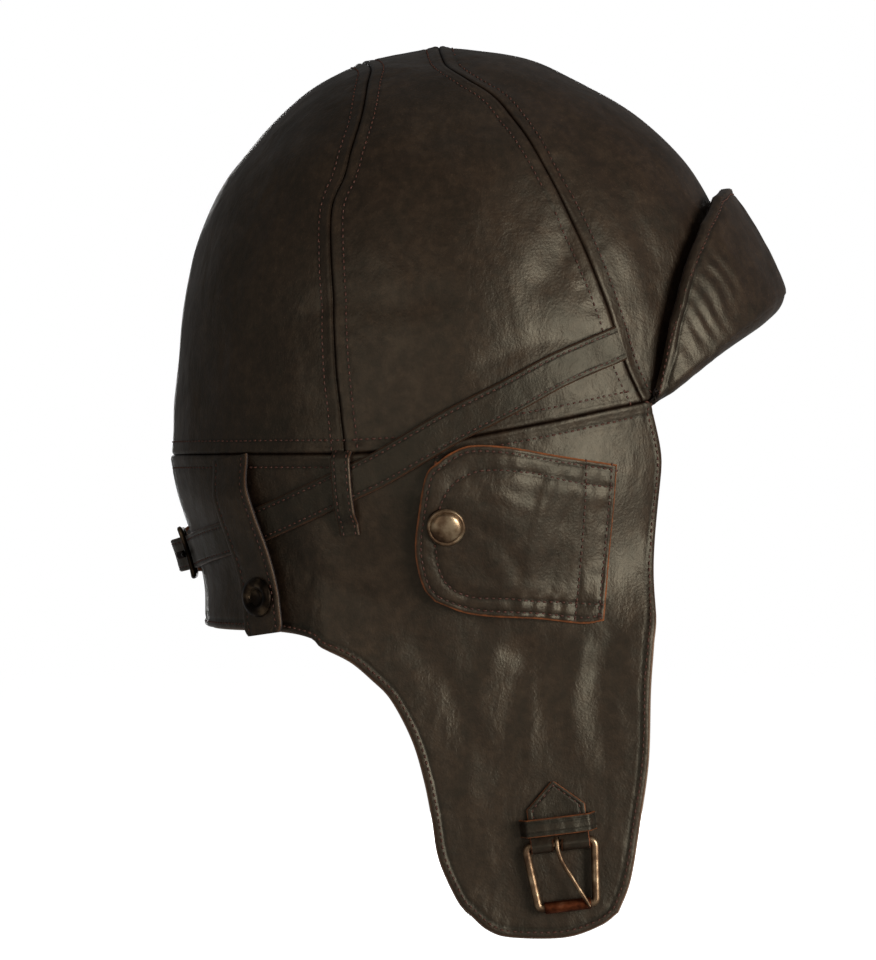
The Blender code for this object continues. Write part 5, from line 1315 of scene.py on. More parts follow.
def cover_relief(side, base, gaps):
    """Height of a cover's face: grooves in its rows, swellings between them, folds, a dimple at the snap."""
    (gap, along), (u_gap, u_along), (front_gap, _) = gaps
    height = edge_form(gap, along, COVER_ROW_MM)
    height -= 0.00042 * np.exp(-((u_gap / 0.00065) ** 2))
    height += 0.00030 * np.exp(-(((u_gap - 0.0040) / 0.0030) ** 2)) * smooth_share(gap, 0.0, 0.004)
    wave = U_WAVE * np.sin(u_along * 2.0 * math.pi / U_WAVE_LENGTH)
    height += wave * np.exp(-(((u_gap - 0.0016) / 0.0016) ** 2))
    height -= 0.00034 * np.exp(-((front_gap / 0.0006) ** 2))
    height += 0.00016 * np.exp(-(((front_gap - 0.0026) / 0.0018) ** 2))
    snap = on_cover(side, np.array([EAR_SNAP_X, EAR_SNAP_LEVEL]))[0]
    from_snap = np.linalg.norm(base - snap, axis=-1)
    calm = 1.0 - np.exp(-((from_snap / SNAP_CALM) ** 4))
    for path, width, depth in COVER_FOLDS:
        fold_gap, _ = path_distance(base, on_cover(side, cover_curve(path, 60))[0])
        height += depth * 1e-3 * np.exp(-((fold_gap / (width * 1e-3)) ** 2)) * calm
    crumple = 0.00028 * noise(base, 0.011, 21) + 0.00016 * noise(base, 0.005, 22)
    height += crumple * calm * smooth_share(gap, 0.0, 0.003)
    return height - 0.00030 * np.exp(-(((from_snap - DIMPLE_RADIUS) / DIMPLE_WIDTH) ** 2))


u, v = edge_shares(0.066, COVER_STEP), edge_shares(0.060, COVER_STEP)
cover_grid = patch(
    cover_edge["bottom"], cover_edge["top"], cover_edge["front"][::-1], cover_edge["rear"][::-1], u, v
)
print("cover grid", cover_grid.shape[:2], "with", len(COVER_FOLDS), "folds")


def cover_blend(piece):
    """Bakes the piece's transform into its mesh, which then stands at the origin."""
    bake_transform(piece)


for side_name, side in MIRROR.items():
    base, normal = on_cover(side, cover_grid)
    edge, edge_out = on_cover(side, cover_outline)
    u_line, front_line = (on_cover(side, cover_curve(*row))[0] for row in ((COVER_U,), (COVER_FRONT_ROW, 80)))
    gaps = [path_distance(base, path) for path in (edge, u_line, front_line)]
    height = cover_relief(side, base, gaps)
    gap, u_gap, front_gap = (distances for distances, _ in gaps)
    mesh = make_mesh(f"leather_ear_cover_{side_name}", [base + height[..., None] * normal], [normal])
    set_attribute(mesh, "seam_mm", [np.full(gap.shape, 9.0)])
    set_attribute(mesh, "edge_mm", [gap * 1e3])
    rows = np.minimum(np.minimum(np.abs(gap - COVER_ROW_MM * MM), u_gap), front_gap)
    set_attribute(mesh, "row_mm", [rows * 1e3])
    set_attribute(mesh, "raw", [np.clip(1.35 - gap / 0.0008, 0.0, 1.0)])
    cover = finish_piece(f"leather_ear_cover_{side_name}", mesh, [LEATHER, RAW_EDGE], COVER_WALL)
    tree = [surface_tree(cover)]
    inwards = side * np.cross(edge_out, unit(np.gradient(edge, axis=0)))
    for line in (edge - COVER_ROW_MM * MM * inwards, u_line, front_line):
        sew(f"cover_{side_name}", tree, line)
    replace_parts(cover, f"ear_cover_{side_name}", f"ear_cover_edge_{side_name}")
    cover_blend(cover)
print("ear cover faces", len(cover.data.polygons))

# %% [markdown]
# ## Brow flap
# The brow flap is a short peak that is worn turned up. Two layers of leather run from the crown's rim, down
# round the fold and up over the forehead to the free edge, where they are sewn together, and the temple ends
# are gathered into the seam. It is drawn as a section at each angle of the brow and lofted through them,
# because a flat shape that is bent round would stretch at the fold.

# %% Brow flap shape
BROW_FREE = (
    (0.0, 1.0), (0.25, 0.985), (0.44, 0.94), (0.645, 0.81), (0.76, 0.69), (0.82, 0.605), (0.865, 0.515),
    (0.90, 0.425), (0.93, 0.355), (0.95, 0.27), (0.97, 0.17), (1.0, 0.045),
)
BROW_FREE_LEVEL, BROW_REACH, BROW_FREE_REACH, BROW_TEMPLE_REACH = 0.0968, 0.0150, 0.0068, 0.0045
BROW_FOLD, BROW_COLUMNS, BROW_ROWS, SECTION_POINTS = 0.0097, 241, 84, 400
FOLD_TURN, BROW_SPREAD, BROW_ENDS = math.radians(97.0), math.pi / 2 * 0.9, 0.998


def brow_section(angle):
    """Middle of the turned-up leather at one angle: height over the crown and level."""
    temple = min(1.0, abs(angle) / TEMPLE_ANGLE)
    tuck = float(smooth_share(temple, 0.93, 1.0))
    reach = (BROW_REACH + (BROW_TEMPLE_REACH - BROW_REACH) * temple**2) * (1.0 - 0.35 * tuck)
    free_reach = BROW_FREE_REACH + (BROW_TEMPLE_REACH - BROW_FREE_REACH) * temple**2
    free_reach = free_reach * (1.0 - 0.30 * tuck)
    rim = float(rim_level(angle))
    places, rises = zip(*BROW_FREE)
    free = TEMPLE_LEVEL + (BROW_FREE_LEVEL - TEMPLE_LEVEL) * float(np.interp(temple, places, rises))
    fold = max(0.0010, min(BROW_FOLD * reach / BROW_REACH, free - rim - 0.0030))
    top = rim + fold
    drop = 0.0031 - 0.0020 * float(smooth_share(temple, 0.30, 0.75))
    turns = np.linspace(FOLD_TURN, 0.0, 8)
    knots = [(reach * math.cos(turn), top - (fold + drop) * math.sin(turn)) for turn in turns]
    rise = max(free - top, 0.0006)
    knots += [(reach + (free_reach - reach) * share, top + rise * share) for share in (0.5, 1.0)]
    return drawn(knots, SECTION_POINTS)


def brow_surface():
    """The sections' angles and the points of the flap's middle, from the crown's rim to the free edge."""
    shares = np.sin(np.linspace(-1.0, 1.0, BROW_COLUMNS) * BROW_SPREAD) / math.sin(BROW_SPREAD)
    angles = shares * TEMPLE_ANGLE * BROW_ENDS
    points = np.zeros((BROW_ROWS, BROW_COLUMNS, 3))
    for i, angle in enumerate(angles):
        lift, level = brow_section(angle).T
        section = evenly(np.stack([lift, level], axis=1), BROW_ROWS)
        base = head(angle, np.maximum(section[:, 1], 0.0))
        out = np.stack([base[:, 0] / HALF_LENGTH**2, base[:, 1] / HALF_WIDTH**2, np.zeros(BROW_ROWS)], axis=1)
        points[:, i] = base + section[:, :1] * out / np.linalg.norm(out, axis=1, keepdims=True)
    return angles, points


brow_angles, brow_middle = brow_surface()
brow_out = unit(np.cross(np.gradient(brow_middle, axis=1), np.gradient(brow_middle, axis=0)))
brow_out *= np.sign(brow_out[-1, BROW_COLUMNS // 2, 0])
print("brow flap stands", round(1000 * (brow_middle[-1, :, 2].max() - BROW_LEVEL)), "mm over the brow")


# %% Brow flap folds
def brow_folds(points, free_gap, angles):
    """Soft waves across the flap, with folds that run out from the temples."""
    height = 0.0007 * noise(points, 0.028, 31) + 0.0004 * noise(points * (1.0, 1.0, 0.6), 0.012, 32)
    height += 0.00018 * noise(points, 0.0055, 33)
    temple = smooth_share(np.abs(angles) / TEMPLE_ANGLE, 0.45, 0.85)[None]
    fan = points[..., 2] * 0.55 - np.abs(points[..., 1]) * 0.85 + points[..., 0] * 0.5
    height += temple * 0.00036 * np.sin(fan * 2.0 * math.pi / 0.0068 + 1.6 * noise(points, 0.014, 34))
    lower = smooth_share(np.linspace(0.0, 1.0, points.shape[0]), 0.25, 0.55)[:, None]
    return height * (0.25 + 0.75 * smooth_share(free_gap, 0.0035, 0.012)) * (0.2 + 0.8 * lower)


free_gap, free_along = path_distance(brow_middle, brow_middle[-1])
folds = brow_folds(brow_middle, free_gap, brow_angles)
root = smooth_share(np.linspace(0.0, 1.0, BROW_ROWS), 0.0, 0.22)[:, None]
thin = 1.0 - 0.45 * smooth_share(np.abs(brow_angles) / TEMPLE_ANGLE, 0.90, 1.0)[None]
stack = 0.00185 * thin * (0.35 + 0.65 * np.sqrt(np.clip(free_gap / 0.0016, 0.0, 1.0)))
welt = edge_form(free_gap, free_along, 3.6) + 0.00045 * np.exp(-(((free_gap - 0.0017) / 0.0011) ** 2))
print("folds of the brow flap reach", round(1000 * float(np.abs(folds).max()), 2), "mm")

# %% Brow flap
BROW_ROW, BROW_WALL, BROW_HALF_STACK = 0.0036, 0.0012, 0.0018


def brow_blend(piece):
    """Bakes the piece's transform into its mesh, which then stands at the origin."""
    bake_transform(piece)


for name, sign, nodes in (
    ("leather_brow_flap", 1.0, ("brow_flap", "brow_fold")),
    ("leather_brow_facing", -1.0, ("brow_flap_facing",)),
):
    face = brow_middle + ((folds * root) + sign * (stack + welt))[..., None] * brow_out
    mesh = make_mesh(name, [face], [sign * brow_out])
    set_attribute(mesh, "seam_mm", [np.full(free_gap.shape, 9.0)])
    set_attribute(mesh, "edge_mm", [free_gap * 1e3 + 0.5])
    set_attribute(mesh, "row_mm", [np.abs(free_gap - BROW_ROW) * 1e3])
    layer = finish_piece(name, mesh, [LEATHER, DARK_EDGE], BROW_WALL)
    outwards = unit(brow_middle[-1] - brow_middle[-3])
    row = (brow_middle[-1] - BROW_ROW * outwards + sign * BROW_HALF_STACK * brow_out[-1])[3:-3]
    sew("brow", [surface_tree(layer)], row)
    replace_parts(layer, *nodes)
    brow_blend(layer)
print("brow flap faces", len(layer.data.polygons))

# %% [markdown]
# ## Side straps
# A strap on each side starts at the front seam, runs down through the belt loop and under the rear tab, and
# meets the other one at a small buckle in the nape, which draws the helmet in. The right strap goes under
# the buckle's far bar, over its near bar and through the keeper. The left one wraps the near bar and is sewn
# back on itself. Simulated straps would slide off. So each route is drawn by angle, level and height over
# the head form, and the heights are added up from walls, wire and gaps, as a stack of leather really is.

# %% Route of the side straps
STRAP_WIDTH, STRAP_WALL, STRAP_ROW, STRAP_START, STRAP_FALL = 0.0122, 0.0018, 0.0016, 0.0385, 0.0730
STRAP_PATH = (
    (0.323, 0.0), (0.394, 0.125), (0.450, 0.260), (0.506, 0.390), (0.544, 0.490), (0.587, 0.600),
    (0.628, 0.680), (0.687, 0.780), (0.749, 0.863), (0.812, 0.925), (0.878, 0.965), (0.944, 0.992), (1.0, 1.0),
)
NAPE_LEVEL, NAPE_SPAN, NAPE_HEIGHT, NAPE_WIRE, NAPE_RETURN = -0.0345, 0.0140, 0.0176, 0.0010, 0.0060
BAR_GAP, RUNNING_GAP = 0.0005, 0.0003
STRAP_STEP, TIP_LENGTH, TIP_SHARE = 0.0011, 0.0062, 0.25


def strap_level(turn):
    """Level of a side strap at an angle on the left side."""
    places, falls = zip(*STRAP_PATH)
    return STRAP_START - STRAP_FALL * np.interp(np.asarray(turn) / math.pi, places, falls)


def nape_turn(distance):
    """Angle of a place beside the middle of the nape, positive on the right."""
    return math.pi - np.asarray(distance) / half_width(NAPE_LEVEL)


strap_main = {
    side: drawn([(side * math.pi * turn, STRAP_START - STRAP_FALL * fall) for turn, fall in STRAP_PATH], 420)
    for side in MIRROR.values()
}
nape_half = NAPE_SPAN / 2
nape_bar = LAY_GAP + STRAP_WALL + BAR_GAP + NAPE_WIRE
print("bars of the nape buckle lie", round(1000 * nape_bar, 2), "mm over the leather")


# %% Slot for a prong
def cut_box(obj, centre, outward, size):
    """Cuts a slot with rounded corners through a piece. Its size is depth along outward, width, height."""
    mesh = bpy.data.meshes.new("cutter")
    shape = bmesh.new()
    bmesh.ops.create_cube(shape, size=1.0)
    bmesh.ops.scale(shape, verts=shape.verts, vec=size)
    upright = [e for e in shape.edges if abs(e.verts[0].co.x - e.verts[1].co.x) > 1e-6]
    bmesh.ops.bevel(shape, geom=upright, offset=min(size[1:]) * 0.3, segments=4, affect="EDGES")
    shape.to_mesh(mesh)
    shape.free()
    outward = unit(np.asarray(outward, float))
    sideways = unit(np.cross((0.0, 0.0, 1.0), outward))
    turn = np.stack([outward, sideways, np.cross(outward, sideways)], axis=1)
    for vertex in mesh.vertices:
        vertex.co = Vector(turn @ np.array(vertex.co) + np.asarray(centre))
    mesh.materials.append(DARK_EDGE)
    cutter = new_object("cutter", mesh)
    # The exact solver tears a thin strap that bends back on itself. This one cuts any closed mesh.
    cut = obj.modifiers.new("cut", "BOOLEAN")
    cut.operation, cut.solver, cut.object = "DIFFERENCE", "MANIFOLD", cutter
    before = len(obj.data.polygons)
    apply_modifiers(obj)
    bpy.data.objects.remove(cutter, do_unlink=True)
    print("cut", obj.name, before, "to", len(obj.data.polygons), "faces")


print("slots are cut through", STRAP_LEATHER.name)

# %% Right side strap
# Places across the buckle are shares of half its span. Heights there are shares of the height over its bar.
OVER_PLACES, OVER_SHARES = (-1.2, -0.8, -0.4, 0.0, 0.4, 0.75, 1.0, 1.45), (0.26, 0.52, 0.80, 0.97, 1.0, 1.0)
BEHIND_PLACES, TIP_PLACE = (1.1, 1.65), 0.0270
over = nape_bar + NAPE_WIRE + BAR_GAP + STRAP_WALL + LAY_GAP
stacked = LAY_GAP + STRAP_WALL + RUNNING_GAP


def right_route():
    """Angle, level and height from the front seam to the strap's tip, and how far the tip still is."""
    main = strap_main[-1][strap_main[-1][:, 0] > nape_turn(-1.5 * nape_half) - 2.0 * math.pi]
    behind = nape_half + NAPE_RETURN * np.array(BEHIND_PLACES)
    to_end = np.linspace(behind[-1], TIP_PLACE, 4)[1:]
    turns = nape_turn(np.concatenate([nape_half * np.array(OVER_PLACES), behind, to_end]))
    lifts = [LAY_GAP, LAY_GAP, *(share * over for share in OVER_SHARES), stacked + STRAP_WALL + LAY_GAP]
    lifts += [stacked] * (len(turns) - len(lifts))
    tail = np.stack([turns - 2.0 * math.pi, strap_level(np.minimum(turns, math.pi)), lifts], axis=1)
    path = np.vstack([np.column_stack([main, np.full(len(main), LAY_GAP)]), drawn(tail, 90)])
    steps = run_along(head(path[:, 0], path[:, 1]))
    even = np.linspace(0.0, steps[-1], int(steps[-1] / STRAP_STEP))
    return np.stack([np.interp(even, steps, path[:, k]) for k in range(3)], axis=1), steps[-1] - even


path, to_tip = right_route()
tapered = TIP_SHARE + (1.0 - TIP_SHARE) * np.sqrt(np.clip(to_tip / TIP_LENGTH, 0.0, 1.0))
halves = STRAP_WIDTH / 2 * np.clip(tapered, 0.0, 1.0)
centres, across, _, bend = frames_on_head(path[:, :2], path[:, 2])
out = square_to(centres, across)
out *= np.sign((out * centres * (1, 1, 0)).sum(-1))[:, None]
materials = [STRAP_LEATHER, DARK_EDGE]
strap_right = strip("strap_right", centres, across, out, halves, STRAP_WALL, materials, STRAP_ROW, bend)
slot_seat, slot_out = laid(head, math.pi, NAPE_LEVEL, over / 2)
cut_box(strap_right, slot_seat, slot_out, (2 * over, 1.1 * nape_half, 0.0026))
for points, normals in strip_rows(centres, across, out, halves, STRAP_WALL, STRAP_ROW, bend, 3, -7):
    stitch_row("helmet", points, normals)
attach(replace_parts(strap_right, "side_strap_right"), "helmet")
print("right strap", round(1000 * run_along(centres)[-1]), "mm,", len(strap_right.data.polygons), "faces")

# %% Left side strap
radius = NAPE_WIRE + BAR_GAP + STRAP_WALL / 2
above = LAY_GAP + 1.5 * STRAP_WALL + RUNNING_GAP


def wrap_middle():
    """Middle of the strap's end where it goes under the near bar, round it and back over itself."""
    rows = [(LAY_GAP + STRAP_WALL / 2, nape_half + NAPE_RETURN * share) for share in (0.95, 0.8, 0.3)]
    rows += [
        (nape_bar - radius * math.cos(turn), nape_half - radius * math.sin(turn))
        for turn in np.linspace(0.0, math.pi, 15)
    ]
    rows += [(above + radius / 3, nape_half + 0.55 * NAPE_RETURN)]
    rows += [(above, nape_half + share * NAPE_RETURN) for share in (1.0, 1.15)]
    rows = drawn(rows, 60)
    turns = nape_turn(rows[:, 1])
    return laid(head, turns, strap_level(turns), rows[:, 0])[0]


main = evenly(strap_main[1][strap_main[1][:, 0] < nape_turn(nape_half + 1.2 * NAPE_RETURN)], 210)
centres, across, out, bend = frames_on_head(main, np.full(len(main), LAY_GAP))
middle = wrap_middle()
wrap_across = np.tile(across[-1], (len(middle), 1))
wrap_out = square_to(middle, wrap_across)
wrap_out *= np.sign(wrap_out[0] @ out[-1])
centres = np.vstack([centres, middle - wrap_out * STRAP_WALL / 2])
across, out = np.vstack([across, wrap_across]), np.vstack([out, wrap_out])
bend = np.concatenate([bend, np.full(len(middle), bend[-1]) * np.linspace(1.0, 0.0, len(middle))])
half = STRAP_WIDTH / 2
strap_left = strip("strap_left", centres, across, out, half, STRAP_WALL, materials, STRAP_ROW, bend)
bar_top = nape_bar + 2 * NAPE_WIRE
seat, seat_out = laid(head, nape_turn(nape_half), NAPE_LEVEL, bar_top)
cut_box(strap_left, seat, seat_out, (2 * bar_top, 2 * radius + NAPE_RETURN, 0.0030))
for points, normals in strip_rows(centres, across, out, half, STRAP_WALL, STRAP_ROW, bend, 3, len(main) - 2):
    stitch_row("helmet", points, normals)
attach(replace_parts(strap_left, "side_strap_left"), "helmet")
print("left strap", round(1000 * run_along(centres)[-1]), "mm,", len(strap_left.data.polygons), "faces")

# %% [markdown]
# ## Belt loops, nape keeper and rear tabs
# A belt loop is a narrow band, sewn down at both ends, that the side strap slides through. The keeper holds
# the strap's tip in the nape. A rear tab covers the strap and is snapped down, and it lifts on its seam. All
# are straps in small, so the same sweep makes them. Their heights come from tables that say where a band
# lies on the leather and where it rises over what it holds.

# %% Belt loops and nape keeper
LOOP_RISE = ((0.0, 0.0), (0.025, 0.0), (0.085, 1.0), (0.74, 1.0), (0.86, 0.0), (1.0, 0.0))
NAPE_KEEPER_RISE = ((0.0, 0.0), (0.02, 0.0), (0.08, 1.0), (0.92, 1.0), (0.98, 0.0), (1.0, 0.0))
RISE_SHIFTS = (-0.014, -0.007, 0.0, 0.007, 0.014)
LOOP_TURN, LOOP_TOP, LOOP_LENGTH, LOOP_HALF, LOOP_ROW = math.radians(113.0), 0.0008, 0.0288, 0.0035, 0.0013
KEEPER_PLACE, KEEPER_LENGTH, KEEPER_HALF, KEEPER_ROW = 0.0205, 0.0172, 0.0025, 0.0009
BAND_WALL, BAND_POINTS = 0.0013, 90


def risen(table, low, rise, shares):
    """Heights along a band from its table, with its corners rounded."""
    places, heights = zip(*table)
    total = 0.0
    for shift in RISE_SHIFTS:
        total = total + np.interp(np.clip(shares + shift, 0.0, 1.0), places, heights)
    return low + rise * total / len(RISE_SHIFTS)


def band(name, node, path, lifts, half, row, half_bend, cut):
    """A short leather band over the head form, square to its path."""
    centres, across, out, bend = frames_on_head(path, lifts, half_bend)
    square = square_to(centres, across)
    square *= np.sign((square * out).sum(-1))[:, None]
    piece = strip(name, centres, across, square, half, BAND_WALL, [STRAP_LEATHER, cut], row, bend, 0.0002)
    for points, normals in strip_rows(centres, across, square, half, BAND_WALL, row, bend, 2, -2):
        stitch_row("helmet", points, normals)
    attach(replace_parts(piece, node), "helmet")
    return piece


shares = np.linspace(0.0, 1.0, BAND_POINTS)
lifts = risen(LOOP_RISE, LAY_GAP, STRAP_WALL + LAY_GAP + 0.0001, shares)
for side_name, side in MIRROR.items():
    path = np.stack([np.full(BAND_POINTS, side * LOOP_TURN), LOOP_TOP - shares * LOOP_LENGTH], axis=1)
    name, node = f"belt_loop_leather_{side_name}", f"belt_loop_{side_name}"
    belt_loop = band(name, node, path, lifts, LOOP_HALF, LOOP_ROW, 0.004, DARK_EDGE)
turn = float(nape_turn(KEEPER_PLACE))
path = np.stack([np.full(BAND_POINTS, turn), strap_level(turn) + (0.5 - shares) * KEEPER_LENGTH], axis=1)
lifts = risen(NAPE_KEEPER_RISE, LAY_GAP, 2 * STRAP_WALL + RUNNING_GAP + 2 * LAY_GAP, shares)
band("nape_keeper_leather", "nape_keeper", path, lifts, KEEPER_HALF, KEEPER_ROW, 0.0025, RAW_EDGE)
print("belt loop faces", len(belt_loop.data.polygons))

# %% Rear tabs
TAB_TOP_TURN, TAB_FOOT_TURN, TAB_STAND, TAB_ROW = math.radians(141.1), math.radians(135.8), 0.0033, 0.0024
TAB_HALF, TAB_WALL, TAB_TOP, TAB_LENGTH, TAB_POINTS = 0.0090, 0.0014, -0.0012, 0.0620, 84
TAB_CORNER, TAB_CORNER_LENGTH, TAB_BEND_TOP, TAB_BEND_FOOT = 0.0016, 0.003, -0.0016, -0.0062


def tab_turn(share):
    """Angle of a tab's middle at a share of its length."""
    return TAB_TOP_TURN + (TAB_FOOT_TURN - TAB_TOP_TURN) * share


def tab_blend(piece):
    """Bakes the piece's transform into its mesh, which then stands at the origin."""
    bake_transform(piece)


shares = np.linspace(0.0, 1.0, TAB_POINTS)
to_foot = (1.0 - shares) * TAB_LENGTH
halves = TAB_HALF - TAB_CORNER * np.clip(1.0 - to_foot / TAB_CORNER_LENGTH, 0.0, 1.0) ** 2
for side_name, side in MIRROR.items():
    path = np.stack([side * tab_turn(shares), TAB_TOP - TAB_LENGTH * shares], axis=1)
    lifts = LAY_GAP + TAB_STAND * smooth_share(shares, 0.0, 0.22)
    centres, across, out, bend = frames_on_head(path, lifts, 0.010)
    bend = bend * (1.0 - 0.25 * smooth_share(shares, 0.1, 0.4))
    name, materials = f"leather_rear_tab_{side_name}", [LEATHER, DARK_EDGE]
    tab = strip(name, centres, across, out, halves, TAB_WALL, materials, TAB_ROW, bend)
    for points, normals in strip_rows(centres, across, out, halves, TAB_WALL, TAB_ROW, bend, 2, -3):
        stitch_row(f"tab_{side_name}", points, normals)
    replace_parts(tab, f"rear_tab_{side_name}")
    tab_blend(tab)
print("rear tab faces", len(tab.data.polygons))

# %% [markdown]
# ## Snap caps
# A snap's cap is pressed from sheet brass: a dome with a rolled rim on the ear covers, a stepped ring on the
# rear tabs. A cylinder with bevels would miss both forms, so each cap is a profile of radii and heights
# turned about the way out of the leather, with its corners eased as a press leaves them.


# %% Turned pieces
def turned(name, profile, seat, axis, material, steps=56):
    """A turned piece: its profile of radii and heights stands on the seat along the axis."""
    profile, axis = np.asarray(profile, float), unit(np.asarray(axis, float))
    side = unit(np.cross(axis, (0.0, 0.0, 1.0) if abs(axis[2]) < 0.9 else (1.0, 0.0, 0.0)))
    up = np.cross(axis, side)
    turn = np.linspace(0.0, 2.0 * math.pi, steps, endpoint=False)
    ring = side[None] * np.cos(turn)[:, None] + up[None] * np.sin(turn)[:, None]
    grid = np.asarray(seat) + profile[:, None, :1] * ring[None] + profile[:, None, 1:] * axis
    bored = profile[0][0] > 0.0
    mesh = bpy.data.meshes.new(name)
    mesh.from_pydata(grid.reshape(-1, 3).tolist(), [], ring_faces(len(profile), steps, looped=bored))
    welded(mesh, 1e-6, outwards=True)
    mesh.materials.append(material)
    mesh.shade_smooth()
    mesh.set_sharp_from_angle(angle=math.radians(40.0))
    return new_object(name, mesh)


def rounded_corner(before, here, after, reach_before, reach_after, count):
    """Points on the curve that replaces a corner, from a reach before it to a reach after it."""
    start = here + (before - here) * reach_before
    end = here + (after - here) * reach_after
    return [(1 - t) ** 2 * start + 2 * t * (1 - t) * here + t * t * end for t in np.linspace(0.0, 1.0, count)]


def ease(profile, count=5):
    """Rounds a profile's corners a little."""
    profile = np.asarray(profile, float)
    smooth = [profile[0]]
    for before, here, after in zip(profile, profile[1:], profile[2:]):
        lengths = np.linalg.norm(here - before), np.linalg.norm(after - here)
        reach = 0.35 * min(*lengths, 0.0006)
        smooth += rounded_corner(before, here, after, reach / lengths[0], reach / lengths[1], count)
    return np.array([*smooth, profile[-1]])


print("a corner is rounded with", len(ease([(0, 0), (1, 0), (1, 1)])) - 2, "points")

# %% Snap caps
CAP_RADIUS, CAP_HEIGHT, CAP_RIM, CAP_STEPS, RING_SPREAD = 0.0067, 0.0028, 0.0011, 12, (1.10, 1.0)
REAR_SNAP_LEVEL = -0.0499
cap_profile = [(0.0, 0.0), (CAP_RADIUS - 0.0003, 0.0), (CAP_RADIUS, 0.0004), (CAP_RADIUS, 0.0008)]
cap_profile += [(CAP_RADIUS - 0.0004, 0.0013)]
cap_profile += [(CAP_RADIUS - 0.00095, 0.0013), (CAP_RADIUS - 0.0013, 0.00105)]
for share in np.linspace(1.0, 0.0, CAP_STEPS):
    rise = math.sqrt(max(0.0, 1.0 - (0.97 * share) ** 2.2))
    cap_profile.append(((CAP_RADIUS - 0.0015) * share, CAP_RIM + (CAP_HEIGHT - CAP_RIM) * rise))
ring_profile = [
    (0.0, 0.0), (0.0062, 0.0), (0.0064, 0.0005), (0.0061, 0.0011), (0.0052, 0.0016), (0.0044, 0.0017),
    (0.0036, 0.0015), (0.0031, 0.0011), (0.0029, 0.0007), (0.0027, 0.0006), (0.0024, 0.0009),
    (0.0021, 0.0010),
    (0.0014, 0.0009), (0.0, 0.0007),
]
ring_profile = ease(np.array(ring_profile) * RING_SPREAD)
cap_profile = ease(cap_profile)
for side_name, side in MIRROR.items():
    turn = side * float(angle_at(EAR_SNAP_X, EAR_SNAP_LEVEL))
    seat, axis = laid(head, turn, EAR_SNAP_LEVEL, LAY_GAP + COVER_STAND + LEATHER_WALL + RUNNING_GAP)
    cap = turned(f"brass_ear_snap_cap_{side_name}", cap_profile, seat, axis, BRASS)
    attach(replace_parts(cap, f"ear_snap_cap_{side_name}"), f"ear_cover_{side_name}")
    turn = side * tab_turn((TAB_TOP - REAR_SNAP_LEVEL) / TAB_LENGTH)
    seat, axis = laid(head, turn, REAR_SNAP_LEVEL, LAY_GAP + TAB_STAND + LEATHER_WALL + RUNNING_GAP)
    cap = turned(f"brass_rear_snap_cap_{side_name}", ring_profile, seat, axis, DARK_BRASS)
    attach(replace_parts(cap, f"rear_snap_cap_{side_name}"), f"rear_tab_{side_name}")
print("ear snap cap", round(2000 * CAP_RADIUS, 1), "mm across")

# %% [markdown]
# ## Buckles
# The chin buckle is a frame with a prong that shares its bar and a rolled tube on its foot bar, over which
# the strap slides. The nape buckle is a smaller frame with a prong. A wire is a circle swept along a path,
# so frames and prongs are swept along paths with rounded corners, as bent wire is, and the tube is turned.

# %% Wire
END_RINGS = (0.45, 0.8, 0.97)


def rounded_ends(path, along, radii):
    """A wire's path, directions and radii with smaller rings past each end."""
    tips = []
    for tip, way, radius in ((path[0], -along[0], radii[0]), (path[-1], along[-1], radii[-1])):
        tips.append([(tip + way * radius * s, radius * math.sqrt(max(1.0 - s * s, 0.0))) for s in END_RINGS])
    path = np.vstack([[place for place, _ in tips[0][::-1]], path, [place for place, _ in tips[1]]])
    radii = np.concatenate([[size for _, size in tips[0][::-1]], radii, [size for _, size in tips[1]]])
    return path, np.vstack([[along[0]] * 3, along, [along[-1]] * 3]), radii


def tube(name, path, radius, material, closed=False, sides=16, guide=(0.0, 1.0, 0.0)):
    """A wire along a path, with rounded ends where it isn't closed."""
    path = np.asarray(path, float)
    radii = np.broadcast_to(np.asarray(radius, float), (len(path),)).copy()
    if closed:
        along = unit(np.roll(path, -1, axis=0) - np.roll(path, 1, axis=0))
    else:
        path, along, radii = rounded_ends(path, unit(np.gradient(path, axis=0)), radii)
    side = unit(np.cross(along, np.asarray(guide, float)))
    up = np.cross(side, along)
    turn = np.linspace(0.0, 2.0 * math.pi, sides, endpoint=False)
    ring = side[:, None] * np.cos(turn)[None, :, None] + up[:, None] * np.sin(turn)[None, :, None]
    grid = path[:, None] + radii[:, None, None] * ring
    faces = ring_faces(len(path), sides, looped=closed, capped=not closed)
    mesh = bpy.data.meshes.new(name)
    mesh.from_pydata(grid.reshape(-1, 3).tolist(), [], faces)
    welded(mesh, 0.0, outwards=True)
    mesh.materials.append(material)
    mesh.shade_smooth()
    return new_object(name, mesh)


def rounded_frame(corners, radii, steps=12):
    """A closed path through corners, each with its radius, with points along the straights between them."""
    corners, path = [np.array(corner, float) for corner in corners], []
    for i, (here, radius) in enumerate(zip(corners, radii)):
        before, after = corners[i - 1], corners[(i + 1) % len(corners)]
        length = np.linalg.norm(after - here)
        reaches = radius / np.linalg.norm(before - here), radius / length
        path += rounded_corner(before, here, after, *reaches, steps)
        end, straight = path[-1], length - radius - radii[(i + 1) % len(radii)]
        path += [end + (after - here) / length * reach for reach in np.linspace(0.0, straight, 9)[1:-1]]
    return np.array(path)


print("a square frame has", len(rounded_frame(((0, 0), (4, 0), (4, 4), (0, 4)), (1,) * 4)), "rings")

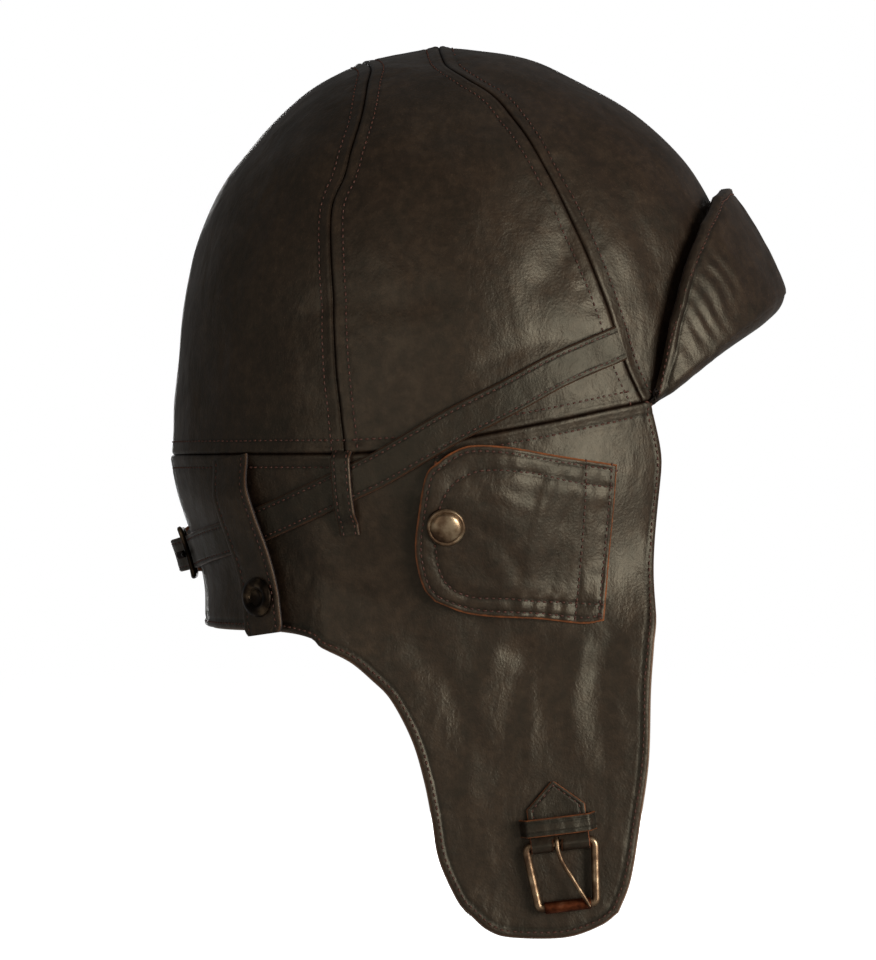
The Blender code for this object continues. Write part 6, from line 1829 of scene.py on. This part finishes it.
# %% Chin buckle frame and roller
BUCKLE_X, BUCKLE_LEVEL, BUCKLE_HEIGHT, BUCKLE_TILT = 0.0344, -0.1350, 0.0220, math.radians(7.0)
BUCKLE_WIRE, CHAPE_WALL, ROLLER_RADIUS, PRONG_WIRE = 0.0012, 0.0013, 0.0021, 0.0008
BUCKLE_TOP, BUCKLE_FOOT, BUCKLE_BENDS, THICKENED = 0.0122, 0.0100, (0.0030, 0.0030, 0.0016, 0.0016), 0.00025
ROLLER_HALF, ROLLER_ROUND, ROLLER_SIDE = 0.0081, 0.0079, 0.0075
ALONG_BAR = np.array((math.cos(BUCKLE_TILT), 0.0, math.sin(BUCKLE_TILT)))
UP_BUCKLE = np.array((-math.sin(BUCKLE_TILT), 0.0, math.cos(BUCKLE_TILT)))
bar_lift = LAY_GAP + CHAPE_WALL + BAR_GAP + BUCKLE_WIRE


def buckle_point(across, lift, rise):
    """A place beside the middle of the chin buckle's bar: along it, out of the flap and up."""
    return np.array((BUCKLE_X, -(FLAP_Y + lift), BUCKLE_LEVEL)) + across * ALONG_BAR + rise * UP_BUCKLE


corners = [(-BUCKLE_TOP, 0.0), (BUCKLE_TOP, 0.0)]
corners += [(BUCKLE_FOOT, -BUCKLE_HEIGHT), (-BUCKLE_FOOT, -BUCKLE_HEIGHT)]
frame_points = [buckle_point(a, bar_lift, d) for a, d in rounded_frame(corners, BUCKLE_BENDS)]
wire = BUCKLE_WIRE + THICKENED
buckle_frame = tube("brass_chin_buckle_frame", frame_points, wire, BRASS, closed=True, sides=20)
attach(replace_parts(buckle_frame, "chin_buckle_frame"), "chin_buckle_frame")
bore = BUCKLE_WIRE + RUNNING_GAP
tube_profile = [
    (bore, ROLLER_HALF), (ROLLER_RADIUS - 0.0003, ROLLER_HALF), (ROLLER_RADIUS - 0.00006, ROLLER_ROUND),
    (ROLLER_RADIUS, ROLLER_SIDE), (ROLLER_RADIUS, 0.0), (ROLLER_RADIUS, -ROLLER_SIDE),
    (ROLLER_RADIUS - 0.00006, -ROLLER_ROUND), (ROLLER_RADIUS - 0.0003, -ROLLER_HALF), (bore, -ROLLER_HALF),
    (bore, 0.0),
]
foot_bar = buckle_point(0.0, bar_lift, -BUCKLE_HEIGHT)
roller = turned("copper_chin_buckle_roller", tube_profile, foot_bar, ALONG_BAR, COPPER)
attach(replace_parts(roller, "chin_buckle_roller"), "chin_buckle_roller")
print("chin buckle", round(2000 * BUCKLE_TOP, 1), "mm wide, roller", round(2000 * ROLLER_HALF, 1), "mm")

# %% Chin buckle prong
PRONG_OFFSET, PRONG_SWEEP, EYE_START, PRONG_TAPER = -0.0011, 0.0108, math.radians(250.0), 0.004
PRONG_SHAPE = ((0.0, 0.10), (0.08, 0.28), (0.30, 0.52), (0.55, 0.78), (0.71, 0.94), (0.80, 1.04))
ring = BUCKLE_WIRE + RUNNING_GAP + PRONG_WIRE
rest = ROLLER_RADIUS + RUNNING_GAP + PRONG_WIRE
prong_path = [
    (PRONG_OFFSET, ring * math.cos(turn), ring * math.sin(turn)) for turn in np.linspace(EYE_START, 0.0, 16)
]
prong_path += [
    (PRONG_OFFSET + sweep * PRONG_SWEEP, ring + (rest - ring) * min(1.0, down), -down * BUCKLE_HEIGHT)
    for sweep, down in PRONG_SHAPE
]
prong_path = drawn([buckle_point(across, bar_lift + lift, rise) for across, lift, rise in prong_path], 120)
to_tip = np.linalg.norm(prong_path - prong_path[-1], axis=1)
prong_radii = PRONG_WIRE * (0.55 + 0.45 * np.clip(to_tip / PRONG_TAPER, 0.0, 1.0))
prong = tube("brass_chin_buckle_prong", prong_path, prong_radii, BRASS, guide=(1.0, 0.0, 0.0), sides=14)
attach(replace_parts(prong, "chin_buckle_prong"), "chin_buckle_prong")
print("prong", round(1000 * run_along(prong_path)[-1], 1), "mm of wire")

# %% Nape buckle
NAPE_BEND, NAPE_PRONG = 0.0022, 0.0006
side, foot = nape_half, NAPE_HEIGHT / 2
corners = ((-side, -foot), (side, -foot), (side, foot), (-side, foot))
nape_path = [
    laid(head, nape_turn(a), NAPE_LEVEL + d, nape_bar)[0] for a, d in rounded_frame(corners, (NAPE_BEND,) * 4)
]
guide = (-1.0, 0.0, 0.0)
nape_frame = tube("brass_nape_buckle_frame", nape_path, NAPE_WIRE, DARK_BRASS, closed=True, guide=guide)
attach(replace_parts(nape_frame, "nape_buckle_frame"), "helmet")
ring = NAPE_WIRE + RUNNING_GAP + NAPE_PRONG
prong_path = [
    (nape_half + ring * math.sin(turn), nape_bar + ring * math.cos(turn))
    for turn in np.linspace(EYE_START, 0.0, 14)
]
prong_path += [(nape_half - share * nape_half, nape_bar + ring) for share in (0.4, 1.0, 1.6, 2.2)]
prong_path = drawn([laid(head, nape_turn(a), NAPE_LEVEL, lift)[0] for a, lift in prong_path], 80)
guide = (0.0, 0.0, 1.0)
nape_prong = tube("brass_nape_buckle_prong", prong_path, NAPE_PRONG, DARK_BRASS, guide=guide, sides=12)
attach(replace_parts(nape_prong, "nape_buckle_prong"), "helmet")
print("nape buckle", round(1000 * NAPE_SPAN), "by", round(1000 * NAPE_HEIGHT, 1), "mm")

# %% [markdown]
# ## Chin-strap leather
# The chape is the pointed patch that holds the buckle: it wraps the bar, and its end is sewn back on itself
# under the keeper. On the left flap the strap's end is sewn on the same way, and its free part is turned up
# inside the flap. Each is a strap swept along rows of height over the flap and rise from a seat.


# %% Straps on an ear flap
FLAP_STRAP_ROW, CHAPE_BACK, CHAPE_TURN, CHAPE_RETURN, CHAPE_SEWN = 0.0021, 0.0212, 0.0040, 0.009, 0.0165
CHAPE_HALF, CHAPE_POINT, CHAPE_SLOT = 0.01025, 0.0088, (0.0120, 0.0029, 0.0063)


def flap_strip(name, rows, halves, seat, side, wall, group, stitched, tilt=0.0):
    """A strap on an ear flap from rows of height over the flap and rise from its seat. It is sewn between two
    of its rows."""
    lift, rise = np.asarray(rows, float).T
    x, level = seat[0] - rise * math.sin(tilt), seat[1] + rise * math.cos(tilt)
    middle = laid(head, side * angle_at(x, level), level, lift)[0]
    middle[:, 0] = x
    across = np.tile((math.cos(tilt), 0.0, math.sin(tilt)), (len(rows), 1))
    out = square_to(middle, across)
    out *= np.sign(out[3, 1]) * side
    back = middle - out * wall / 2
    piece = strip(name, back, across, out, halves, wall, [STRAP_LEATHER, RAW_EDGE], FLAP_STRAP_ROW)
    for points, normals in strip_rows(back, across, out, halves, wall, FLAP_STRAP_ROW, None, *stitched):
        stitch_row(group, points, normals)
    return piece


chape_middle = LAY_GAP + CHAPE_WALL / 2
chape_radius = BUCKLE_WIRE + BAR_GAP + CHAPE_WALL / 2
chape_above = chape_middle + CHAPE_WALL + RUNNING_GAP
knots = [(chape_middle, rise) for rise in np.linspace(CHAPE_BACK, CHAPE_TURN, 12)]
knots += [
    (bar_lift + chape_radius * math.cos(turn), chape_radius * math.sin(turn))
    for turn in np.linspace(math.pi, 2.0 * math.pi, 17)
]
knots += [(chape_above + chape_radius / 2, 0.45 * CHAPE_RETURN)]
knots += [(chape_above, 0.70 * CHAPE_RETURN), (chape_above, CHAPE_RETURN)]
rows = drawn(knots, 110)
run = run_along(rows)
halves = CHAPE_HALF * np.clip(0.06 + 0.94 * run / CHAPE_POINT, 0.0, 1.0)
sewn_part, seat = (4, int(np.argmax(run > CHAPE_SEWN))), (BUCKLE_X, BUCKLE_LEVEL)
chape = flap_strip(
    "leather_chin_chape", rows, halves, seat, -1, CHAPE_WALL, "ear_flap_right", sewn_part, BUCKLE_TILT
)
cut_box(chape, buckle_point(PRONG_OFFSET, bar_lift, -0.0008), (0.0, -1.0, 0.0), CHAPE_SLOT)
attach(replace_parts(chape, "chin_chape"), "ear_flap_right")
print("chape", round(1000 * run[-1]), "mm of leather")

# %% Chin keeper
KEEPER_RISE = (
    (0.0, 0.0), (0.015, 0.0), (0.085, 0.95), (0.30, 1.05), (0.70, 1.05), (0.915, 0.95), (0.985, 0.0), (1.0, 0.0),
)
CHIN_KEEPER_HEIGHT, CHIN_KEEPER_RISE, CHIN_KEEPER_SPAN, CHIN_KEEPER_HALF = 0.0060, 0.0062, 0.0262, 0.0031
CHIN_KEEPER_ROW, KEEPER_POINTS = 0.0013, 120
shares = np.linspace(0.0, 1.0, KEEPER_POINTS)
lifts = risen(KEEPER_RISE, LAY_GAP + CHAPE_WALL / 2, CHIN_KEEPER_HEIGHT, shares)
places = (shares - 0.5) * CHIN_KEEPER_SPAN
middle = np.array([buckle_point(place, lift, CHIN_KEEPER_RISE) for place, lift in zip(places, lifts)])
across = np.tile(UP_BUCKLE, (KEEPER_POINTS, 1))
out = square_to(middle, across)
out *= np.sign(-out[KEEPER_POINTS // 2, 1])
back, materials = middle - out * CHAPE_WALL / 2, [STRAP_LEATHER, RAW_EDGE]
size = CHIN_KEEPER_HALF, CHAPE_WALL
keeper = strip("leather_chin_keeper", back, across, out, *size, materials, CHIN_KEEPER_ROW, None, 0.0003)
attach(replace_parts(keeper, "chin_keeper"), "ear_flap_right")
print("chin keeper faces", len(keeper.data.polygons))

# %% Chin strap
CHIN_X, CHIN_WALL, CHIN_BEND, CHIN_TOP, CHIN_POINT = 0.0270, 0.0018, -0.1712, -0.1138, 0.0090
CHIN_FREE, CHIN_HALF, LINING_GAP, LINING_LAYER = 0.0900, 0.0095, 0.0007, 0.0012
HOLES, HOLE_FIRST, HOLE_PITCH, HOLE_SIZE = 5, 0.020, 0.0105, (0.006, 0.0026, 0.0026)


def chin_blend(piece):
    """Bakes the piece's transform into its mesh, which then stands at the origin."""
    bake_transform(piece)


chin_outer = LAY_GAP + CHIN_WALL / 2
chin_inner = -LEATHER_WALL - LINING_GAP - LINING_LAYER - LAY_GAP - CHIN_WALL / 2
bend_radius = (chin_outer - chin_inner) / 2
knots = [(chin_outer, level) for level in np.linspace(CHIN_TOP, CHIN_BEND, 24)[:-1]]
knots += [
    (chin_outer - bend_radius + bend_radius * math.cos(turn), CHIN_BEND - bend_radius * math.sin(turn))
    for turn in np.linspace(0.0, math.pi, 15)
]
knots += [(chin_inner, level) for level in np.linspace(CHIN_BEND, CHIN_BEND + CHIN_FREE, 34)[1:]]
rows = drawn(knots, 230)
run = run_along(rows)
halves = CHIN_HALF * np.clip(0.06 + 0.94 * np.minimum(run, run[-1] - run) / CHIN_POINT, 0.0, 1.0)
chin = flap_strip("leather_chin_strap", rows, halves, (CHIN_X, 0.0), 1, CHIN_WALL, "chin", (5, -5))
for k in range(HOLES):
    level = CHIN_BEND + CHIN_FREE - HOLE_FIRST - HOLE_PITCH * k
    seat = laid(head, float(angle_at(CHIN_X, level)), level, chin_inner)[0]
    cut_box(chin, (CHIN_X, seat[1], level), (0.0, 1.0, 0.0), HOLE_SIZE)
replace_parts(chin, "chin_strap_patch", "chin_strap")
chin_blend(chin)
print("chin strap", round(1000 * run[-1]), "mm long")

# %% [markdown]
# ## Stitches
# A stitch is a thick thread that rises out of one hole and goes down the next. Drawn in a material it would
# stay flat at the silhouette, so every stitch is a real thread here. A small Geometry Nodes tree lays one
# after another along every row, 2.3 mm apart, turns each along its row and out of the leather, and varies
# their length a little. The result is made into plain meshes, one for each body or bend.


# %% Stitch shape
STITCH_RINGS, STITCH_SIDES, STITCH_HALF, THREAD_RADIUS, THREAD_FLAT = 7, 6, 0.00074, 0.00025, 1.25
THREAD_TAPER = (0.6, 0.9, 1.0, 1.0, 1.0, 0.9, 0.6)


def stitch_shape():
    """One bent thread, which is thinner where it goes into the leather."""
    ways = np.linspace(-1.0, 1.0, STITCH_RINGS)
    spine = np.stack([ways * STITCH_HALF, np.zeros(STITCH_RINGS), 0.00010 - 0.00042 * ways**4], axis=1)
    turn = np.linspace(0.0, 2.0 * math.pi, STITCH_SIDES, endpoint=False)
    ring = np.stack([np.zeros(STITCH_SIDES), np.cos(turn) * THREAD_FLAT, np.sin(turn)], axis=1)
    radii = THREAD_RADIUS * np.array(THREAD_TAPER)
    grid = spine[:, None] + radii[:, None, None] * ring[None]
    faces = [tuple(quad[k] for k in (0, 3, 2, 1)) for quad in ring_faces(STITCH_RINGS, STITCH_SIDES)]
    points = range(STITCH_RINGS * STITCH_SIDES)
    faces += [tuple(points[:STITCH_SIDES]), tuple(points[-STITCH_SIDES:][::-1])]
    mesh = bpy.data.meshes.new("stitch_shape")
    mesh.from_pydata(grid.reshape(-1, 3).tolist(), [], faces)
    mesh.shade_smooth()
    return new_object("stitch_shape", mesh)


shape = stitch_shape()
thread_faces = len(shape.data.polygons)
print("a thread has", thread_faces, "faces")


# %% Stitch tree
STITCH_PITCH, STITCH_SCALES = 0.0023, (0.88, 1.10)


def stitch_tree(shape):
    """Geometry Nodes that lay the thread along a mesh's edges, upright on its "out" directions."""
    tree = bpy.data.node_groups.new("stitch_rows", "GeometryNodeTree")
    for label, kind in (("Geometry", "Geometry"), ("Pitch", "Float"), ("Seed", "Int")):
        tree.interface.new_socket(label, in_out="INPUT", socket_type=f"NodeSocket{kind}")
    tree.interface.new_socket("Geometry", in_out="OUTPUT", socket_type="NodeSocketGeometry")
    given, result = add(tree, "NodeGroupInput"), add(tree, "NodeGroupOutput")
    curve = add(tree, "GeometryNodeMeshToCurve", {"Mesh": given.outputs["Geometry"]})
    spacing = {"Curve": curve.outputs[0], "Length": given.outputs["Pitch"]}
    even = add(tree, "GeometryNodeResampleCurve", spacing, mode="LENGTH")
    tangent = add(tree, "GeometryNodeInputTangent")
    along = add(tree, "FunctionNodeAlignRotationToVector", {"Vector": tangent.outputs[0]}, axis="X")
    out = add(tree, "GeometryNodeInputNamedAttribute", {"Name": "out"}, data_type="FLOAT_VECTOR")
    turned_out = {"Rotation": along.outputs[0], "Vector": out.outputs["Attribute"]}
    upright = add(tree, "FunctionNodeAlignRotationToVector", turned_out, axis="Z", pivot_axis="X")
    low, high = STITCH_SCALES
    vary = add(tree, "FunctionNodeRandomValue", {2: low, 3: high, "Seed": given.outputs["Seed"]})
    thread_shape = add(tree, "GeometryNodeObjectInfo", {"Object": shape})
    rows = add(tree, "GeometryNodeInstanceOnPoints", {
        "Points": even.outputs[0], "Instance": thread_shape.outputs["Geometry"],
        "Rotation": upright.outputs[0], "Scale": vary.outputs[1],
    })
    plain = add(tree, "GeometryNodeRealizeInstances", {"Geometry": rows.outputs[0]})
    coloured = add(tree, "GeometryNodeSetMaterial", {"Geometry": plain.outputs[0], "Material": THREAD})
    tree.links.new(coloured.outputs[0], result.inputs[0])
    return tree


tree = stitch_tree(shape)
sockets = {item.name: item.identifier for item in tree.interface.items_tree if item.in_out == "INPUT"}
print("stitch tree", len(tree.nodes), "nodes")

# %% Sewing
stitches = {}
for number, (group, rows) in enumerate(sorted(SEWING.items())):
    edges, start = [], 0
    for points, _ in rows:
        edges += [(start + k, start + k + 1) for k in range(len(points) - 1)]
        start += len(points)
    mesh = bpy.data.meshes.new(f"thread_{group}")
    mesh.from_pydata(np.vstack([points for points, _ in rows]).tolist(), edges, [])
    outs = np.vstack([out for _, out in rows])
    attribute = mesh.attributes.new("out", "FLOAT_VECTOR", "POINT")
    attribute.data.foreach_set("vector", outs.reshape(-1).astype(np.float32))
    piece = new_object(f"thread_{group}", mesh)
    sewn = piece.modifiers.new("stitches", "NODES")
    sewn.node_group = tree
    sewn[sockets["Pitch"]] = STITCH_PITCH
    sewn[sockets["Seed"]] = number
    apply_modifiers(piece)
    piece.data.materials.clear()
    piece.data.materials.append(THREAD)
    stitches[group] = piece
bpy.data.objects.remove(shape, do_unlink=True)
for group, piece in stitches.items():
    kind, _, side_name = group.partition("_")
    if group in ("helmet", "ear_flap_right"):
        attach(piece, group)
    elif kind == "flap":
        flap_blend(piece)
    elif kind == "cover":
        cover_blend(piece)
    elif kind == "tab":
        tab_blend(piece)
    elif kind == "brow":
        brow_blend(piece)
    else:
        chin_blend(piece)
print("stitches", {group: len(piece.data.polygons) // thread_faces for group, piece in stitches.items()})

# %% [markdown]
# ## Floor, backdrop and light
# The photograph has a plain white page behind the helmet. A lit white wall would throw its light on the
# leather's rims and make the dark brown grey, so floor and world are white only to the camera and through
# glass. Four large soft lights do the lighting: a strong key from the front, a weak fill, and one from
# behind and one from the top that draw the rims.

# %% White page
SHINE_SHARE = 0.07


def page_rays(tree):
    """Share of the white page that a ray sees: all of it straight on or through glass, 0.07 of it in a shine.
    The photograph's leather has dark rims, and the full white in its shine would turn them grey."""
    light = add(tree, "ShaderNodeLightPath")
    straight = {0: light.outputs["Is Camera Ray"], 1: light.outputs["Is Transmission Ray"]}
    through = add(tree, "ShaderNodeMath", straight, operation="ADD")
    in_shine = {0: light.outputs["Is Glossy Ray"], 1: SHINE_SHARE, 2: through.outputs[0]}
    return add(tree, "ShaderNodeMath", in_shine, operation="MULTIPLY_ADD", use_clamp=True).outputs[0]


FLOOR_LEVEL, FLOOR_HALF, FLOOR_GLOW = -0.27, 4.0, 0.93
floor_mesh = bpy.data.meshes.new("floor")
corners = [(x * FLOOR_HALF, y * FLOOR_HALF, FLOOR_LEVEL) for x, y in ((-1, -1), (1, -1), (1, 1), (-1, 1))]
floor_mesh.from_pydata(corners, [], [(0, 1, 2, 3)])
floor = new_object("floor", floor_mesh)
# Matt white paper, which takes a soft shadow and has almost no shine.
floor_material, tree, shader, _ = new_material("white_paper_floor")
shader.inputs["Base Color"].default_value = linear("#cfcfcf")
shader.inputs["Roughness"].default_value = 0.9
shader.inputs["Specular IOR Level"].default_value = 0.1
glow = add(tree, "ShaderNodeMath", {0: page_rays(tree), 1: FLOOR_GLOW}, operation="MULTIPLY")
white = add(tree, "ShaderNodeEmission", {"Color": (1.0, 1.0, 1.0, 1.0), "Strength": glow.outputs[0]})
mixed = add(tree, "ShaderNodeAddShader", {0: shader.outputs[0], 1: white.outputs[0]})
tree.links.new(mixed.outputs[0], tree.nodes["Material Output"].inputs["Surface"])
floor_mesh.materials.append(floor_material)
print("floor at", FLOOR_LEVEL)

# %% World and lights
SKY_STRENGTH = 0.10
world = bpy.data.worlds.new("studio")
bpy.context.scene.world = world
world.use_nodes = True
tree = world.node_tree
background = tree.nodes["Background"]
soft_sky = add(tree, "ShaderNodeBackground", {"Color": (1.0, 1.0, 1.0, 1.0), "Strength": SKY_STRENGTH})
background.inputs["Color"].default_value = (1.0, 1.0, 1.0, 1.0)
background.inputs["Strength"].default_value = 1.0
seen = {0: page_rays(tree), 1: soft_sky.outputs[0], 2: background.outputs[0]}
mixed = add(tree, "ShaderNodeMixShader", seen)
tree.links.new(mixed.outputs[0], tree.nodes["World Output"].inputs["Surface"])


def softbox(name, place, aim, size, power):
    """A rectangular soft light of a size in metres and a power in watts, turned to its aim."""
    data = bpy.data.lights.new(name, "AREA")
    data.shape = "RECTANGLE"
    data.size, data.size_y = size
    data.energy = power
    obj = new_object(name, data)
    obj.location = place
    obj.rotation_euler = (Vector(aim) - Vector(place)).to_track_quat("-Z", "Y").to_euler()


softbox("key", (1.30, -1.40, 0.06), (0.0, -0.04, -0.01), (0.9, 1.0), 38.0)
softbox("fill", (-1.0, -1.6, 0.0), (0.0, 0.0, 0.0), (1.2, 1.2), 5.0)
softbox("back", (-0.10, 1.7, 0.12), (0.0, 0.0, 0.0), (0.7, 0.7), 14.0)
softbox("top", (0.3, -0.4, 1.9), (0.0, 0.0, 0.0), (1.2, 1.2), 1.2)
bpy.context.scene.view_settings.view_transform = "Standard"
